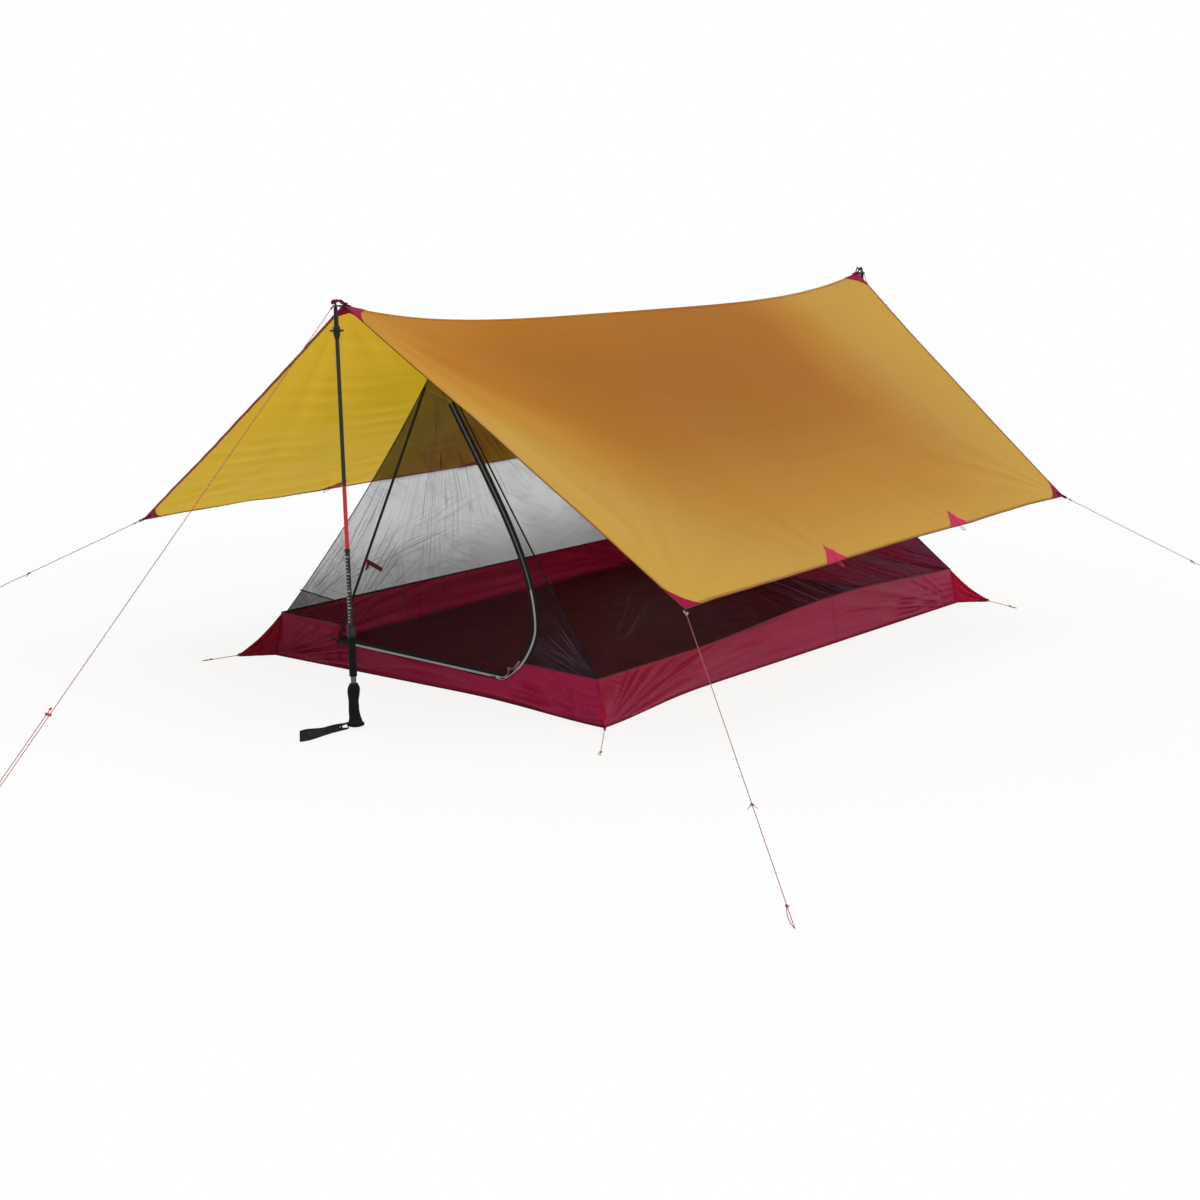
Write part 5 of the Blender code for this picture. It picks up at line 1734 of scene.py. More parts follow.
@dataclass(frozen=True)
class Fan:
    """Folds that spread from a held point.

    The heading is the middle direction of the fan and the spread is how far it opens on each
    side, both in radians over the cloth coordinates.
    """

    spot: tuple[float, float]
    heading: float
    spread: float
    folds: float
    reach: float
    height: float
    phase: float = 0.0

    def lift(self, x: Array, y: Array) -> Array:
        """The height at each point of the cloth.

        Args:
            x: Metres along the cloth.
            y: Metres across it.

        Returns:
            The heights, in metres.
        """
        dx = x - self.spot[0]
        dy = y - self.spot[1]
        radius = np.hypot(dx, dy)
        angle = np.arctan2(dy, dx) - self.heading
        angle = (angle + math.pi) % (2 * math.pi) - math.pi
        inside = ease(1.15 - np.abs(angle) / self.spread)
        wave = np.cos(self.folds * angle + self.phase + 0.6 * np.sin(self.folds * 0.41 * angle + self.phase))
        crest = 2 * ((wave + 1) / 2) ** 1.7 - 0.8
        grow = radius / self.reach * np.exp(1 - radius / self.reach)
        return self.height * inside * crest * grow


@dataclass(frozen=True)
class Ripples:
    """Long soft waves across a sheet.

    The heading is the direction across their crests, in radians over the cloth coordinates.
    """

    seed: int
    length: float
    height: float
    heading: float
    wander: float = 0.3
    count: int = 9

    def lift(self, x: Array, y: Array) -> Array:
        """The height at each point of the cloth.

        Args:
            x: Metres along the cloth.
            y: Metres across it.

        Returns:
            The heights, in metres.
        """
        rng = np.random.default_rng(self.seed)
        total = np.zeros(np.broadcast(x, y).shape)
        for _ in range(self.count):
            angle = self.heading + rng.normal(0.0, self.wander)
            size = self.length * rng.uniform(0.55, 1.7)
            phase = rng.uniform(0.0, 2 * math.pi)
            total = total + np.sin(2 * math.pi * (x * math.cos(angle) + y * math.sin(angle)) / size + phase)
        return self.height * total / math.sqrt(self.count / 2)


@dataclass(frozen=True)
class Pleat:
    """One long fold between two points of a sheet."""

    start: tuple[float, float]
    finish: tuple[float, float]
    width: float
    height: float

    def lift(self, x: Array, y: Array) -> Array:
        """The height at each point of the cloth.

        Args:
            x: Metres along the cloth.
            y: Metres across it.

        Returns:
            The heights, in metres.
        """
        a = np.array(self.start)
        run = np.array(self.finish) - a
        length = float(np.hypot(*run))
        way = run / length
        along = ((x - a[0]) * way[0] + (y - a[1]) * way[1]) / length
        across = -(x - a[0]) * way[1] + (y - a[1]) * way[0]
        ends = ease(along * 4) * ease((1 - along) * 4)
        return self.height * ends * np.exp(-((across / self.width) ** 2))


Fold = Fan | Ripples | Pleat


def total_lift(folds: Sequence[Fold], x: Array, y: Array) -> Array:
    """The heights of several folds together."""
    return sum((fold.lift(x, y) for fold in folds), np.zeros(np.broadcast(x, y).shape))


# Tarp


@dataclass(frozen=True)
class TarpShape:
    """The form of the pitched tarp: its ridge, its eaves and the cut of its edges."""

    ridge_y: tuple[float, float] = (-1.455, 1.412)
    ridge_height: tuple[float, float] = (1.220, 1.125)
    ridge_sag: float = 0.080
    sag_power: float = 4.0
    eave_half_width: float = 1.085
    eave_y: tuple[float, float] = (-1.248, 1.040)
    eave_height: tuple[float, float] = (0.428, 0.442)
    rear_left_drop: float = 0.055
    eave_hollow: tuple[float, float] = (0.010, 0.001)
    end_hollow: float = 0.010
    panel_sag: float = 0.012
    slope: float = 1.359

    def ridge(self, along: Array) -> Array:
        """Points of the ridge, which dips between its two ends.

        Args:
            along: Shares of the ridge, from 0 at the front to 1 at the rear.

        Returns:
            The points.
        """
        along = np.asarray(along, float)
        y = mix(self.ridge_y[0], self.ridge_y[1], along)
        chord = mix(self.ridge_height[0], self.ridge_height[1], along)
        return vec(0.0, y, chord - self.ridge_sag * (1 - np.abs(2 * along - 1) ** self.sag_power))

    def corner(self, side: Side, end: End) -> Array:
        """A corner of the eave.

        Args:
            side: The side of the shelter.
            end: The end of the shelter.

        Returns:
            The corner's point.
        """
        k = int(end.share)
        drop = self.rear_left_drop if (side, end) == (Side.LEFT, End.REAR) else 0.0
        return np.array((side.value * self.eave_half_width, self.eave_y[k], self.eave_height[k] - drop))

    def eave(self, side: Side, along: Array) -> Array:
        """Points of the eave, cut hollow between its corners.

        Args:
            side: The side of the shelter.
            along: Shares of the eave, from front to rear.

        Returns:
            The points.
        """
        along = np.asarray(along, float)[..., None]
        point = mix(self.corner(side, End.FRONT), self.corner(side, End.REAR), along)
        inward = unit(self.ridge(along[..., 0]) - point)
        hollow = self.eave_hollow[0 if side is Side.RIGHT else 1]
        return point + inward * hollow * 4 * along * (1 - along)

    def plain(self, side: Side, along: Array, down: Array) -> Array:
        """Points of one half of the tarp without its folds, from ridge (down 0) to eave.

        Args:
            side: The side of the shelter.
            along: Shares of the ridge's way, from front to rear.
            down: Shares of the way from the ridge to the eave.

        Returns:
            The points.
        """
        along, down = np.broadcast_arrays(np.asarray(along, float), np.asarray(down, float))
        upper = self.ridge(along) + np.array((side.value * 0.0008, 0.0, 0.0))
        point = mix(upper, self.eave(side, along), down[..., None])
        bow = 4 * down * (1 - down)
        point[..., 1] += self.end_hollow * bow * ((1 - along) ** 3 - along**3)
        point[..., 2] -= self.panel_sag * bow * 4 * along * (1 - along)
        return point

    def facing(self, side: Side) -> Array:
        """The way that a half of the tarp faces, upwards and outwards.

        Args:
            side: The side of the shelter.

        Returns:
            The direction.
        """
        eave = self.corner(side, End.REAR) - self.corner(side, End.FRONT)
        normal = unit(np.cross(eave, self.corner(side, End.FRONT) - self.ridge(0.0)))
        return normal if normal[2] > 0 else -normal


@dataclass
class TarpWing:
    """One half of the tarp, with the folds of its taut cloth."""

    side: Side
    shape: TarpShape
    folds: tuple[Fold, ...]
    columns: int = 240
    rows: int = 112
    thickness: float = 0.0008

    def facings(self, down: Array) -> Array:
        """The way the cloth faces, which turns upwards at the ridge."""
        turn = ease(np.asarray(down, float) * self.shape.slope / 0.02)[..., None]
        return unit(mix(UP, self.shape.facing(self.side), turn))

    def surface(self, along: Array, down: Array, lift: float = 0.0) -> Array:
        """Points of the cloth, or this far in front of it.

        Args:
            along: Shares of the way from front to rear.
            down: Shares of the way from the ridge to the eave.
            lift: How far in front of the cloth the points are.

        Returns:
            The points.
        """
        along, down = np.broadcast_arrays(np.asarray(along, float), np.asarray(down, float))
        point = self.shape.plain(self.side, along, down)
        drop = down * self.shape.slope
        edge = mix(0.35, 1.0, ease(np.minimum(along, 1 - along) / 0.07))
        height = total_lift(self.folds, point[..., 1], drop) * ease(drop / 0.10) * edge
        return point + self.facings(down) * (height + lift)[..., None]

    def coordinates(self, points: Array) -> Array:
        """Cloth coordinates: metres along the ridge and metres down the slope."""
        down_way = unit(self.shape.corner(self.side, End.FRONT) * (1, 0, 1) - self.shape.ridge(0.0) * (1, 0, 1))
        return np.stack((points[..., 1], (points - self.shape.ridge(0.0)) @ down_way), axis=-1)

    def sheet(self, name: str, along: Array, down: Array, lift: float, material: Material, thickness: float) -> Piece:
        """A piece of cloth that follows the wing at a small distance from it."""
        points = self.surface(along, down, lift)
        return grid_piece(name, points, self.coordinates(points), material, thickness)

    def build(self, material: Material) -> Piece:
        """The wing itself.

        Args:
            material: Its finish.

        Returns:
            The new object.
        """
        share = np.linspace(0.0, 1.0, self.columns)
        along = mix(share, 0.5 - 0.5 * np.cos(math.pi * share), 0.5)
        down = np.linspace(0.0, 1.0, self.rows)
        name = "tarp_wing_" + self.side.name.lower()
        return self.sheet(name, along[None, :], down[:, None], 0.0, material, self.thickness)

    def along_step(self, at_ridge: bool) -> float:
        """How much of the panel's length one metre is, at the ridge or the eave.

        Args:
            at_ridge: Whether it is measured at the ridge.

        Returns:
            The share of the length.
        """
        level = 0.0 if at_ridge else 1.0
        ends = self.shape.plain(self.side, np.array((0.0, 1.0)), level)
        return 1.0 / float(np.linalg.norm(ends[1] - ends[0]))

    def area(self) -> float:
        """The area of the flat cloth, in square metres."""
        along, down = np.linspace(0, 1, 60), np.linspace(0, 1, 30)
        return grid_area(self.shape.plain(self.side, along[None, :], down[:, None]))


@dataclass
class Tarp:
    """The ridge tarp: two wings, their seam and hems, reinforcements, tie-outs and tabs."""

    finishes: Finishes
    beads: SeamBeads
    shape: TarpShape = field(default_factory=TarpShape)
    patch_lift: float = 0.0013
    patch_thickness: float = 0.0006
    corner_legs: tuple[float, float] = (0.080, 0.090)
    ridge_legs: tuple[float, float] = (0.090, 0.080)
    patch_hollow: float = 0.16
    hem_width: float = 0.009
    hem_lift: float = 0.0011
    hem_thickness: float = 0.0006
    hem_margin: float = 0.002
    hem_stitch_lift: float = 0.0007
    tieout_lift: float = 0.0015
    tieout_webbing: tuple[float, float] = (0.0038, 0.0009)
    tieout_fold: tuple[tuple[tuple[float, float], ...], float] = (
        ((-0.014, 0.0030), (0.002, 0.0028), (0.019, 0.0034)),
        0.027,
    )
    loop_webbing: tuple[float, float] = (0.0066, 0.0018)
    tieout_half_base: float = 0.060
    tieout_height: float = 0.088
    tieout_y: tuple[float, float] = (-0.425, 0.327)
    tieout_left_shift: float = 0.070
    tieout_lean: float = 0.022
    edge_radius: tuple[float, float] = (0.0013, 0.0018)
    tab_reach: float = 0.035
    tab_width: float = 0.014
    tab_ring: float = 0.010
    tab_thickness: float = 0.0024
    tab_end: tuple[float, float] = (-0.002, 0.030)
    tip_hole: float = 0.0034
    loop_size: tuple[tuple[float, float], ...] = ((0.050, 0.013), (0.022, 0.016))
    stitch_pitch: float = 0.0052
    stitch_size: tuple[float, float, float] = (0.0036, 0.0006, 0.0005)
    bar_pitch: float = 0.0028
    bar_stitch_size: tuple[float, float, float] = (0.0024, 0.0006, 0.0005)

    def __post_init__(self) -> None:
        """Set the folds of each wing."""
        slope = self.shape.slope
        near = (
            Fan((-1.455, 0.0), 1.05, 0.75, 15.0, 0.34, 0.0026, 0.4),
            Fan((-1.248, slope), -0.80, 0.80, 17.0, 0.26, 0.0030, 1.2),
            Fan((1.412, 0.0), 2.05, 0.75, 14.0, 0.30, 0.0022, 2.0),
            Fan((1.040, slope), -2.35, 0.80, 16.0, 0.26, 0.0026, 0.1),
            Fan((-0.425, slope), -1.571, 1.25, 9.0, 0.14, 0.0022, 0.7),
            Fan((0.327, slope), -1.571, 1.25, 9.0, 0.14, 0.0022, 1.9),
            Ripples(11, 0.62, 0.0022, 1.45, 0.22),
            Ripples(12, 0.95, 0.0030, 0.35, 0.5),
            Ripples(13, 0.20, 0.0005, 0.9, 1.2, 14),
            Ripples(14, 0.060, 0.00030, 1.54, 0.07, 9),
            Pleat((-1.36, 0.25), (-1.19, 1.20), 0.018, 0.0022),
            Pleat((-1.30, 0.30), (-1.12, 1.15), 0.024, -0.0024),
            Pleat((-0.55, 0.62), (0.30, 0.68), 0.030, 0.0026),
            Pleat((-0.10, 0.84), (0.85, 0.80), 0.026, 0.0020),
        )
        far = (
            Fan((-1.455, 0.0), 1.15, 0.95, 26.0, 0.50, 0.0026, 1.3),
            Fan((-1.248, slope), -0.80, 0.85, 16.0, 0.30, 0.0018, 0.2),
            Fan((1.412, 0.0), 2.05, 0.8, 15.0, 0.34, 0.0026, 0.7),
            Fan((1.040, slope), -2.35, 0.8, 16.0, 0.28, 0.0028, 2.4),
            Fan((-0.355, slope), -1.571, 1.3, 9.0, 0.16, 0.0030, 0.3),
            Fan((0.397, slope), -1.571, 1.3, 9.0, 0.16, 0.0026, 1.1),
            Ripples(21, 0.55, 0.0012, 1.35, 0.25),
            Ripples(22, 0.90, 0.0014, 0.4, 0.5),
            Ripples(23, 0.19, 0.0005, 1.0, 1.2, 14),
            Ripples(24, 0.085, 0.00095, 1.50, 0.07, 9),
            Pleat((-1.38, 0.20), (-1.20, 1.22), 0.022, 0.0014),
            Pleat((-1.25, 0.35), (-0.80, 1.20), 0.028, 0.0016),
        )
        self.wings = {
            Side.RIGHT: TarpWing(Side.RIGHT, self.shape, near),
            Side.LEFT: TarpWing(Side.LEFT, self.shape, far),
        }
        self.seams: dict[str, list[tuple[Array, Array]]] = {"amber": [], "red": []}
        self.extras: dict[Side, list[Piece]] = {Side.RIGHT: [], Side.LEFT: []}

    def stitch(self, thread: str, wing: TarpWing, along: Array, down: Array, lift: float) -> None:
        """Note a row of stitches on the outside of a wing, and its twin on the inside.

        Args:
            thread: The thread's colour, amber or red.
            wing: The half of the tarp.
            along: The row's shares of the way from front to rear.
            down: Its shares of the way from the ridge to the eave.
            lift: How far off the cloth it lies.
        """
        along, down = np.broadcast_arrays(along, down)
        facing = wing.facings(down)
        self.seams[thread].append((wing.surface(along, down, lift), facing))
        self.seams[thread].append((wing.surface(along, down, -lift), -facing))

    def build_hems(self, wing: TarpWing) -> None:
        """The folded hems of a wing's two ends and its eave, with their stitches.

        Args:
            wing: The half of the tarp.
        """
        side = wing.side.name.lower()
        f = self.finishes
        down = np.linspace(0.004, 1.0, 120)
        across = np.linspace(0.0, self.hem_width, 3)
        parts = []
        for end in End:
            sign = -end.value
            step = mix(wing.along_step(True), wing.along_step(False), down)
            along = end.share + sign * across[:, None] * step[None, :]
            parts.append(wing.sheet("hem_a", along, down[None, :], -self.hem_lift, f.hem, 0.0))
            line = end.share + sign * (self.hem_width - self.hem_margin) * step
            self.stitch("amber", wing, line, down, self.hem_stitch_lift)
        share = np.linspace(0.0, 1.0, 240)
        drop = 1.0 - across / self.shape.slope
        parts.append(wing.sheet("hem_b", share[None, :], drop[:, None], -self.hem_lift, f.hem, 0.0))
        row = np.array(1.0 - (self.hem_width - self.hem_margin) / self.shape.slope)
        self.stitch("amber", wing, share, row, self.hem_stitch_lift)
        hem = joined("tarp_hem_" + side, parts)
        give_thickness(hem, self.hem_thickness)
        self.extras[wing.side].append(settle(hem, Body.SHELTER, Slot.AMBER))
        radius = self.edge_radius[0 if wing.side is Side.RIGHT else 1]
        rims = [wing.surface(np.full(120, end.share), down) for end in End]
        rims.append(wing.surface(share, np.ones(240)))
        edge = joined("tarp_edge_" + side, [tube("part", rim, radius, f.hem_edge, 6) for rim in rims])
        self.extras[wing.side].append(settle(edge, Body.SHELTER, Slot.AMBER))

    def patch_grid(self, wing: TarpWing, end: End, at_ridge: bool) -> tuple[Array, Array]:
        """The places of a corner's patch on a wing, hollow on its inner edge.

        Args:
            wing: The wing that it is on.
            end: The end of the corner.
            at_ridge: Whether the corner is at the ridge or at the eave.

        Returns:
            The share along and the share down at each point of the grid.
        """
        out = np.linspace(0.03, 1.0, 22)[:, None]
        turn = np.linspace(0.0, 1.0, 22)[None, :]
        side_leg, end_leg = self.ridge_legs if at_ridge else self.corner_legs
        bowed = out * (1 - self.patch_hollow * 4 * turn * (1 - turn) * out)
        along = end.share - end.value * bowed * (1 - turn) * side_leg * wing.along_step(at_ridge)
        drop = bowed * turn * end_leg / self.shape.slope
        down = drop if at_ridge else 1.0 - drop
        return along, down

    def build_patch(self, end: End, side: Side) -> Piece:
        """The reinforced corner of an eave, on both faces of the cloth.

        Args:
            end: The end of the shelter.
            side: The side of the shelter.

        Returns:
            The patch.
        """
        wing = self.wings[side]
        along, down = self.patch_grid(wing, end, False)
        name = "corner_patch_%s_%s" % (end.label, side.name.lower())
        parts = []
        for lift in (self.patch_lift, -self.patch_lift):
            parts.append(wing.sheet("part", along, down, lift, self.finishes.patch, 0.0))
        for row in (-2, -5):
            self.stitch("red", wing, along[row], down[row], self.patch_lift + 0.0004)
        patch = joined(name + "_cloth", parts)
        give_thickness(patch, self.patch_thickness)
        self.extras[side].append(patch)
        return settle(patch, Body.SHELTER, Slot.CRIMSON, name)

    def build_ridge_patch(self, end: End) -> Piece:
        """The reinforced end of the ridge, which folds over both wings.

        Args:
            end: The end of the shelter.

        Returns:
            The patch.
        """
        parts = []
        for wing in self.wings.values():
            along, down = self.patch_grid(wing, end, True)
            for lift in (self.patch_lift + 0.0006, -self.patch_lift):
                parts.append(wing.sheet("part", along, down, lift, self.finishes.patch, 0.0))
            for row in (-2, -5):
                self.stitch("red", wing, along[row], down[row], self.patch_lift + 0.0010)
        name = "ridge_patch_" + end.label
        patch = joined(name + "_cloth", parts)
        give_thickness(patch, self.patch_thickness)
        self.extras[Side.RIGHT].append(patch)
        return settle(patch, Body.SHELTER, Slot.CRIMSON, name)

    def build_ridge_seam(self) -> Piece:
        """The felled seam along the ridge.

        Returns:
            The seam.
        """
        along = np.linspace(0.0, 1.0, 260)
        reach = np.array((0.009, 0.006, 0.003, 0.001)) / self.shape.slope
        rows = []
        for wing, drops in ((self.wings[Side.RIGHT], reach), (self.wings[Side.LEFT], reach[::-1])):
            rows += [wing.surface(along, drop, 0.0011) for drop in drops]
            for drop in (0.0075, 0.0030):
                self.stitch("amber", wing, along, np.array(drop / self.shape.slope), 0.0016)
        points = np.array(rows)
        spread = np.array((-9, -6, -3, -1, 1, 3, 6, 9)) / 1000.0
        uv = np.stack(np.broadcast_arrays(points[..., 1], spread[:, None]), axis=-1)
        seam = grid_piece("tarp_ridge_seam", points, uv, self.finishes.tarp, 0.0007)
        self.extras[Side.LEFT].append(seam)
        return settle(seam, Body.SHELTER, Slot.AMBER)

    def build_tieout(self, side: Side, end: End) -> Piece:
        """A triangular tie-out on the eave, on both faces, with its little loop.

        Args:
            side: The side of the shelter.
            end: The end of the shelter.

        Returns:
            The tie-out's loop.
        """
        wing = self.wings[side]
        shift = self.tieout_left_shift if side is Side.LEFT else 0.0
        middle_y = self.tieout_y[int(end.share)] + shift
        span = self.shape.eave_y[1] - self.shape.eave_y[0]
        middle = (middle_y - self.shape.eave_y[0]) / span
        half = self.tieout_half_base / span
        rows = np.linspace(0.05, 1.0, 14)[:, None]
        across = np.linspace(-1.0, 1.0, 17)[None, :]
        down = 1.0 - (1.0 - rows) * self.tieout_height / self.shape.slope
        pinch = rows**1.45
        along = middle + half * across * pinch + self.tieout_lean / span * (1.0 - rows)
        f = self.finishes
        lifts = (self.tieout_lift, -self.tieout_lift)
        parts = [wing.sheet("part", along, down + 0 * along, lift, f.tieout, 0.0) for lift in lifts]
        name = "tieout_%s_%s" % (side.name.lower(), end.label)
        cloth = joined(name + "_cloth", parts)
        give_thickness(cloth, self.patch_thickness)
        self.extras[side].append(cloth)
        settle(cloth, Body.SHELTER, Slot.PINK, name)
        for edge in (1, -2):
            self.stitch("red", wing, along[:, edge], down[:, 0], 0.0020)
        base, above = (wing.surface(np.array(middle), np.array(down)) for down in (1.0, 0.9))
        path = folded(base, unit(base - above), self.shape.facing(side), *self.tieout_fold)
        up = unit(np.cross(np.array((0.0, 1.0, 0.0)), tangents(path)))
        width, thickness = self.tieout_webbing
        loop = ribbon(name + "_loop", path, up, width, thickness, f.rose_webbing)
        self.extras[side].append(loop)
        return settle(loop, Body.SHELTER, Slot.WEBBING)

    def tab_centre(self, end: End) -> Array:
        """The middle of the hole in a ridge tab, on the pole's line."""
        return self.shape.ridge(end.share) + np.array((0.0, end.value * self.tab_reach, 0.0))

    def build_tab(self, end: End) -> None:
        """The keyhole webbing tab and eyelet that slip over a pole's tip.

        Args:
            end: The end of the shelter.
        """
        centre = self.tab_centre(end)
        half = self.tab_width / 2
        neck = math.asin(half / self.tab_ring)
        start = math.pi / 2 - neck
        sweep = 2 * math.pi - 2 * neck
        arc = [start - sweep * i / 30 for i in range(31)]
        ring = [(self.tab_ring * math.cos(a), self.tab_ring * math.sin(a)) for a in arc]
        reach = self.tab_reach + 0.006
        outline = [(-half, reach), (half, reach), *ring]
        hole = circle(self.tip_hole, 24)
        x_axis = np.cross((0.0, -end.value, 0.0), UP)
        place = placement(centre, x_axis, UP)
        f = self.finishes
        name = "ridge_tab_%s_webbing" % end.label
        tab = plate(name, [outline, hole], self.tab_thickness, place, f.brown_webbing, 0.0005)
        settle(tab, Body.SHELTER, Slot.WEBBING, "ridge_tab_" + end.label)
        profile = []
        for i in range(10):
            a = 2 * math.pi * i / 10
            profile.append((self.tip_hole + 0.0013 + 0.0011 * math.cos(a), 0.0021 * math.sin(a)))
        eyelet = turned("ridge_tab_%s_eyelet" % end.label, profile, place, f.metal, 28, True)
        settle(eyelet, Body.SHELTER, Slot.METAL)
        self.build_tab_end(end)

    def build_tab_end(self, end: End) -> None:
        """The end of a tab that is sewn to the ridge, with its loop and its rows of stitches.

        Args:
            end: The end of the shelter.
        """
        f = self.finishes
        length = self.shape.ridge_y[1] - self.shape.ridge_y[0]
        inside = end.share - end.value * np.linspace(*self.tab_end, 9) / length
        lying = self.shape.ridge(inside) + UP * 0.0036
        patch = ribbon("ridge_tab_%s_end" % end.label, lying, UP, self.tab_width, 0.0016, f.brown_webbing)
        settle(patch, Body.SHELTER, Slot.WEBBING)
        self.build_ridge_loop(end)
        edge = self.tab_width / 2 - 0.002
        bar = [(lying[1:] + np.array((x, 0.0, 0.0010)), UP) for x in (-edge, 0.0, edge)]
        name = "ridge_tab_%s_stitches" % end.label
        stitches = self.beads.make(name, bar, self.bar_pitch, self.bar_stitch_size, f.black_thread)
        settle(stitches, Body.SHELTER, Slot.WEBBING)

    def build_ridge_loop(self, end: End) -> None:
        """The loop of webbing that stands up from an end of the ridge.

        Args:
            end: The end of the shelter.
        """
        out = np.array((0.0, end.value, 0.0))
        root = self.shape.ridge(end.share) + UP * 0.0030
        aside = np.array((0.0062, 0.0, 0.0))
        length, rise = self.loop_size[0 if end is End.FRONT else 1]
        run = ((-0.25, 0.0), (0.06, 0.30), (0.30, 0.85), (0.62, 1.0), (0.88, 0.72))
        half_way = [root + aside * (0.8 + 0.5 * a) + out * length * a + UP * rise * b for a, b in run]
        back = [point * (-1, 1, 1) for point in half_way[::-1]]
        knots = [*half_way, root + out * length + UP * rise * 0.50, *back]
        path = round_curve(knots, 5)
        up = unit(np.cross(tangents(path), UP))
        width, thickness = self.loop_webbing
        loop = ribbon("ridge_loop_" + end.label, path, up, width, thickness, self.finishes.brown_webbing)
        settle(loop, Body.SHELTER, Slot.WEBBING)

    def build(self) -> None:
        """Make every piece of the tarp."""
        cloths = {}
        for side, wing in self.wings.items():
            cloths[side] = wing.build(self.finishes.tarp)
            settle(cloths[side], Body.SHELTER, Slot.AMBER, "tarp_panel_" + side.name.lower())
            self.build_hems(wing)
            for end in End:
                self.build_patch(end, side)
                self.build_tieout(side, end)
        self.build_ridge_seam()
        for end in End:
            self.build_ridge_patch(end)
            self.build_tab(end)
        threads = (("amber", self.finishes.amber_thread, Slot.AMBER), ("red", self.finishes.red_thread, Slot.CRIMSON))
        for thread, material, slot in threads:
            rows = self.seams[thread]
            row = self.beads.make("tarp_stitches_" + thread, rows, self.stitch_pitch, self.stitch_size, material)
            settle(row, Body.SHELTER, slot)
        for side, cloth in cloths.items():
            self.wings[side].area()


# Cords


@dataclass(frozen=True)
class CornerLine:
    """A guyline from an eave corner to the ground."""

    label: str
    side: Side
    end: End
    ground: tuple[float, float]
    knots: tuple[float, ...] = (0.5, 0.93)


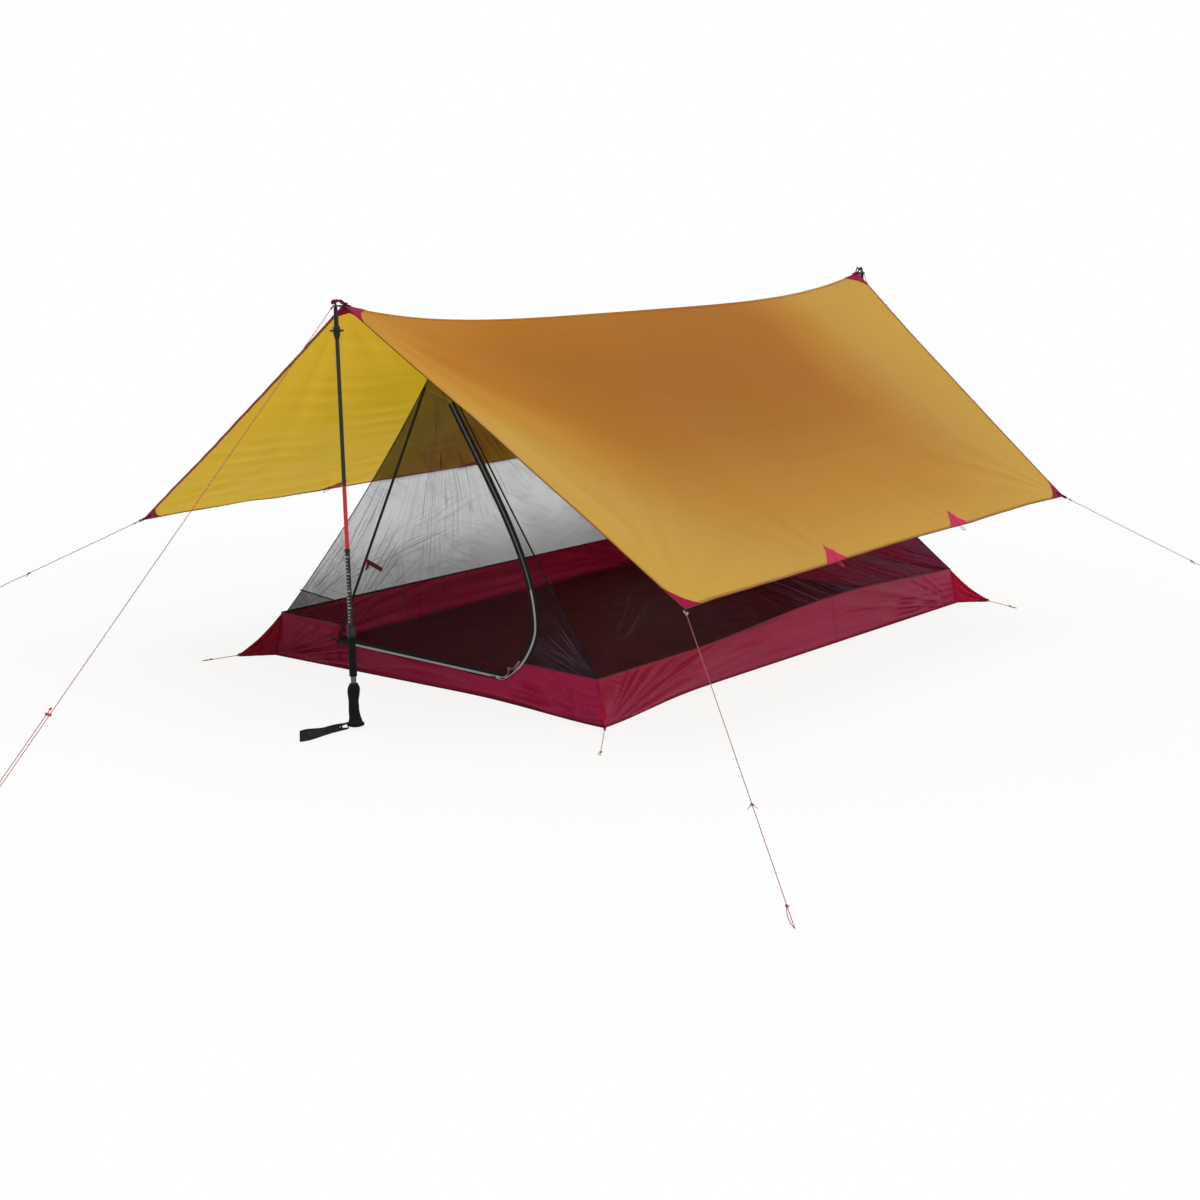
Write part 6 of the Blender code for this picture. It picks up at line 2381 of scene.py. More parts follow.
@dataclass
class GuyLines:
    """Every guyline and stake cord, with their knots, tensioners and adjuster."""

    tarp: Tarp
    radius: float = 0.0011
    tensioner_length: float = 0.026
    ring_radius: float = 0.0066
    ring_wire: float = 0.0013
    corner_webbing: tuple[float, float] = (0.010, 0.0010)
    front_ground: tuple[float, float] = (0.0, -2.873)
    rear_ground: tuple[float, float] = (-0.140, 2.500)
    turn_radius: float = 0.0055
    adjuster_from_ground: float = 0.330
    adjuster_tail: float = 0.018
    adjuster_size: tuple[float, float, float] = (0.0118, 0.0050, 0.0058)
    adjuster_waist: float = 0.18
    clear: float = 0.0003
    hitch_size: float = 0.0036
    apex_hitch_size: float = 0.0040
    knot_size: float = 0.0048
    stake_knot_size: float = 0.0042
    knot_tail: float = 0.016
    eye_width: float = 0.007
    stake_eye: tuple[float, float] = (0.030, 0.006)
    corners: tuple[CornerLine, ...] = (
        CornerLine("front_right", Side.RIGHT, End.FRONT, (2.130, -2.287), (0.652, 0.941)),
        CornerLine("front_left", Side.LEFT, End.FRONT, (-1.800, -1.760), (0.42, 0.93)),
        CornerLine("rear_right", Side.RIGHT, End.REAR, (1.653, 1.719), (0.55, 0.93)),
    )
    stakes: tuple[tuple[str, tuple[float, float, float], tuple[float, float]], ...] = (
        ("front_right", (0.7413, -1.1548, 0.0060), (0.896, -1.383)),
        ("front_left", (-0.7413, -1.1548, 0.0060), (-0.790, -1.280)),
        ("rear_right", (0.7413, 1.1548, 0.0060), (0.880, 1.125)),
    )

    @property
    def finishes(self) -> Finishes:
        """The shelter's finishes."""
        return self.tarp.finishes

    def on_ground(self, spot: tuple[float, float]) -> Array:
        """Where a cord rests on the ground."""
        return np.array((spot[0], spot[1], self.radius))

    def knot(self, name: str, spot: Array, way: Array, size: float, material: Material, tails: float = 0.0) -> Piece:
        """An overhand knot with its tails, drawn tight round its cord.

        Args:
            name: The piece's name.
            spot: Its middle.
            way: The cord's direction there.
            size: Its radius across the cord.
            material: The cord's finish.
            tails: How long a loose end is, or 0 for none.

        Returns:
            The new object.
        """
        t = np.linspace(0.0, 2 * math.pi, 61)[:-1]
        local = vec(np.sin(t) + 2 * np.sin(2 * t), np.cos(t) - 2 * np.cos(2 * t), -np.sin(3 * t) * 1.1)
        hint = UP if abs(way[2]) < 0.9 else np.array((1.0, 0.0, 0.0))
        side = unit(np.cross(way, hint))
        up = np.cross(side, way)
        path = spot + (local[:, :1] * way * 1.25 + local[:, 1:2] * side + local[:, 2:3] * up) * size / 3.0
        loop = np.vstack((path, path[:1]))
        parts = [tube("part", loop, self.radius * 1.05, material, 8)]
        if tails:
            droop = np.array((0.0, 0.0, -0.35))
            for turn in (1, -1):
                out = unit(side * turn + way * 0.6 + droop)
                knots = [spot, spot + out * tails * 0.5, spot + out * tails + np.array((0, 0, -0.15 * tails))]
                parts.append(tube("part", round_curve(knots, 5), self.radius * 0.9, material, 8))
        return joined(name, parts)

    def end_loop(self, name: str, start: Array, finish: Array, width: float, material: Material) -> Piece:
        """The long eye that a cord ends in: a second strand beside its last stretch.

        Args:
            name: The piece's name.
            start: Where the second strand leaves the cord.
            finish: Where it meets it again.
            width: How far apart they are.
            material: The cord's finish.

        Returns:
            The new object.
        """
        way = unit(finish - start)
        side = unit(np.cross(way, UP))
        t = np.linspace(0.0, 1.0, 24)[:, None]
        path = start + (finish - start) * t + side * width * np.sin(math.pi * t) ** 0.7
        path[:, 2] = np.maximum(path[:, 2], self.radius)
        return tube(name, path, self.radius, material, 8)

    def build_corner(self, line: CornerLine) -> None:
        """A guyline with its webbing tab, ring and knots.

        Args:
            line: The guyline.
        """
        f = self.finishes
        corner = self.tarp.shape.corner(line.side, line.end)
        ground = self.on_ground(line.ground)
        way = unit(ground - corner)
        near = corner + way * 0.0006
        start = near + way * (self.tensioner_length + self.clear)
        path = resample(np.array((start, ground)), 36)
        cord = tube("guyline_%s_cord" % line.label, path, self.radius, f.guy)
        settle(cord, Body.SHELTER, Slot.CORD, "guyline_" + line.label)
        knots = [self.knot("guyline_%s_hitch" % line.label, start + way * 0.004, way, self.hitch_size, f.guy)]
        for i, share in enumerate(line.knots):
            tails = self.knot_tail if i == 0 else 0.0
            name = "guyline_%s_knot_%d" % (line.label, i + 1)
            knots.append(self.knot(name, mix(start, ground, share), way, self.knot_size, f.guy, tails))
        last = mix(start, ground, line.knots[-1])
        knots.append(self.end_loop("guyline_%s_eye" % line.label, last, ground, self.eye_width, f.guy))
        for piece in knots:
            settle(piece, Body.SHELTER, Slot.CORD)
        self.build_tensioner(line, near, way)

    def build_tensioner(self, line: CornerLine, near: Array, way: Array) -> None:
        """The ring at a corner and the webbing that holds it.

        Args:
            line: The guyline.
            near: Where the webbing leaves the tarp.
            way: The guyline's direction.
        """
        f = self.finishes
        facing = self.tarp.shape.facing(line.side)
        flat = unit(facing - way * np.dot(facing, way))
        centre = near + way * (self.tensioner_length - self.ring_radius - 0.0016)
        across = np.cross(way, flat)
        t = np.linspace(0.0, 2 * math.pi, 40, endpoint=False)
        ring_path = centre + (np.outer(np.cos(t), way) + np.outer(np.sin(t), across)) * self.ring_radius
        closed = np.vstack((ring_path, ring_path[:1]))
        ring = tube("tensioner_%s_ring" % line.label, closed, self.ring_wire, f.metal, 10)
        settle(ring, Body.SHELTER, Slot.METAL, "tensioner_" + line.label)
        turn = float((centre - near) @ way) - self.ring_radius + 0.0026
        path = folded(near, way, flat, ((-0.030, 0.0030), (0.0, 0.0022), (turn - 0.002, 0.0018)), turn)
        up = unit(np.cross(across, tangents(path)))
        width, thickness = self.corner_webbing
        tab = ribbon("corner_%s_webbing" % line.label, path, up, width, thickness, f.black_webbing)
        settle(tab, Body.SHELTER, Slot.WEBBING)

    def build_front(self) -> None:
        """The front guyline: down to its stake, round, and back up to the adjuster."""
        f = self.finishes
        centre = self.tarp.tab_centre(End.FRONT)
        start = centre + np.array((0.0, -(self.tarp.tab_ring + self.radius + self.clear), 0.0))
        ground = self.on_ground(self.front_ground)
        way = unit(ground - start)
        across = unit(np.cross(way, UP))
        turn_centre = ground - way * self.turn_radius + across * self.turn_radius
        straight = float(np.linalg.norm(ground - start)) - self.turn_radius
        down = resample(np.array((start, start + way * straight)), 48)
        angles = math.pi * np.arange(1, 12)[:, None] / 12
        bend = turn_centre + (-across * np.cos(angles) + way * np.sin(angles)) * self.turn_radius
        back = turn_centre + across * self.turn_radius
        tail = back - way * (self.adjuster_from_ground + self.adjuster_tail)
        path = np.vstack((down, bend, resample(np.array((back, tail)), 14)))
        cord = tube("guyline_ridge_front_cord", path, self.radius, f.guy)
        settle(cord, Body.SHELTER, Slot.CORD, "guyline_ridge_front")
        stop = self.knot("guyline_ridge_front_stop", tail, way, self.hitch_size, f.guy)
        hitch = self.knot("guyline_ridge_front_hitch", start + way * 0.006, way, self.apex_hitch_size, f.guy)
        eye = self.tip_eye(End.FRONT, way)
        for piece in (stop, hitch, eye):
            settle(piece, Body.SHELTER, Slot.CORD)
        on_line = ground - way * (self.adjuster_from_ground + self.turn_radius)
        self.build_adjuster(on_line + across * self.turn_radius, across, way)

    def tip_eye(self, end: End, way: Array) -> Piece:
        """The small eye of cord round the tab, from which a ridge guyline runs.

        Args:
            end: The end of the shelter.
            way: The guyline's direction.

        Returns:
            The new object.
        """
        centre = self.tarp.tab_centre(end) + np.array((0.0, 0.0, 0.0028))
        level = unit(np.array((way[0], way[1], 0.0)))
        side = np.cross(UP, level)
        t = np.linspace(-2.75, 2.75, 30)[:, None]
        path = centre + (level * np.cos(t) * -1 + side * np.sin(t)) * 0.0062
        lead = centre + level * 0.0125 + np.array((0.0, 0.0, -0.0025))
        path = np.vstack((lead, path, lead))
        return tube("guyline_ridge_%s_eye" % end.label, path, self.radius * 0.9, self.finishes.guy, 8)

    def build_adjuster(self, centre: Array, across: Array, way: Array) -> None:
        """The two-holed adjuster, a waisted plate with rounded edges.

        Args:
            centre: Its middle.
            across: The direction from one hole to the other.
            way: The guyline's direction.
        """
        place = placement(centre, across, way)
        long, wide, thick = self.adjuster_size
        outline = []
        for i in range(48):
            right, up = squared(2 * math.pi * i / 48, 0.75)
            x = long * right
            outline.append((x, wide * up * (1 - self.adjuster_waist + self.adjuster_waist * (x / long) ** 2)))
        hole = self.radius + 0.0004
        loops = [outline, *(circle(hole, 16, x) for x in (-self.turn_radius, self.turn_radius))]
        body = plate("line_adjuster", loops, thick, place, self.finishes.red_plastic, 0.0009)
        settle(body, Body.LINE_ADJUSTER, Slot.RED_PLASTIC, "guyline_adjuster")

    def build_rear(self) -> None:
        """The rear guyline."""
        f = self.finishes
        centre = self.tarp.tab_centre(End.REAR)
        ground = self.on_ground(self.rear_ground)
        level = unit((ground - centre) * (1, 1, 0))
        start = centre + level * (self.tarp.tab_ring + self.radius + self.clear)
        way = unit(ground - start)
        path = resample(np.array((start, ground)), 40)
        cord = tube("guyline_ridge_rear_cord", path, self.radius, f.guy)
        settle(cord, Body.SHELTER, Slot.CORD, "guyline_ridge_rear")
        last = mix(start, ground, 0.95)
        pieces = [
            self.knot("guyline_ridge_rear_hitch", start + way * 0.006, way, self.apex_hitch_size, f.guy),
            self.tip_eye(End.REAR, way),
            self.knot("guyline_ridge_rear_knot", last, way, self.knot_size, f.guy, self.knot_tail),
            self.end_loop("guyline_ridge_rear_loop", last, ground, self.eye_width, f.guy),
        ]
        for piece in pieces:
            settle(piece, Body.SHELTER, Slot.CORD)

    def build_stakes(self) -> None:
        """The short cords from the floor's corners, each with an eye at its end."""
        f = self.finishes
        for label, ear, ground in self.stakes:
            low = self.on_ground(ground)
            way = unit(low - np.array(ear))
            start = np.array(ear) + way * 0.0007
            path = resample(np.array((start, low)), 16)
            cord = tube("stake_cord_%s_cord" % label, path, self.radius, f.stake)
            settle(cord, Body.SHELTER, Slot.CORD, "stake_cord_" + label)
            eye_length, eye_width = self.stake_eye
            eye, size = low - way * eye_length, self.stake_knot_size
            knots = [
                self.knot("stake_cord_%s_hitch" % label, start + way * 0.008, way, size, f.stake),
                self.knot("stake_cord_%s_knot" % label, eye + UP * 0.0012, way, size, f.stake),
                self.end_loop("stake_cord_%s_eye" % label, eye, low, eye_width, f.stake),
            ]
            for piece in knots:
                settle(piece, Body.SHELTER, Slot.CORD)

    def build(self) -> None:
        """Make every cord and what is on it."""
        for line in self.corners:
            self.build_corner(line)
        self.build_front()
        self.build_rear()
        self.build_stakes()


# Inner tent


@dataclass(frozen=True)
class InnerShape:
    """The form of the inner tent: floor, walls, peaks, hip seams and the door's zip."""

    floor: tuple[float, float] = (1.331, 2.134)
    gap: float = 0.0008
    lean: float = 0.021
    wall: float = 0.121
    front_left_wall: float = 0.145
    middle_rise: tuple[float, float] = (0.000, 0.036)
    rise_centre: float = 0.300
    rise_reach: float = 0.950
    ear: tuple[float, float] = (0.075, 0.087)
    ear_tip: float = 0.012
    peak: tuple[float, float] = (1.018, 0.660)
    setback: tuple[float, float] = (0.032, 0.068)
    ridge_sag: float = 0.020
    hip_hollow: tuple[float, float, float] = (0.030, 0.002, 0.018)
    seam_top_x: float = -0.042
    seam_top_drop: float = 0.085
    door_top: tuple[float, float] = (0.060, 0.123)
    door_left_x: float = -0.391
    door_side: tuple[float, float] = (0.408, 0.245)
    door_corner_x: float = 0.285
    threshold: float = 0.0725
    threshold_left: float = 0.0885

    def half_width(self, height: Array) -> Array:
        """How far a side wall is from the centre line."""
        return self.floor[0] / 2 + self.gap - self.lean * np.asarray(height, float) / self.wall

    def end_y(self, end: End, height: Array) -> Array:
        """Where an end of the inner tent is, which leans in towards its peak.

        Args:
            end: The end of the shelter.
            height: Metres above the ground.

        Returns:
            The Y of the end's plane there.
        """
        k = int(end.share)
        base = self.floor[1] / 2 + self.gap
        return end.value * (base - self.setback[k] * np.asarray(height, float) / self.peak[k])

    def corner(self, side: Side, end: End) -> float:
        """The height of the walls at a corner of the floor."""
        return self.front_left_wall if (side, end) == (Side.LEFT, End.FRONT) else self.wall

    def side_top(self, side: Side, y: Array) -> Array:
        """The height of a side wall, which rises towards its middle.

        Args:
            side: The side of the shelter.
            y: Places along the wall.

        Returns:
            The heights.
        """
        swing = np.cos(math.pi / 2 * np.minimum(1.0, np.abs(y - self.rise_centre) / self.rise_reach))
        share = (y + self.floor[1] / 2) / self.floor[1]
        rise = self.middle_rise[1 if side is Side.RIGHT else 0]
        return mix(self.corner(side, End.FRONT), self.corner(side, End.REAR), share) + rise * swing**2

    def plain_front_top(self, x: Array) -> Array:
        """The height of the front wall's straight top, which is higher on the left."""
        half = float(self.half_width(0.0))
        return mix(self.front_left_wall, self.wall, (np.asarray(x, float) + half) / (2 * half))

    def hip(self, height: Array, side: Side, end: End) -> Array:
        """How far a hip seam is from the centre line.

        Args:
            height: Metres above the ground.
            side: The side of the shelter.
            end: The end of the shelter.

        Returns:
            The distances, in metres.
        """
        k = int(end.share)
        left, right, rear = self.hip_hollow
        hollow = rear if end is End.REAR else (left if side is Side.LEFT else right)
        share = (np.asarray(height, float) - self.wall) / (self.peak[k] - self.wall)
        return float(self.half_width(self.wall)) * (1 - share) - hollow * 4 * share * (1 - share)

    def route(self) -> Array:
        """The zip's line in (x, height), from the top, round the corner, to the left seam.

        Returns:
            The line's points.
        """
        top = np.array((self.door_top[0], self.peak[0] - self.door_top[1]))
        side = np.array(self.door_side)
        corner = np.array((self.door_corner_x, self.threshold))
        left = np.array((self.door_left_x, self.threshold_left))
        upper = bezier(top, top + (0.190, -0.275), side + (-0.008, 0.185), side, 60)
        lower = bezier(side, side + (0.001, -0.070), corner + (0.044, -0.0012), corner, 30)
        level = np.stack([mix(corner, left, t) for t in np.linspace(0, 1, 40)[1:]])
        return np.vstack((upper, lower[1:], level))

    def beside_route(self, distance: float) -> Array:
        """The zip's line moved away from the door by this distance.

        Args:
            distance: How far outwards, or inwards where it is negative.

        Returns:
            The line's points.
        """
        line = self.route()
        way = tangents(line)
        return line + np.stack((-way[:, 1], way[:, 0]), axis=-1) * distance

    def front_top(self, x: Array) -> Array:
        """The height of the front wall, which dips under the door.

        Args:
            x: Places across the wall.

        Returns:
            The heights.
        """
        edge = self.beside_route(0.0026)
        low = edge[edge[:, 1] < self.plain_front_top(edge[:, 0])][::-1]
        dip = np.interp(x, low[:, 0], low[:, 1], left=9.0, right=9.0)
        return np.minimum(self.plain_front_top(x), dip)

    def seam_x(self, height: Array) -> Array:
        """The door's left seam, a straight line that the door swings about.

        Args:
            height: Metres above the ground.

        Returns:
            The X of the seam there.
        """
        top = self.peak[0] - self.seam_top_drop
        share = (np.asarray(height, float) - self.threshold_left) / (top - self.threshold_left)
        return mix(self.door_left_x, self.seam_top_x, share)

    def on_end(self, end: End, x: Array, height: Array, outward: float = 0.0) -> Array:
        """A point of an end's plane, or this far outside it."""
        return vec(x, self.end_y(end, height) + end.value * outward, height)

    def ridge(self, share: Array) -> Array:
        """Points of the seam between the two side nettings.

        Args:
            share: Shares of the ridge, from front to rear.

        Returns:
            The points.
        """
        share = np.asarray(share, float)[..., None]
        front = np.array((0.0, float(self.end_y(End.FRONT, self.peak[0])) + 0.001, self.peak[0]))
        rear = np.array((0.0, float(self.end_y(End.REAR, self.peak[1])) - 0.001, self.peak[1]))
        return mix(front, rear, share) - UP * self.ridge_sag * 4 * share * (1 - share)


@dataclass
class InnerTent:
    """The mesh inner tent: floor, walls with corner ears, netting, seams and hanging straps."""

    finishes: Finishes
    beads: SeamBeads
    tarp: Tarp
    shape: InnerShape = field(default_factory=InnerShape)
    cloth: float = 0.0009
    net: float = 0.0005
    seam_width: float = 0.0048
    hip_width: float = 0.0044
    front_hip_width: float = 0.0052
    stitch_pitch: float = 0.0050
    stitch_size: tuple[float, float, float] = (0.0034, 0.0006, 0.0005)
    binding_thickness: float = 0.0016
    base_strip: tuple[float, float] = (0.0070, 0.0008)
    base_height: float = 0.0042
    outside: float = 0.0008
    ear_sag: float = 0.010
    ear_webbing: tuple[float, float] = (0.010, 0.0011)
    ear_strap_height: float = 0.0062
    ear_strap_fold: tuple[tuple[tuple[float, float], ...], float] = (
        ((-0.030, 0.0022), (-0.008, 0.0020), (0.003, 0.0026)),
        0.008,
    )
    draw: tuple[float, float] = (0.058, -0.066)
    draw_reach: float = 0.60
    draw_height: float = 0.135

    def __post_init__(self) -> None:
        """Start with no stitches noted."""
        self.red_rows: list[tuple[Array, Array]] = []

    def build_floor(self) -> None:
        """The floor, laid on the ground with low wrinkles."""
        half_x, half_y = self.shape.floor[0] / 2, self.shape.floor[1] / 2
        x = np.linspace(-half_x, half_x, 120)[None, :]
        y = np.linspace(-half_y, half_y, 190)[:, None]
        folds = (Ripples(31, 0.16, 0.0011, 0.5, 1.2, 14), Ripples(32, 0.42, 0.0012, 1.3, 0.8))
        swell = total_lift(folds, x, y)
        edge = ease((half_x - np.abs(x)) / 0.05) * ease((half_y - np.abs(y)) / 0.05)
        z = 0.0006 + np.maximum(0.0, swell + 0.0010) * edge
        points = self.drawn_out(vec(x, y, z))
        sheet = grid_piece("floor_sheet", points, points[..., :2], self.finishes.floor, self.cloth)
        settle(sheet, Body.SHELTER, Slot.FLOOR, "inner_floor")

    def drawn_out(self, points: Array) -> Array:
        """The cloth near the front right floor corner, which its taut cord draws outwards.

        Args:
            points: Points of the floor or of a wall.

        Returns:
            The moved points.
        """
        corner = (self.shape.floor[0] / 2, -self.shape.floor[1] / 2)
        away = np.hypot(points[..., 0] - corner[0], points[..., 1] - corner[1])
        share = ease(1.0 - away / self.draw_reach) ** 1.5 * ease(1.0 - points[..., 2] / self.draw_height)
        return points + share[..., None] * np.array((*self.draw, 0.0))

    def wall_lift(self, seed: int, distance: Array, height: Array, top: Array, length: float) -> Array:
        """The folds of a wall, which are pulled flat at its base, its top and its ends.

        Args:
            seed: Fixes the folds.
            distance: Metres along the wall.
            height: Metres up it.
            top: How tall it is there.
            length: How long it is.

        Returns:
            How far it bulges outwards.
        """
        folds: tuple[Fold, ...] = (
            Fan((-0.03, -0.012), 0.17, 0.24, 62.0, 0.45, 0.0062, seed * 0.7),
            Fan((-0.02, -0.010), 0.48, 0.34, 46.0, 0.20, 0.0044, seed * 0.5),
            Fan((length + 0.80, 0.025), math.pi, 0.10, 240.0, 1.10, 0.0034, seed * 0.9),
            Fan((length + 0.03, -0.012), math.pi - 0.17, 0.24, 62.0, 0.40, 0.0054, seed * 0.2),
            Fan((length + 0.02, -0.010), math.pi - 0.46, 0.30, 46.0, 0.16, 0.0034, seed * 0.2),
            Fan((0.0, 0.13), -0.55, 0.45, 40.0, 0.12, 0.0020, seed * 0.4),
            Ripples(seed, 0.085, 0.0006, 1.46, 0.05, 12),
            Ripples(seed + 1, 0.45, 0.0022, 1.2, 0.4),
            Ripples(seed + 2, 0.030, 0.00016, 1.42, 0.12, 12),
        )
        rise = height / top
        held = ease(rise * 7) * ease((1 - rise) * 9) * ease(distance / 0.03) * ease((length - distance) / 0.03)
        sag = 0.0035 * np.sin(math.pi * rise) ** 1.2
        return (total_lift(folds, distance, height) + sag) * held

    def build_end_wall(self, end: End) -> None:
        """The wall across one end of the floor, with the ear at each corner.

        Args:
            end: The end of the shelter.
        """
        s = self.shape
        half = float(s.half_width(0.0))
        level = np.linspace(0.0, 1.0, 50)[:, None]
        x = np.linspace(-half, half, 240)[None, :]
        top = s.front_top(x) if end is End.FRONT else np.full_like(x, s.wall)
        height = top * level
        narrow = s.half_width(height) / half
        at_corner = ease((np.abs(x) / half - 0.90) / 0.10)
        across = x * mix(1.0, narrow, at_corner)
        lift = self.wall_lift(41 if end is End.FRONT else 51, x + half, height, top, 2 * half)
        points = s.on_end(end, across, height)
        points[..., 1] += end.value * lift
        points = self.drawn_out(points)
        parts = []
        f = self.finishes
        uv = np.stack(np.broadcast_arrays(x, height), axis=-1)
        cloth = f.front_wall if end is End.FRONT else f.wall
        parts.append(grid_piece("part", points, uv, cloth))
        parts += [self.make_ear(end, side, level) for side in Side]
        wall = joined("%s_wall_cloth" % end.label, parts)
        give_thickness(wall, self.cloth)
        settle(wall, Body.SHELTER, Slot.CRIMSON, "inner_wall_" + end.label)
        outward = np.array((0.0, float(end.value), 0.0))
        binding, base = self.edge_strips(end.label, points, outward, f.dusky_tape)
        self.red_rows.append((points[2] + outward * self.outside, outward))

    def make_ear(self, end: End, side: Side, level: Array) -> Piece:
        """The ear at a corner of the floor, crumpled towards its tip, and its webbing loop.

        Args:
            end: The end of the shelter.
            side: The side of the shelter.
            level: Shares of its height, as one column.

        Returns:
            The ear.
        """
        s = self.shape
        f = self.finishes
        sign = side.value
        out = np.linspace(0.0, 1.0, 34)[None, :]
        foot = level * s.corner(side, end)
        inner = vec(sign * s.half_width(foot), s.end_y(end, foot), foot)
        tip_x = sign * (float(s.half_width(0.0)) + s.ear[0])
        tip = vec(tip_x, float(s.end_y(end, 0.0)) + end.value * s.ear[1], s.ear_tip * level)
        ear = mix(inner, tip, out[..., None])
        ear[..., 2] -= self.ear_sag * np.sin(math.pi * out) * level
        way = unit(np.array((sign * s.ear[0], end.value * s.ear[1], 0.0)))
        aside = np.array((-way[1], way[0], 0.0))
        fans = np.sin(level * 17.0 + sign) * 0.0030 + np.sin(level * 31.0 + 1.3) * 0.0012
        crumple = fans * np.sin(math.pi * np.minimum(out * 1.15, 1.0)) ** 0.8
        crumple = crumple + 0.0012 * np.sin(out * 20 + level * 9) * np.sin(math.pi * out)
        if side is Side.RIGHT and end is End.FRONT:
            bunched = np.sin(level * 9.5 + 0.5) * 0.0085 + np.sin(level * 24.0) * 0.0030
            crumple = crumple + bunched * np.sin(math.pi * np.minimum(out * 1.1, 1.0)) ** 0.7
        ear = ear + aside * crumple[..., None]
        ear[..., 2] = np.maximum(ear[..., 2], 0.0006)
        uv = np.stack(np.broadcast_arrays(out * math.hypot(*s.ear), ear[..., 2]), axis=-1)
        # Left ears take the copy with painted shade and right ears the copy with painted light.
        piece = grid_piece("part", ear, uv, f.ear if side is Side.LEFT else f.bright_ear)
        self.build_ear_strap(end, side, tip[-1, 0], way)
        return piece

    def edge_strips(self, label: str, points: Array, outward: Array, tape: Material) -> tuple[Piece, Piece]:
        """The binding along a wall's top and the red strip along its foot.

        Args:
            label: The wall's word in the names of its pieces.
            points: The wall's grid of points, from its foot to its top.
            outward: The way that it faces.
            tape: The binding's finish.

        Returns:
            The binding and the strip.
        """
        rim = points[-1] + UP * 0.0004
        binding = ribbon("%s_wall_binding" % label, rim, outward, self.seam_width, self.binding_thickness, tape)
        settle(binding, Body.SHELTER, Slot.WEBBING)
        # The foot strip is a seam, and its dark red also stands in for the shade at the wall's foot: partly painted
        # shade.
        width, thickness = self.base_strip
        foot = points[0] * (1, 1, 0) + outward * self.outside + UP * self.base_height
        base = ribbon("%s_wall_base" % label, foot, outward, width, thickness, self.finishes.red_webbing)
        settle(base, Body.SHELTER, Slot.CRIMSON)
        return binding, base

    def build_ear_strap(self, end: End, side: Side, tip: Array, way: Array) -> None:
        """The webbing loop at an ear's tip, which holds the stake cord.

        Args:
            end: The end of the shelter.
            side: The side of the shelter.
            tip: The ear's tip.
            way: The direction that the ear points in.
        """
        aside = np.array((-way[1], way[0], 0.0))
        path = folded(np.array((tip[0], tip[1], self.ear_strap_height)), way, aside, *self.ear_strap_fold)
        up = unit(np.cross(UP, tangents(path)))
        name = "ear_strap_%s_%s" % (end.label, side.name.lower())
        width, thickness = self.ear_webbing
        strap = ribbon(name, path, up, width, thickness, self.finishes.red_webbing)
        settle(strap, Body.SHELTER, Slot.WEBBING)

    def build_side_wall(self, side: Side) -> None:
        """The wall along one side of the floor, with the upright seam in its middle.

        Args:
            side: The side of the shelter.
        """
        s = self.shape
        f = self.finishes
        share = np.linspace(0.0, 1.0, 340)[None, :]
        level = np.linspace(0.0, 1.0, 54)[:, None]
        y = mix(float(s.end_y(End.FRONT, 0.0)), float(s.end_y(End.REAR, 0.0)), share)
        top = s.side_top(side, y)
        height = top * level
        front = s.end_y(End.FRONT, height) + 0.001
        rear = s.end_y(End.REAR, height) - 0.001
        length = s.floor[1]
        lift = self.wall_lift(61 if side is Side.RIGHT else 71, share * length, height, top, length)
        x = side.value * (s.half_width(np.minimum(height, s.wall)) + lift)
        points = self.drawn_out(vec(x, mix(front, rear, share), height))
        uv = np.stack(np.broadcast_arrays(share * length, height), axis=-1)
        name = side.name.lower()
        wall = grid_piece("%s_wall_cloth" % name, points, uv, f.wall, self.cloth)
        settle(wall, Body.SHELTER, Slot.CRIMSON, "inner_wall_" + name)
        outward = np.array((float(side.value), 0.0, 0.0))
        tape = f.dusky_tape if side is Side.RIGHT else f.seam_tape
        binding, base = self.edge_strips(name, points, outward, tape)
        column = int(0.6205 * 339)
        upright = points[:, column] + outward * 0.0009
        seam = ribbon("%s_wall_seam" % name, upright, outward, 0.009, 0.0007, f.wall)
        settle(seam, Body.SHELTER, Slot.CRIMSON)
        for dy in (-0.003, 0.003):
            self.red_rows.append((upright[1:] + outward * 0.0006 + np.array((0.0, dy, 0.0)), outward))
        self.red_rows.append((points[2] + outward * self.outside, outward))

    def side_net_points(self, side: Side, across: Array, up: Array) -> Array:
        """Points of a sloping netting, from its wall to the inner ridge.

        Args:
            side: The side of the shelter.
            across: Shares of the way from front to rear.
            up: Shares of the way from the wall to the inner ridge.

        Returns:
            A grid of points.
        """
        s = self.shape

        def lower(u: Array) -> Array:
            """The edge on the wall.

            Args:
                u: Shares of the way from front to rear.

            Returns:
                The points.
            """
            guess = mix(float(s.end_y(End.FRONT, 0.0)), float(s.end_y(End.REAR, 0.0)), u)
            height = s.side_top(side, guess) + 0.0008
            y = mix(s.end_y(End.FRONT, height) + 0.001, s.end_y(End.REAR, height) - 0.001, u)
            return vec(side.value * s.half_width(np.minimum(height, s.wall)), y, height)

        def upper(u: Array) -> Array:
            """The edge at the inner ridge."""
            return s.ridge(u) + np.array((side.value * 0.0008, 0.0, 0.0))

        def hip(end: End, v: Array) -> Array:
            """The sloping edge at one end.

            Args:
                end: The end of the shelter.
                v: Shares of the way from the wall to the inner ridge.

            Returns:
                The points.
            """
            height = mix(s.corner(side, end) + 0.0008, s.peak[int(end.share)], v)
            x = np.maximum(s.hip(height, side, end), 0.0008)
            return vec(side.value * x, s.end_y(end, height) - end.value * 0.001, height)

        u, v = across[None, :, None], up[:, None, None]
        low, high = lower(across)[None], upper(across)[None]
        front, rear = hip(End.FRONT, up)[:, None], hip(End.REAR, up)[:, None]
        corners = mix(mix(low[:, :1], low[:, -1:], u), mix(high[:, :1], high[:, -1:], u), v)
        return mix(low, high, v) + mix(front, rear, u) - corners

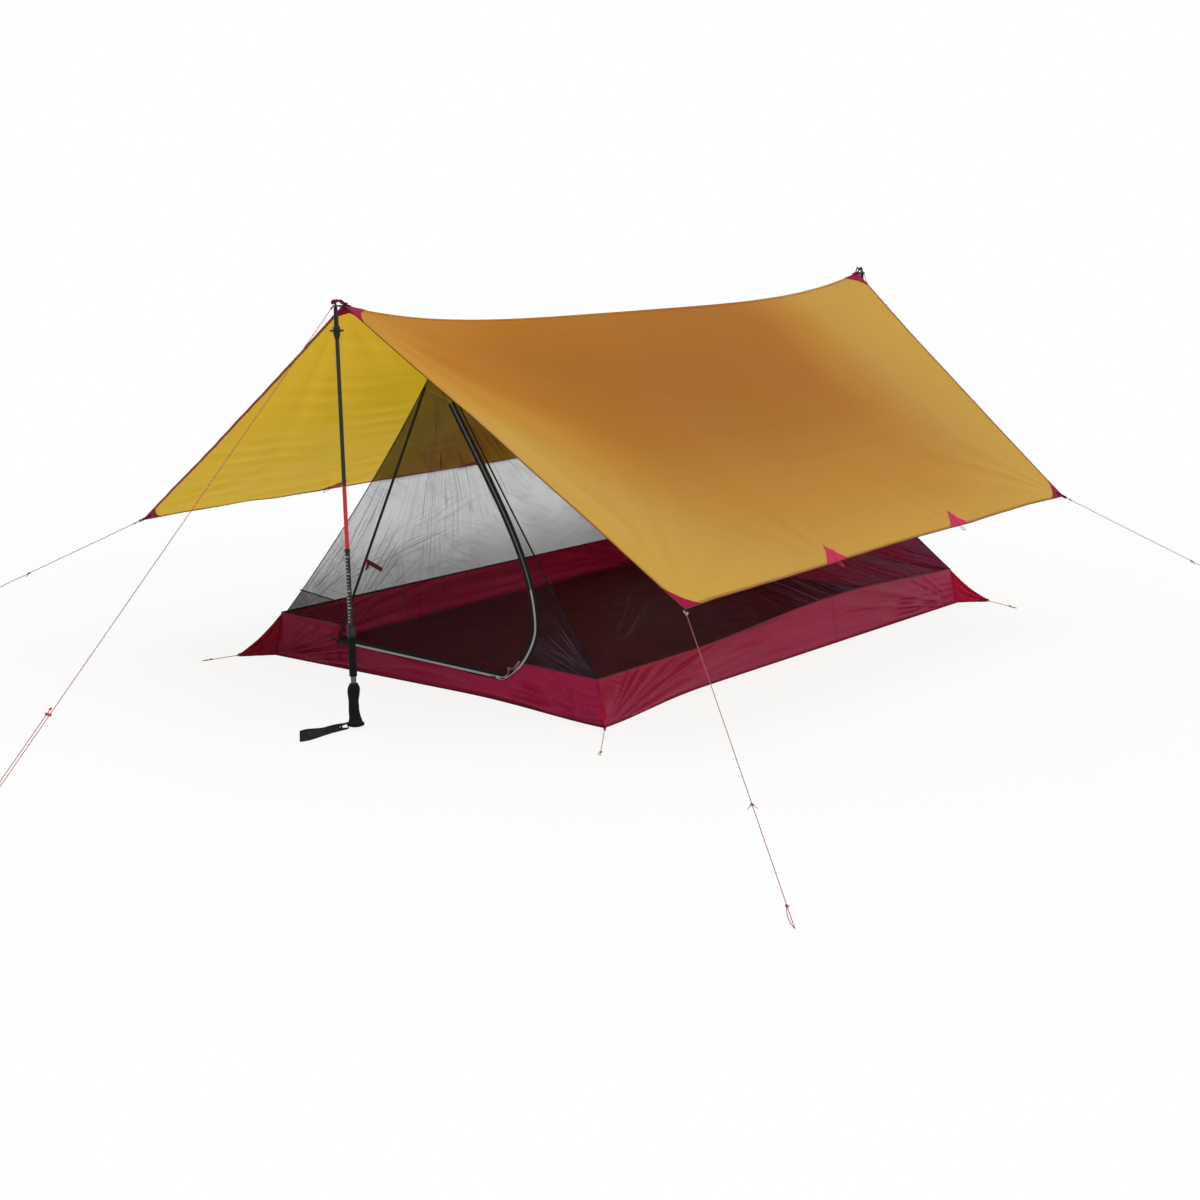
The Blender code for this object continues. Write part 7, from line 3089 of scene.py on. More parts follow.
    def build_side_net(self, side: Side) -> None:
        """A sloping netting panel, with the soft waves of slack netting.

        Args:
            side: The side of the shelter.
        """
        f = self.finishes
        across = np.linspace(0.0, 1.0, 130)
        up = np.linspace(0.0, 1.0, 80)
        points = self.side_net_points(side, across, up)
        folds = (Ripples(81 + side.value, 0.34, 0.0035, 0.5, 0.5), Ripples(84 + side.value, 0.12, 0.0012, 0.3, 0.5))
        slope = np.linspace(0.0, 1.0, 80)[:, None] * 0.95
        held = np.sin(math.pi * up)[:, None] ** 0.6 * np.sin(math.pi * across)[None, :] ** 0.5
        lift = total_lift(folds, points[..., 1], slope + 0 * points[..., 1]) * held
        points = points + unit(np.array((side.value * 0.75, 0.0, 0.6))) * lift[..., None]
        uv = np.stack((points[..., 1], slope + 0 * points[..., 1]), axis=-1)
        name = side.name.lower()
        material = f.net_side if side is Side.RIGHT else f.net_far
        net = grid_piece("%s_netting" % name, points, uv, material, self.net)
        settle(net, Body.SHELTER, Slot.NETTING, "inner_mesh_" + name)
        area = grid_area(points)

    def end_net(
        self, name: str, end: End, heights: Array, left: Array, right: Array, seed: int, material: Material
    ) -> Piece:
        """An upright netting panel between two edges, each an x for every height.

        Args:
            name: The piece's name.
            end: The end of the shelter.
            heights: The heights of its rows.
            left: The left edge's X at each height.
            right: The right edge's X at each height.
            seed: Fixes its waves.
            material: Its finish.

        Returns:
            The new object.
        """
        across = np.linspace(0.0, 1.0, 90)[None, :]
        x = mix(left[:, None], right[:, None], across)
        height = heights[:, None] + 0 * x
        rise = (heights - heights[0]) / (heights[-1] - heights[0])
        held = np.sin(math.pi * rise)[:, None] ** 0.6 * np.sin(math.pi * across) ** 0.6
        folds = (Ripples(seed, 0.22, 0.0018, 0.7, 0.5), Ripples(seed + 1, 0.09, 0.0007, 0.6, 0.5))
        lift = total_lift(folds, x, height) * held
        points = self.shape.on_end(end, x, height)
        points[..., 1] += end.value * lift
        uv = np.stack((x, height), axis=-1)
        return grid_piece(name, points, uv, material)

    def build_front_nets(self) -> None:
        """The fixed netting on each side of the door."""
        s = self.shape
        f = self.finishes
        top = s.peak[0] - s.seam_top_drop
        zip_top = s.peak[0] - s.door_top[1]
        low = np.linspace(s.front_left_wall + 0.0005, top, 90)
        outer = s.hip(low, Side.LEFT, End.FRONT)
        field_part = self.end_net("part", End.FRONT, low, -outer, s.seam_x(low) - 0.001, 91, f.net_left)
        high = np.concatenate((np.linspace(zip_top + 0.003, top, 16)[:-1], np.linspace(top, s.peak[0] - 0.002, 24)))
        zip_hip = float(s.hip(zip_top, Side.RIGHT, End.FRONT))
        slant = mix(zip_hip - 0.002, s.seam_top_x - 0.001, (high - zip_top) / (top - zip_top))
        left = np.where(high < top, slant, -s.hip(high, Side.LEFT, End.FRONT))
        cap = self.end_net("part", End.FRONT, high, left, s.hip(high, Side.RIGHT, End.FRONT), 93, f.net_left)
        net = joined("front_left_netting", [field_part, cap])
        give_thickness(net, self.net)
        settle(net, Body.SHELTER, Slot.NETTING, "inner_mesh_front_left")
        area = float(np.trapz(s.seam_x(low) + outer, low))
        area += float(np.trapz(s.hip(high, Side.RIGHT, End.FRONT) - left, high))

        edge = s.beside_route(0.0030)
        upright = edge[:80]
        heights = np.linspace(s.wall + 0.0006, zip_top - 0.001, 90)
        inner = np.interp(heights, upright[::-1, 1], upright[::-1, 0])
        outer = np.maximum(s.hip(heights, Side.RIGHT, End.FRONT), inner + 0.0008)
        right = self.end_net("front_right_netting", End.FRONT, heights, inner, outer, 95, f.net_right)
        give_thickness(right, self.net)
        settle(right, Body.SHELTER, Slot.NETTING, "inner_mesh_front_right")
        area = float(np.trapz(outer - inner, heights))

    def build_rear_panel(self) -> None:
        """The triangular cloth panel above the rear wall, with the folds that its seams pull in it."""
        s = self.shape
        heights = np.linspace(s.wall + 0.0006, s.peak[1] - 0.002, 110)
        half = s.hip(heights, Side.RIGHT, End.REAR)
        across = np.linspace(0.0, 1.0, 170)[None, :]
        x = mix(-half[:, None], half[:, None], across)
        height = heights[:, None] + 0 * x
        wide = float(half[0])
        folds: tuple[Fold, ...] = (
            Fan((wide, s.wall), math.pi - 0.42, 0.55, 30.0, 0.26, 0.0085, 0.4),
            Fan((-wide, s.wall), 0.42, 0.55, 30.0, 0.26, 0.0085, 1.1),
            Ripples(97, 0.16, 0.0022, 0.9, 0.4),
        )
        rise = (height - s.wall) / (s.peak[1] - s.wall)
        held = ease(rise * 14) * ease((1 - rise) * 8) * np.sin(math.pi * across) ** 0.35
        points = s.on_end(End.REAR, x, height)
        points[..., 1] += (total_lift(folds, x, height) + 0.004 * np.sin(math.pi * rise)) * held
        uv = np.stack((x, height), axis=-1)
        panel = grid_piece("rear_panel_cloth", points, uv, self.finishes.wall, self.cloth)
        settle(panel, Body.SHELTER, Slot.CRIMSON, "inner_panel_rear")

    def build_seams(self) -> None:
        """The bound seams over the hips, the inner ridge and beside the door."""
        s = self.shape
        f = self.finishes
        parts = []
        for end in End:
            outward = unit(np.array((0.0, end.value * 0.8, 0.4)))
            for side in Side:
                heights = np.linspace(s.corner(side, end), s.peak[int(end.share)], 60)
                line = s.on_end(end, side.value * np.maximum(s.hip(heights, side, end), 0.0), heights, 0.0008)
                width = self.hip_width if end is End.REAR else self.front_hip_width
                facing = unit(outward + np.array((side.value * 0.5, 0, 0)))
                parts.append(ribbon("part", line, facing, width, 0.0014, f.seam_tape))
        line = s.ridge(np.linspace(0.0, 1.0, 60)) + UP * 0.0008
        parts.append(ribbon("part", line, UP, self.seam_width, 0.0014, f.seam_tape))
        heights = np.linspace(s.threshold_left - 0.002, s.peak[0] - s.seam_top_drop + 0.002, 50)
        line = s.on_end(End.FRONT, s.seam_x(heights) - 0.003, heights, 0.0010)
        parts.append(ribbon("part", line, np.array((0.0, -1.0, 0.03)), 0.010, 0.0012, f.seam_tape))
        cross = np.stack((np.linspace(-0.562, -0.300, 20), np.linspace(0.2325, 0.207, 20)), axis=-1)
        inside = cross[cross[:, 0] < s.seam_x(cross[:, 1]) - 0.004]
        line = s.on_end(End.FRONT, inside[:, 0], inside[:, 1], 0.0008)
        parts.append(ribbon("part", line, np.array((0.0, -1.0, 0.03)), 0.004, 0.0010, f.seam_tape))
        seams = joined("netting_seams", parts)
        settle(seams, Body.SHELTER, Slot.WEBBING)

    def build_peak_strap(self, end: End) -> None:
        """The strap from a peak of the inner tent to the ridge tab, with its small buckle.

        Args:
            end: The end of the shelter.
        """
        f = self.finishes
        peak = self.shape.ridge(end.share) + UP * 0.0008
        hook = self.tarp.tab_centre(end) - UP * 0.0023
        hook[1] -= end.value * self.tarp.tab_reach / 2
        t = np.linspace(0.0, 1.0, 30)[:, None]
        path = mix(peak, hook, t)
        way = unit(hook - peak)
        up = unit(np.cross(np.array((1.0, 0.0, 0.0)), way))
        name = "peak_strap_" + end.label
        strap = ribbon(name + "_webbing", path, up, 0.010, 0.0012, f.black_webbing)
        settle(strap, Body.SHELTER, Slot.WEBBING, name)
        middle = mix(peak, hook, 0.30)
        place = placement(middle, way, up)
        outer = [(-0.011, -0.008), (0.011, -0.008), (0.011, 0.008), (-0.011, 0.008)]
        slots = []
        for x in (-0.0055, 0.0035):
            slots.append([(x, -0.0056), (x + 0.0030, -0.0056), (x + 0.0030, 0.0056), (x, 0.0056)])
        buckle = plate(name + "_buckle", [outer, *slots], 0.0034, place, f.black_plastic, 0.0008)
        settle(buckle, Body.SHELTER, Slot.BLACK_PLASTIC)

    def build(self) -> None:
        """Make every fixed piece of the inner tent."""
        for end in End:
            self.build_end_wall(end)
        for side in Side:
            self.build_side_wall(side)
        self.build_floor()
        for side in Side:
            self.build_side_net(side)
        self.build_front_nets()
        self.build_rear_panel()
        self.build_seams()
        for end in End:
            self.build_peak_strap(end)
        thread = self.finishes.red_thread
        rows = self.beads.make("wall_stitches", self.red_rows, self.stitch_pitch, self.stitch_size, thread)
        settle(rows, Body.SHELTER, Slot.CRIMSON)


@dataclass
class Door:
    """The netting door, its two-sided zip and the toggle that ties it back."""

    finishes: Finishes
    beads: SeamBeads
    inner: InnerTent
    tape_width: float = 0.0125
    slider: tuple[float, float, float] = (0.016, 0.009, 0.003)
    slider_half: tuple[float, float] = (0.0078, 0.0044)
    slider_taper: float = 0.22
    upper_coil: tuple[float, float, float] = (0.0024, 0.0046, 0.0034)
    upper_pitch: float = 0.0019
    lower_coil: tuple[float, float, float] = (0.0030, 0.0086, 0.0042)
    lower_pitch: float = 0.0021
    toggle_spot: tuple[float, float] = (-0.243, 0.354)

    def build_net(self) -> None:
        """The door's netting, between its seam and its free edge."""
        s = self.inner.shape
        edge = s.beside_route(-0.0030)
        distance = lengths_along(edge)
        turn = distance[88] / distance[-1]
        count = 150
        along = np.linspace(0.0, 1.0, count)
        free = resample(edge, count)
        top = s.peak[0] - s.seam_top_drop - 0.004
        low = s.threshold_left + 0.003
        level = np.where(along < turn, along / turn * 0.84, 0.84 + (along - turn) / (1 - turn) * 0.16)
        heights = mix(top, low, level)
        seam = np.stack((s.seam_x(heights) + 0.001, heights), axis=-1)
        across = np.linspace(0.0, 1.0, 90)[:, None, None]
        flat = mix(seam[None], free[None], across)
        x, height = flat[..., 0], flat[..., 1]
        held = np.sin(math.pi * across[..., 0]) ** 0.6 * np.sin(math.pi * along)[None, :] ** 0.6
        folds = (Ripples(101, 0.24, 0.0022, 0.9, 0.5), Ripples(102, 0.09, 0.0008, 0.9, 0.5))
        points = s.on_end(End.FRONT, x, height)
        points[..., 1] -= total_lift(folds, x, height) * held
        net = grid_piece("door_netting", points, flat, self.finishes.net_door, self.inner.net)
        settle(net, Body.DOOR, Slot.NETTING, "door_mesh")
        area = grid_area(points)

    def build_zip(self) -> None:
        """The tape on each side of the zip, and the coil between them."""
        s = self.inner.shape
        f = self.finishes
        face = np.array((0.0, -1.0, 0.03))
        middle = self.tape_width / 2 + 0.0008
        for name, side, body in (("zip_tape_fixed", 1, Body.SHELTER), ("zip_tape_door", -1, Body.DOOR)):
            line = s.beside_route(side * middle)
            if side > 0:
                low = ease((0.20 - line[:, 1]) / 0.12)[:, None]
                line = mix(line, s.beside_route(0.0042), low)
            path = s.on_end(End.FRONT, line[:, 0], line[:, 1], 0.0012 if side < 0 else 0.0004)
            tape = ribbon(name, resample(path, 150), face, self.tape_width, 0.0010, f.zip_tape)
            settle(tape, body, Slot.ZIP)
        line = s.route()
        path = resample(s.on_end(End.FRONT, line[:, 0], line[:, 1], 0.0018), 320)
        turn = int(np.argmin(np.abs(path[:, 2] - 0.36)))
        rows = [(path[: turn + 1], face)]
        # The upper run of the coil is drawn in the darker copy: painted shade.
        upper = self.beads.make("zip_coil_upper", rows, self.upper_pitch, self.upper_coil, f.dark_coil)
        settle(upper, Body.SHELTER, Slot.ZIP)
        lower_path = path[turn:] + np.array((0.0, -0.0004, -0.0012))
        rows = [(lower_path, face)]
        lower = self.beads.make("zip_coil_lower", rows, self.lower_pitch, self.lower_coil, f.coil)
        settle(lower, Body.SHELTER, Slot.ZIP, "door_zip")
        end = s.on_end(End.FRONT, s.door_left_x, s.threshold_left, 0.0085)
        stub = np.array((end + np.array((0.046, 0, -0.001)), end - np.array((0.026, 0, -0.003))))
        tab = ribbon("zip_end_tab", resample(stub, 6), face, 0.0125, 0.0016, f.black_webbing)
        settle(tab, Body.SHELTER, Slot.WEBBING)

    def build_slider(self) -> None:
        """The slider, with its pull and its short cord."""
        s = self.inner.shape
        f = self.finishes
        start = s.on_end(End.FRONT, s.door_corner_x, s.threshold)
        finish = s.on_end(End.FRONT, s.door_left_x, s.threshold_left)
        way = unit(finish - start)
        centre = start + way * self.slider[0] + np.array((0.0, -0.0040, -self.slider[1] / 2 + 0.0022))
        place = placement(centre, way, (0.0, -1.0, 0.0))
        long, wide = self.slider_half
        outline = []
        for i in range(32):
            ahead, up = squared(2 * math.pi * i / 32, 0.6)
            outline.append((long * ahead, wide * up * (1.0 - self.slider_taper * max(0.0, ahead))))
        body = plate("zip_slider_body", [outline], self.slider[2], place, f.metal, 0.0007)
        out = np.array((0.0, -1.0, 0.0))
        knots = ((-0.005, 0.0012), (-0.003, 0.0034), (0.003, 0.0034), (0.005, 0.0012))
        bridge_path = round_curve([centre + way * a + out * b for a, b in knots], 6)
        bridge = tube("part", bridge_path, 0.0007, f.metal, 8)
        slider = joined("zip_slider_metal", [body, bridge])
        settle(slider, Body.ZIP_PULL, Slot.METAL, "zip_slider")
        self.build_pull(centre + out * 0.0034)

    def build_pull(self, hang: Array) -> None:
        """The slider's short cord with its knot.

        Args:
            hang: Where it hangs from the slider.
        """
        f = self.finishes
        knots = []
        for x, z in (
            (0.0, 0.0), (0.020, -0.002), (0.040, 0.006), (0.058, 0.020), (0.074, 0.038), (0.086, 0.056), (0.090, 0.063),
            (0.086, 0.063), (0.078, 0.053), (0.066, 0.040), (0.056, 0.036),
            (0.048, 0.040), (0.044, 0.034), (0.048, 0.026),
            (0.034, 0.010), (0.012, 0.003), (0.0, 0.001),
        ):
            knots.append(hang + np.array((x, -0.0032 - 0.05 * abs(x - 0.05), z)))
        pull = tube("zip_pull_cord", round_curve(knots, 7), 0.0010, f.pull, 8)
        settle(pull, Body.ZIP_PULL, Slot.CORD)
        spot = hang + np.array((0.089, -0.0054, 0.063))
        profile = [(0.0030 * math.sin(math.pi * i / 10) ** 0.6 + 0.0002, -0.0042 + 0.0084 * i / 10) for i in range(11)]
        knot = turned("zip_pull_knot", profile, placement(spot, np.array((1.0, 0.0, 0.0)), UP), f.stake, 14)
        settle(knot, Body.ZIP_PULL, Slot.CORD)

    def build_toggle(self) -> None:
        """The toggle strap on the door: a folded webbing with a red loop and a barrel."""
        s = self.inner.shape
        f = self.finishes
        x, height = self.toggle_spot
        centre = s.on_end(End.FRONT, x, height, 0.0030)
        right = np.array((1.0, 0.0, 0.0))
        out = np.array((0.0, -1.0, 0.0))
        slant = unit(np.array((1.0, 0.0, -0.33)))
        across = unit(np.cross(slant, out))
        knots = ((-0.034, 0.0), (-0.014, 0.0012), (0.012, 0.0), (0.036, 0.0))
        path = round_curve([centre + slant * a + out * b for a, b in knots], 8)
        strap = ribbon("door_toggle_webbing", path, out, 0.0130, 0.0016, f.black_webbing)
        edges = []
        for sign in (-1.0, 1.0):
            edges.append(ribbon("part", path + across * 0.0064 * sign + out * 0.0004, out, 0.0026, 0.0020, f.red_edge))
        low = np.array((-0.56, 0.0, -0.83))
        root = centre - slant * 0.017 + out * 0.0022
        tail_path = resample(np.array((root, root + low * 0.012 + out * 0.001, root + low * 0.029)), 10)
        tail = ribbon("door_toggle_tail", tail_path, out, 0.0075, 0.0014, f.black_webbing)
        top = centre - slant * 0.030 + out * 0.002
        fold_path = resample(np.array((top, centre - slant * 0.026 + out * 0.002 - UP * 0.021)), 8)
        flap = ribbon("door_toggle_flap", fold_path, out, np.linspace(0.003, 0.014, 8), 0.0012, f.rose_webbing)
        settle(flap, Body.DOOR, Slot.WEBBING)
        edging = joined("door_toggle_edging", edges)
        loop_knots = (
            (0.030, 0.0022, 0.0), (0.008, 0.0030, 0.002), (-0.020, 0.0034, 0.001), (-0.026, 0.0036, 0.0),
            (-0.020, 0.0034, -0.001), (0.008, 0.0030, -0.002), (0.030, 0.0022, 0.0),
        )
        loop_path = round_curve([centre + slant * a + out * b + across * c for a, b, c in loop_knots], 8)
        loop = tube("door_toggle_loop", loop_path, 0.0009, f.black_thread, 8)
        profile = []
        for i in range(13):
            t = i / 12
            profile.append((0.0026 * math.sin(math.pi * t) ** 0.35 + 0.0002, mix(-0.0075, 0.0075, t)))
        turn = placement(centre - slant * 0.022 + out * 0.0044, right, UP)
        barrel = turned("door_toggle_barrel", profile, turn, f.black_plastic, 20)
        settle(strap, Body.DOOR, Slot.WEBBING, "door_toggle")
        settle(tail, Body.DOOR, Slot.WEBBING)
        settle(edging, Body.DOOR, Slot.WEBBING)
        settle(loop, Body.DOOR, Slot.CORD)
        settle(barrel, Body.DOOR, Slot.BLACK_PLASTIC)

    def build(self) -> None:
        """Make the door and everything on it."""
        self.build_net()
        self.build_zip()
        self.build_slider()
        self.build_toggle()


# Trekking poles


@dataclass
class TrekkingPole:
    """One telescoping pole, handle down, with its tip in the ridge tab."""

    finishes: Finishes
    end: End
    foot: tuple[float, float, float]
    axis: tuple[float, float, float]
    tip_height: float
    strap_heading: float
    basket_drop: float = 0.0915
    basket_radius: float = 0.0205
    tip_length: float = 0.115
    lower_radius: float = 0.0060
    lower_length: float = 0.700
    lower_in_middle: float = 0.088
    middle_radius: float = 0.0070
    middle_in_handle: float = 0.065
    upper_radius: float = 0.0080
    upper_top: float = 0.2850
    clamp: tuple[float, float] = (0.2658, 0.3034)
    clamp_radius: float = 0.0125
    sleeve_bottom: float = 0.1504
    sleeve_radius: float = 0.0118
    sleeve_grooves: int = 13
    groove_depth: float = 0.0007
    grip_top: float = 0.1304
    flange_radius: float = 0.0265
    flange_height: float = 0.0104
    dome_radius: float = 0.060
    lever_height: float = 0.022
    lever_thickness: float = 0.0030
    lever_arc: tuple[float, float] = (-60.0, 90.0)
    strap_length: float = 0.195
    strap_webbing: float = 0.0026
    strap_slit: float = 0.0030
    strap_height: float = 0.022
    keeper_half: tuple[float, float] = (0.0062, 0.31)
    gap: float = 0.0003

    def __post_init__(self) -> None:
        """Work out the pole's placement and length."""
        axis = Vector(self.axis).normalized()
        y_axis = axis.cross(Vector((1.0, 0.0, 0.0))).normalized()
        self.place = placement(self.foot, y_axis.cross(axis), axis)
        self.length = (self.tip_height - self.foot[2]) / axis.z
        self.lower_top = self.length - self.tip_length - self.gap
        self.middle_top = self.lower_top - self.lower_length + self.lower_in_middle

    def name(self, part: str) -> str:
        """The name of one of this pole's nodes."""
        return "pole_%s_%s" % (self.end.label, part)

    def body(self, part: str) -> Body:
        """One of this pole's bodies."""
        return Body[(self.end.label + "_" + part).upper()]

    def build_tip(self) -> None:
        """The bright point, the plastic taper and the basket."""
        f = self.finishes
        top = self.length
        point = [
            (0.0009, top), (0.0016, top - 0.0015), (0.0019, top - 0.004),
            (0.0026, top - 0.006), (0.0026, top - 0.020),
        ]
        metal = turned(self.name("tip_point"), point, self.place, f.carbide, 20)
        settle(metal, Body.SHELTER, Slot.METAL)
        drop = self.basket_drop
        taper = [
            (0.0028, top - 0.0060), (0.0032, top - 0.0075), (0.0033, top - 0.0150), (0.0033, top - 0.0222),
            (0.0054, top - 0.0230), (0.0060, top - 0.034), (0.0064, top - 0.046), (0.0068, top - 0.060),
            (0.0072, top - drop + 0.014), (0.0092, top - drop + 0.012), (0.0104, top - drop + 0.009),
            (0.0106, top - drop + 0.003), (0.0100, top - drop + 0.002), (0.0104, top - drop - 0.005),
            (0.0098, top - drop - 0.012), (0.0084, top - drop - 0.017), (0.0075, top - self.tip_length + 0.003),
            (0.0071, top - self.tip_length),
            (0.0002, top - self.tip_length),
        ]
        body = turned(self.name("tip_body"), taper, self.place, f.black_plastic, 28)
        r = self.basket_radius
        h = top - drop
        dish = [
            (0.0098, h + 0.0042), (0.0125, h + 0.0036), (r - 0.003, h + 0.0022), (r, h + 0.0026), (r, h - 0.0020),
            (r - 0.0015, h - 0.0026), (r - 0.004, h - 0.0020), (0.0125, h - 0.0026), (0.0102, h - 0.0040), (0.0095, h),
        ]

        def notched(angle: Array, height: float) -> Array:
            """Six shallow notches in the basket's rim."""
            return 1.0 - 0.10 * ease((np.cos(6 * angle) - 0.55) / 0.45)

        basket = turned(self.name("tip_basket"), dish, self.place, f.black_plastic, 72, True, notched)
        tip = joined(self.name("tip_plastic"), [body, basket])
        settle(tip, Body.SHELTER, Slot.BLACK_PLASTIC, self.name("tip"))

    def build_lower(self) -> None:
        """The lower tube, with the red band."""
        f = self.finishes
        low = self.lower_top - self.lower_length
        lower = [(self.lower_radius - 0.0006, self.lower_top), (self.lower_radius, self.lower_top - 0.0006)]
        for t in np.linspace(0.05, 0.95, 10):
            lower.append((self.lower_radius, mix(self.lower_top, low, t)))
        lower += [(self.lower_radius, low + 0.0006), (self.lower_radius - 0.0006, low)]
        band = (self.middle_top - 0.004, self.middle_top + 0.184)
        shaft = turned(self.name("lower_tube"), lower, self.place, f.lower_shaft(band), 28)
        settle(shaft, Body.SHELTER, Slot.DARK_SHAFT, self.name("lower_shaft"))

    def build_middle(self) -> None:
        """The middle tube, with the scale marks and the collar."""
        f = self.finishes
        middle_low = self.clamp[0] - self.middle_in_handle
        bore = self.lower_radius + self.gap
        r = self.middle_radius
        middle = [(bore, self.middle_top - 0.001), (r, self.middle_top - 0.0002), (r, self.middle_top - 0.0095)]
        for t in np.linspace(0.1, 0.9, 8):
            middle.append((r, mix(self.middle_top - 0.010, middle_low, t)))
        middle += [(r, middle_low + 0.0003), (r - 0.0003, middle_low), (bore, middle_low)]
        marks = (self.clamp[1] + 0.004, self.middle_top - 0.022)
        tube_piece = turned(self.name("middle_tube"), middle, self.place, f.middle_shaft(marks), 28, True)
        settle(tube_piece, self.body("middle"), Slot.GRADUATED_SHAFT, self.name("middle_shaft"))
        top = self.middle_top
        ring = [
            (r + 0.0001, top - 0.0100), (r + 0.0008, top - 0.0100),
            (r + 0.0010, top - 0.0092), (r + 0.0010, top - 0.0060),
            (r + 0.0007, top - 0.0056), (r + 0.0010, top - 0.0052), (r + 0.0010, top - 0.0008), (r + 0.0006, top),
            (bore, top), (bore, top - 0.0006), (r + 0.0001, top - 0.0010),
        ]
        collar = turned(self.name("middle_collar"), ring, self.place, f.black_plastic, 28, True)
        settle(collar, self.body("middle"), Slot.BLACK_PLASTIC)

    def build_upper(self) -> None:
        """The bare upper tube, which reaches down through the sleeve into the grip."""
        u = self.upper_radius
        inside = self.middle_radius + self.gap
        upper = [
            (inside, self.upper_top), (u - 0.0003, self.upper_top), (u, self.upper_top - 0.0003), (u, 0.20), (u, 0.15),
            (u, 0.13), (u, 0.0125), (inside, 0.0125),
        ]
        bare = turned(self.name("upper_tube"), upper, self.place, self.finishes.upper_shaft(), 28, True)
        settle(bare, self.body("handle"), Slot.GREY_SHAFT, self.name("upper_shaft"))

    def build_clamp(self) -> None:
        """The clamp's body with its lips, and the lever round it."""
        f = self.finishes
        low, high = self.clamp[0] + self.gap, self.clamp[1]
        r = self.clamp_radius
        inner = self.upper_radius + self.gap
        seat = self.upper_top + self.gap
        narrow = self.middle_radius + self.gap
        profile = [
            (narrow, high), (r - 0.0030, high), (r - 0.0022, high - 0.0010), (r - 0.0018, high - 0.0040),
            (r - 0.0002, high - 0.0052), (r - 0.0002, high - 0.0070), (r - 0.0012, high - 0.0078),
            (r - 0.0012, low + 0.0088), (r - 0.0002, low + 0.0080), (r, low + 0.0060), (r - 0.0008, low + 0.0012),
            (r - 0.0018, low), (inner, low), (inner, seat), (narrow, seat),
        ]
        body = turned(self.name("clamp_body"), profile, self.place, f.black_plastic, 36, True)
        settle(body, self.body("handle"), Slot.BLACK_PLASTIC, self.name("clamp"))
        near = r + self.gap
        far = near + self.lever_thickness
        start, pin = (math.radians(v) for v in self.lever_arc)
        round_end = self.lever_thickness / 2
        there = [mix(start, pin, i / 24) for i in range(25)]
        back = [mix(pin, start, i / 24) for i in range(25)]
        outline = [(far * math.cos(a), far * math.sin(a)) for a in there]
        between = (near + far) / 2
        for i in range(1, 8):
            a = pin + math.pi * i / 8
            outline.append((between * math.cos(pin) + round_end * math.cos(a), between + round_end * math.sin(a)))
        outline += [(near * math.cos(a), near * math.sin(a)) for a in back]
        middle = (self.clamp[0] + self.clamp[1]) / 2
        place = self.place @ Matrix.Translation((0.0, 0.0, middle))
        lever = plate(self.name("lever_arm"), [outline], self.lever_height, place, f.lever, 0.0008)
        settle(lever, self.body("lever"), Slot.LEVER, self.name("clamp_lever"))

    def build_sleeve(self) -> None:
        """The ridged foam sleeve under the clamp."""
        r = self.sleeve_radius
        bore = self.upper_radius + self.gap
        low, high = self.sleeve_bottom, self.clamp[0]
        profile = [(bore, high), (r - 0.0016, high), (r - 0.0004, high - 0.0012)]
        steps = self.sleeve_grooves * 4
        for i in range(steps + 1):
            height = mix(high - 0.004, low + 0.004, i / steps)
            groove = self.groove_depth * (0.5 - 0.5 * math.cos(2 * math.pi * i / 4))
            profile.append((r - groove, height))
        profile += [(r - 0.0004, low + 0.0012), (r - 0.0016, low), (bore, low)]
        sleeve = turned(self.name("sleeve_foam"), profile, self.place, self.finishes.foam, 32, True)
        settle(sleeve, self.body("handle"), Slot.FOAM, self.name("foam_sleeve"))

    def build_grip(self) -> None:
        """The handle: shaped foam with finger swells and a wide domed end."""
        top = self.grip_top
        levels = [
            (0.0128, top), (0.0134, top - 0.004), (0.0166, top - 0.009), (0.0190, top - 0.018), (0.0186, top - 0.030),
            (0.0166, top - 0.042), (0.0156, top - 0.054), (0.0158, top - 0.066), (0.0164, top - 0.078),
            (0.0170, top - 0.090), (0.0178, top - 0.100), (0.0196, top - 0.1085), (0.0216, top - 0.1140),
            (self.flange_radius - 0.0012, self.flange_height + 0.0028),
            (self.flange_radius, self.flange_height + 0.0002),
        ]
        knots = np.array(levels)
        smooth = round_curve(knots, 4)
        profile = [(self.upper_radius + self.gap, top - 0.001), (0.0118, top)]
        profile += [(float(r), float(h)) for r, h in smooth]
        for share in (0.97, 0.9, 0.75, 0.5, 0.25, 0.0):
            radius = self.flange_radius * share
            profile.append((radius, self.dome_radius - math.sqrt(self.dome_radius**2 - radius**2)))

        def shaped(angle: Array, height: float) -> Array:
            """A slightly oval handle with shallow finger hollows on one side.

            Args:
                angle: Turns round the handle, in radians.
                height: The height on it.

            Returns:
                The factor for its radius.
            """
            body = ease((height - 0.022) / 0.02) * ease((top - height) / 0.02)
            oval = 1.0 - 0.06 * body * np.sin(angle) ** 2
            finger = 0.5 + 0.5 * math.cos(2 * math.pi * height / 0.026)
            hollow = 0.035 * body * finger * ease(np.cos(angle - 1.2) * 1.4)
            bend = 0.17 * body * math.sin(math.pi * max(0.0, min(1.0, height / top))) ** 2 * np.cos(angle - 3.79)
            return oval - hollow + bend

        grip = turned(self.name("grip_foam"), profile, self.place, self.finishes.foam, 48, False, shaped)
        settle(grip, self.body("handle"), Slot.FOAM, self.name("grip"))

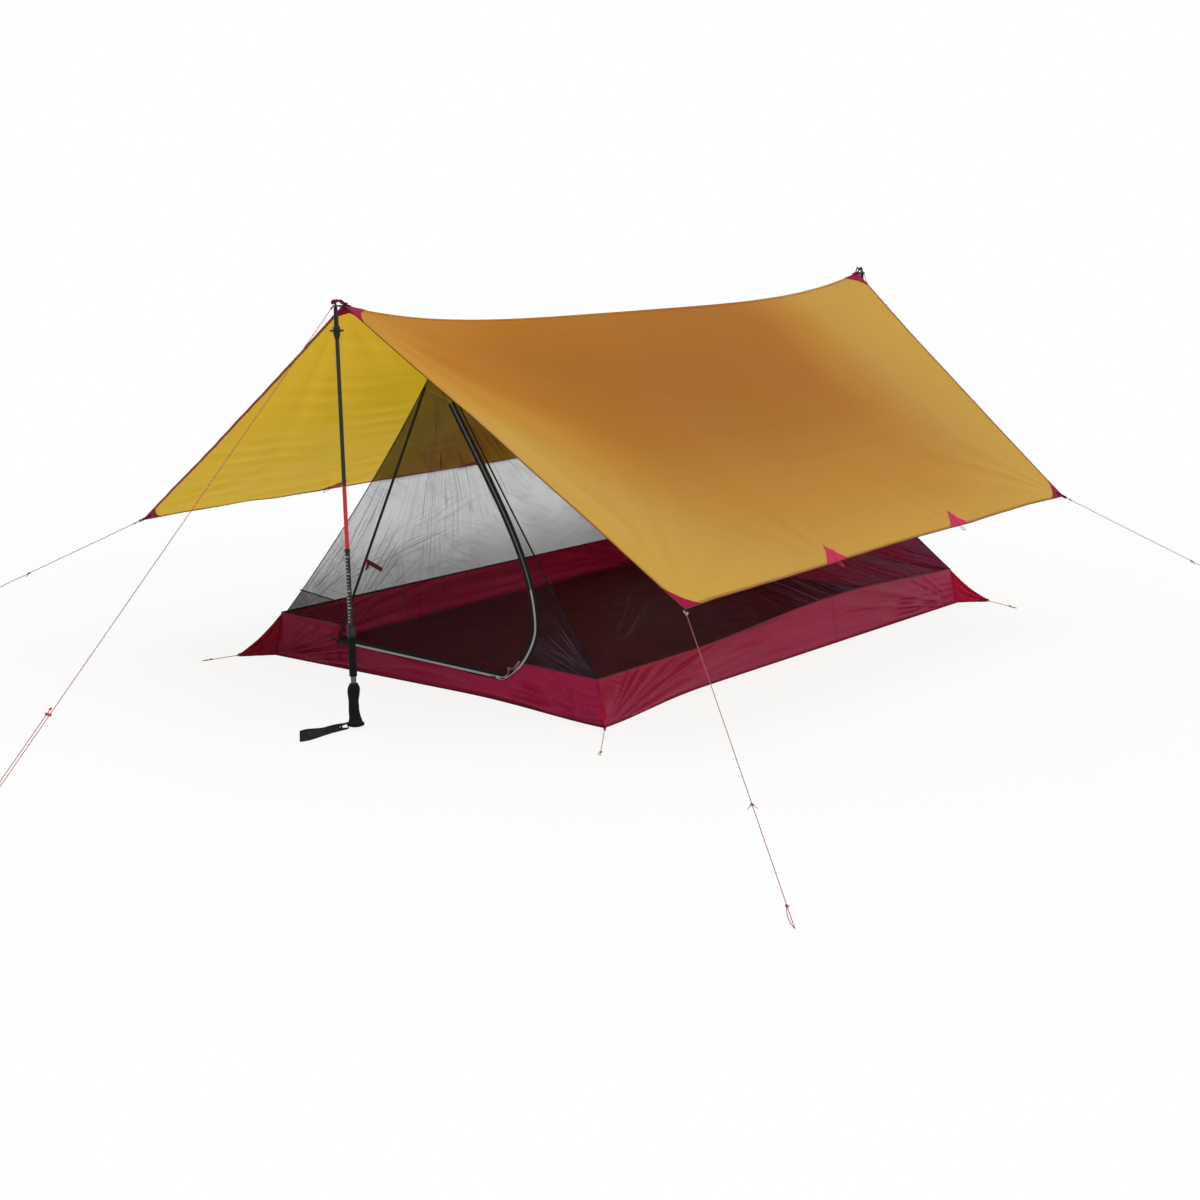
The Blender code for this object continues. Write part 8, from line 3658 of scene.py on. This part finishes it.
    def build_strap(self) -> None:
        """The wrist strap: webbing folded on edge, with its keeper."""
        f = self.finishes
        heading = math.radians(self.strap_heading)
        way = np.array((math.cos(heading), math.sin(heading), 0.0))
        side = np.cross(UP, way)
        rim = np.array(self.place @ Vector((0.0, 0.0, self.flange_height)))
        near = np.array((rim[0], rim[1], 0.0)) + way * (self.flange_radius + self.gap)
        middle = self.strap_height / 2 + self.gap
        half = self.strap_slit / 2 + self.strap_webbing / 2
        length = self.strap_length
        knots = []
        for share in np.linspace(0.0, 1.0, 12)[1:-1]:
            belly = 0.0011 * math.sin(share * 9.0) + 0.0050 * math.sin(math.pi * share**2.2)
            knots.append((share * length, half + belly))
        back = [(share, -offset * 0.7 + 0.0008 * math.sin(share * 70.0)) for share, offset in knots[::-1]]
        outline = [(0.004, half * 0.8), *knots, (length - 0.003, half * 0.7), (length - 0.0013, 0.0)]
        outline.append((length - 0.003, -half * 0.7))
        outline += [*back, (0.004, -half * 0.8), (0.0014, 0.0)]
        closed = np.array([*outline, outline[0]])
        flat = round_curve(closed, 5)[:-1]
        path = near + way * flat[:, :1] + side * flat[:, 1:2]
        path[:, 2] = middle
        loop = np.vstack((path, path[:1]))
        up = unit(np.cross(UP, tangents(loop)))
        reach = (loop - near) @ way / length
        tall = self.strap_height * mix(0.24, 1.0, ease(reach / 0.50)) * (1.0 + 0.46 * ease((reach - 0.45) / 0.50))
        loop[:, 2] = np.maximum(middle, tall / 2 + 0.0003) + 0.0012 * np.sin(reach * 5.2) * ease(reach * 5) + 0.0014
        leg = np.tanh(((loop - near) @ side) / 0.0015)
        loop[:, 2] += np.where(leg < 0, 0.0075, 0.0080) * -leg * (1.0 - ease(reach / 0.50))
        loop[:, 2] = np.maximum(loop[:, 2], tall / 2 + 0.0004)
        strap = ribbon(self.name("strap_webbing"), loop, up, tall, self.strap_webbing - 0.0006, f.black_webbing)
        settle(strap, self.body("strap"), Slot.WEBBING, self.name("wrist_strap"))
        keeper = near + way * 0.036
        around = []
        for i in range(29):
            out, up_share = squared(2 * math.pi * i / 28, 0.4)
            y = self.keeper_half[0] * out
            z = self.strap_height * self.keeper_half[1] * up_share
            around.append(keeper + side * y + UP * (z + middle + 0.0022))
        ring = np.array(around)
        facing = unit(ring - (keeper + UP * middle))
        band = ribbon(self.name("strap_keeper"), ring, facing, 0.007, 0.0009, f.black_webbing)
        settle(band, self.body("strap"), Slot.WEBBING)

    def build(self) -> None:
        """Make the whole pole."""
        self.build_tip()
        self.build_lower()
        self.build_middle()
        self.build_upper()
        self.build_clamp()
        self.build_sleeve()
        self.build_grip()
        self.build_strap()


# Studio


@dataclass
class Studio:
    """The camera, the pale floor and the soft lights."""

    azimuth: float = 36.947
    elevation: float = 11.756
    roll: float = 0.511
    position: tuple[float, float, float] = (5.2099, -7.1729, 2.0068)
    lens: float = 79.19
    shift: tuple[float, float] = (0.00806, -0.01559)
    floor_size: float = 160.0
    floor_fade: tuple[float, float, float] = (1.5, 4.2, 0.87)
    sky: float = 0.46
    top_lamp: float = 1.35
    side_lamp: float = 1.10

    def build_camera(self) -> None:
        """The camera at the photograph's place."""
        a, e, r = (math.radians(v) for v in (self.azimuth, self.elevation, self.roll))
        forward = Vector((-math.sin(a) * math.cos(e), math.cos(a) * math.cos(e), -math.sin(e)))
        right = Vector((math.cos(a), math.sin(a), 0.0))
        up = right.cross(forward)
        x = right * math.cos(r) + up * math.sin(r)
        y = up * math.cos(r) - right * math.sin(r)
        data = bpy.data.cameras.new("camera")
        data.lens = self.lens
        data.sensor_width = 36.0
        data.shift_x, data.shift_y = self.shift
        data.clip_end = 300.0
        camera = bpy.data.objects.new("camera", data)
        turn = Matrix((x, y, -forward)).transposed().to_4x4()
        camera.matrix_world = Matrix.Translation(self.position) @ turn
        bpy.context.scene.collection.objects.link(camera)
        bpy.context.scene.camera = camera

    def build_floor(self) -> None:
        """The pale floor, which fades to plain white away from the shelter."""
        sheet = MaterialSheet("pale floor")
        b = sheet.board
        b.feed((0.80, 0.80, 0.80, 1.0), sheet.shader.inputs["Base Color"])
        sheet.set(Roughness=0.85)
        sheet.shader.inputs["Specular IOR Level"].default_value = 0.1
        start, finish, least = self.floor_fade
        far = b.remap(b.length(sheet.object), start, finish, least, 1.0)
        seen = b.seen()
        glow = b.add("ShaderNodeEmission")
        glow.inputs["Color"].default_value = (1.0, 1.0, 1.0, 1.0)
        glow.inputs["Strength"].default_value = 1.0
        both = b.add("ShaderNodeMixShader")
        b.feed(b.sum("MULTIPLY", seen, far), both.inputs[0])
        b.feed(sheet.shader.outputs[0], both.inputs[1])
        b.feed(glow.outputs[0], both.inputs[2])
        b.feed(both.outputs[0], sheet.output.inputs["Surface"])
        half = self.floor_size / 2
        edge = np.linspace(-half, half, 3)
        points = vec(edge[None, :], edge[:, None], -0.0002)
        floor = grid_piece("studio_floor", points, points[..., :2], sheet.material)

    def build_world(self) -> None:
        """Even pale light all round, plain white to the camera."""
        world = bpy.data.worlds.new("studio light")
        world.use_nodes = True
        bpy.context.scene.world = world
        board = Board(world.node_tree)
        light = world.node_tree.nodes["Background"]
        light.inputs["Color"].default_value = (1.0, 1.0, 1.0, 1.0)
        light.inputs["Strength"].default_value = self.sky
        seen_white = board.add("ShaderNodeBackground")
        seen_white.inputs["Color"].default_value = (1.0, 1.0, 1.0, 1.0)
        seen_white.inputs["Strength"].default_value = 1.0
        seen = board.seen()
        both = board.add("ShaderNodeMixShader")
        board.feed(seen, both.inputs[0])
        board.feed(light.outputs[0], both.inputs[1])
        board.feed(seen_white.outputs[0], both.inputs[2])
        board.feed(both.outputs[0], world.node_tree.nodes["World Output"].inputs["Surface"])

    def build_lamp(self, name: str, strength: float, spread: float, heading: tuple[float, float, float]) -> None:
        """A soft far lamp that shines along a heading.

        Args:
            name: The lamp's name.
            strength: Its strength.
            spread: How wide it looks, in degrees.
            heading: The direction of its light.
        """
        data = bpy.data.lights.new(name, "SUN")
        data.energy = strength
        data.angle = math.radians(spread)
        lamp = bpy.data.objects.new(name, data)
        lamp.rotation_euler = Vector(heading).to_track_quat("-Z", "Y").to_euler()
        bpy.context.scene.collection.objects.link(lamp)

    def build(self) -> None:
        """Set up the view and the light."""
        bpy.context.scene.view_settings.view_transform = "Standard"
        self.build_camera()
        self.build_floor()
        self.build_world()
        self.build_lamp("top lamp", self.top_lamp, 60.0, (0.12, -0.15, -0.98))
        self.build_lamp("side lamp", self.side_lamp, 34.0, (-0.75, -0.45, -0.48))


def main() -> None:
    """Build the studio, the cords, the tarp, the inner tent and the poles."""
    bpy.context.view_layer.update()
    Studio().build()
    effects = Effects()
    finishes = Finishes(effects)
    beads = SeamBeads()
    tarp = Tarp(finishes, beads)
    GuyLines(tarp).build()
    tarp.build()
    inner = InnerTent(finishes, beads, tarp)
    inner.build()
    Door(finishes, beads, inner).build()
    front = TrekkingPole(
        finishes, End.FRONT, (0.15250, -1.58839, 0.00095), (-0.123733, 0.079827, 0.989100), 1.240, -94.0
    )
    rear = TrekkingPole(
        finishes, End.REAR, (0.0, 1.50595, 0.00038), (0.0, -0.052347, 0.998629), 1.145, 62.0
    )
    front.build()
    rear.build()
    bpy.context.view_layer.update()


if __name__ == "__main__":
    main()
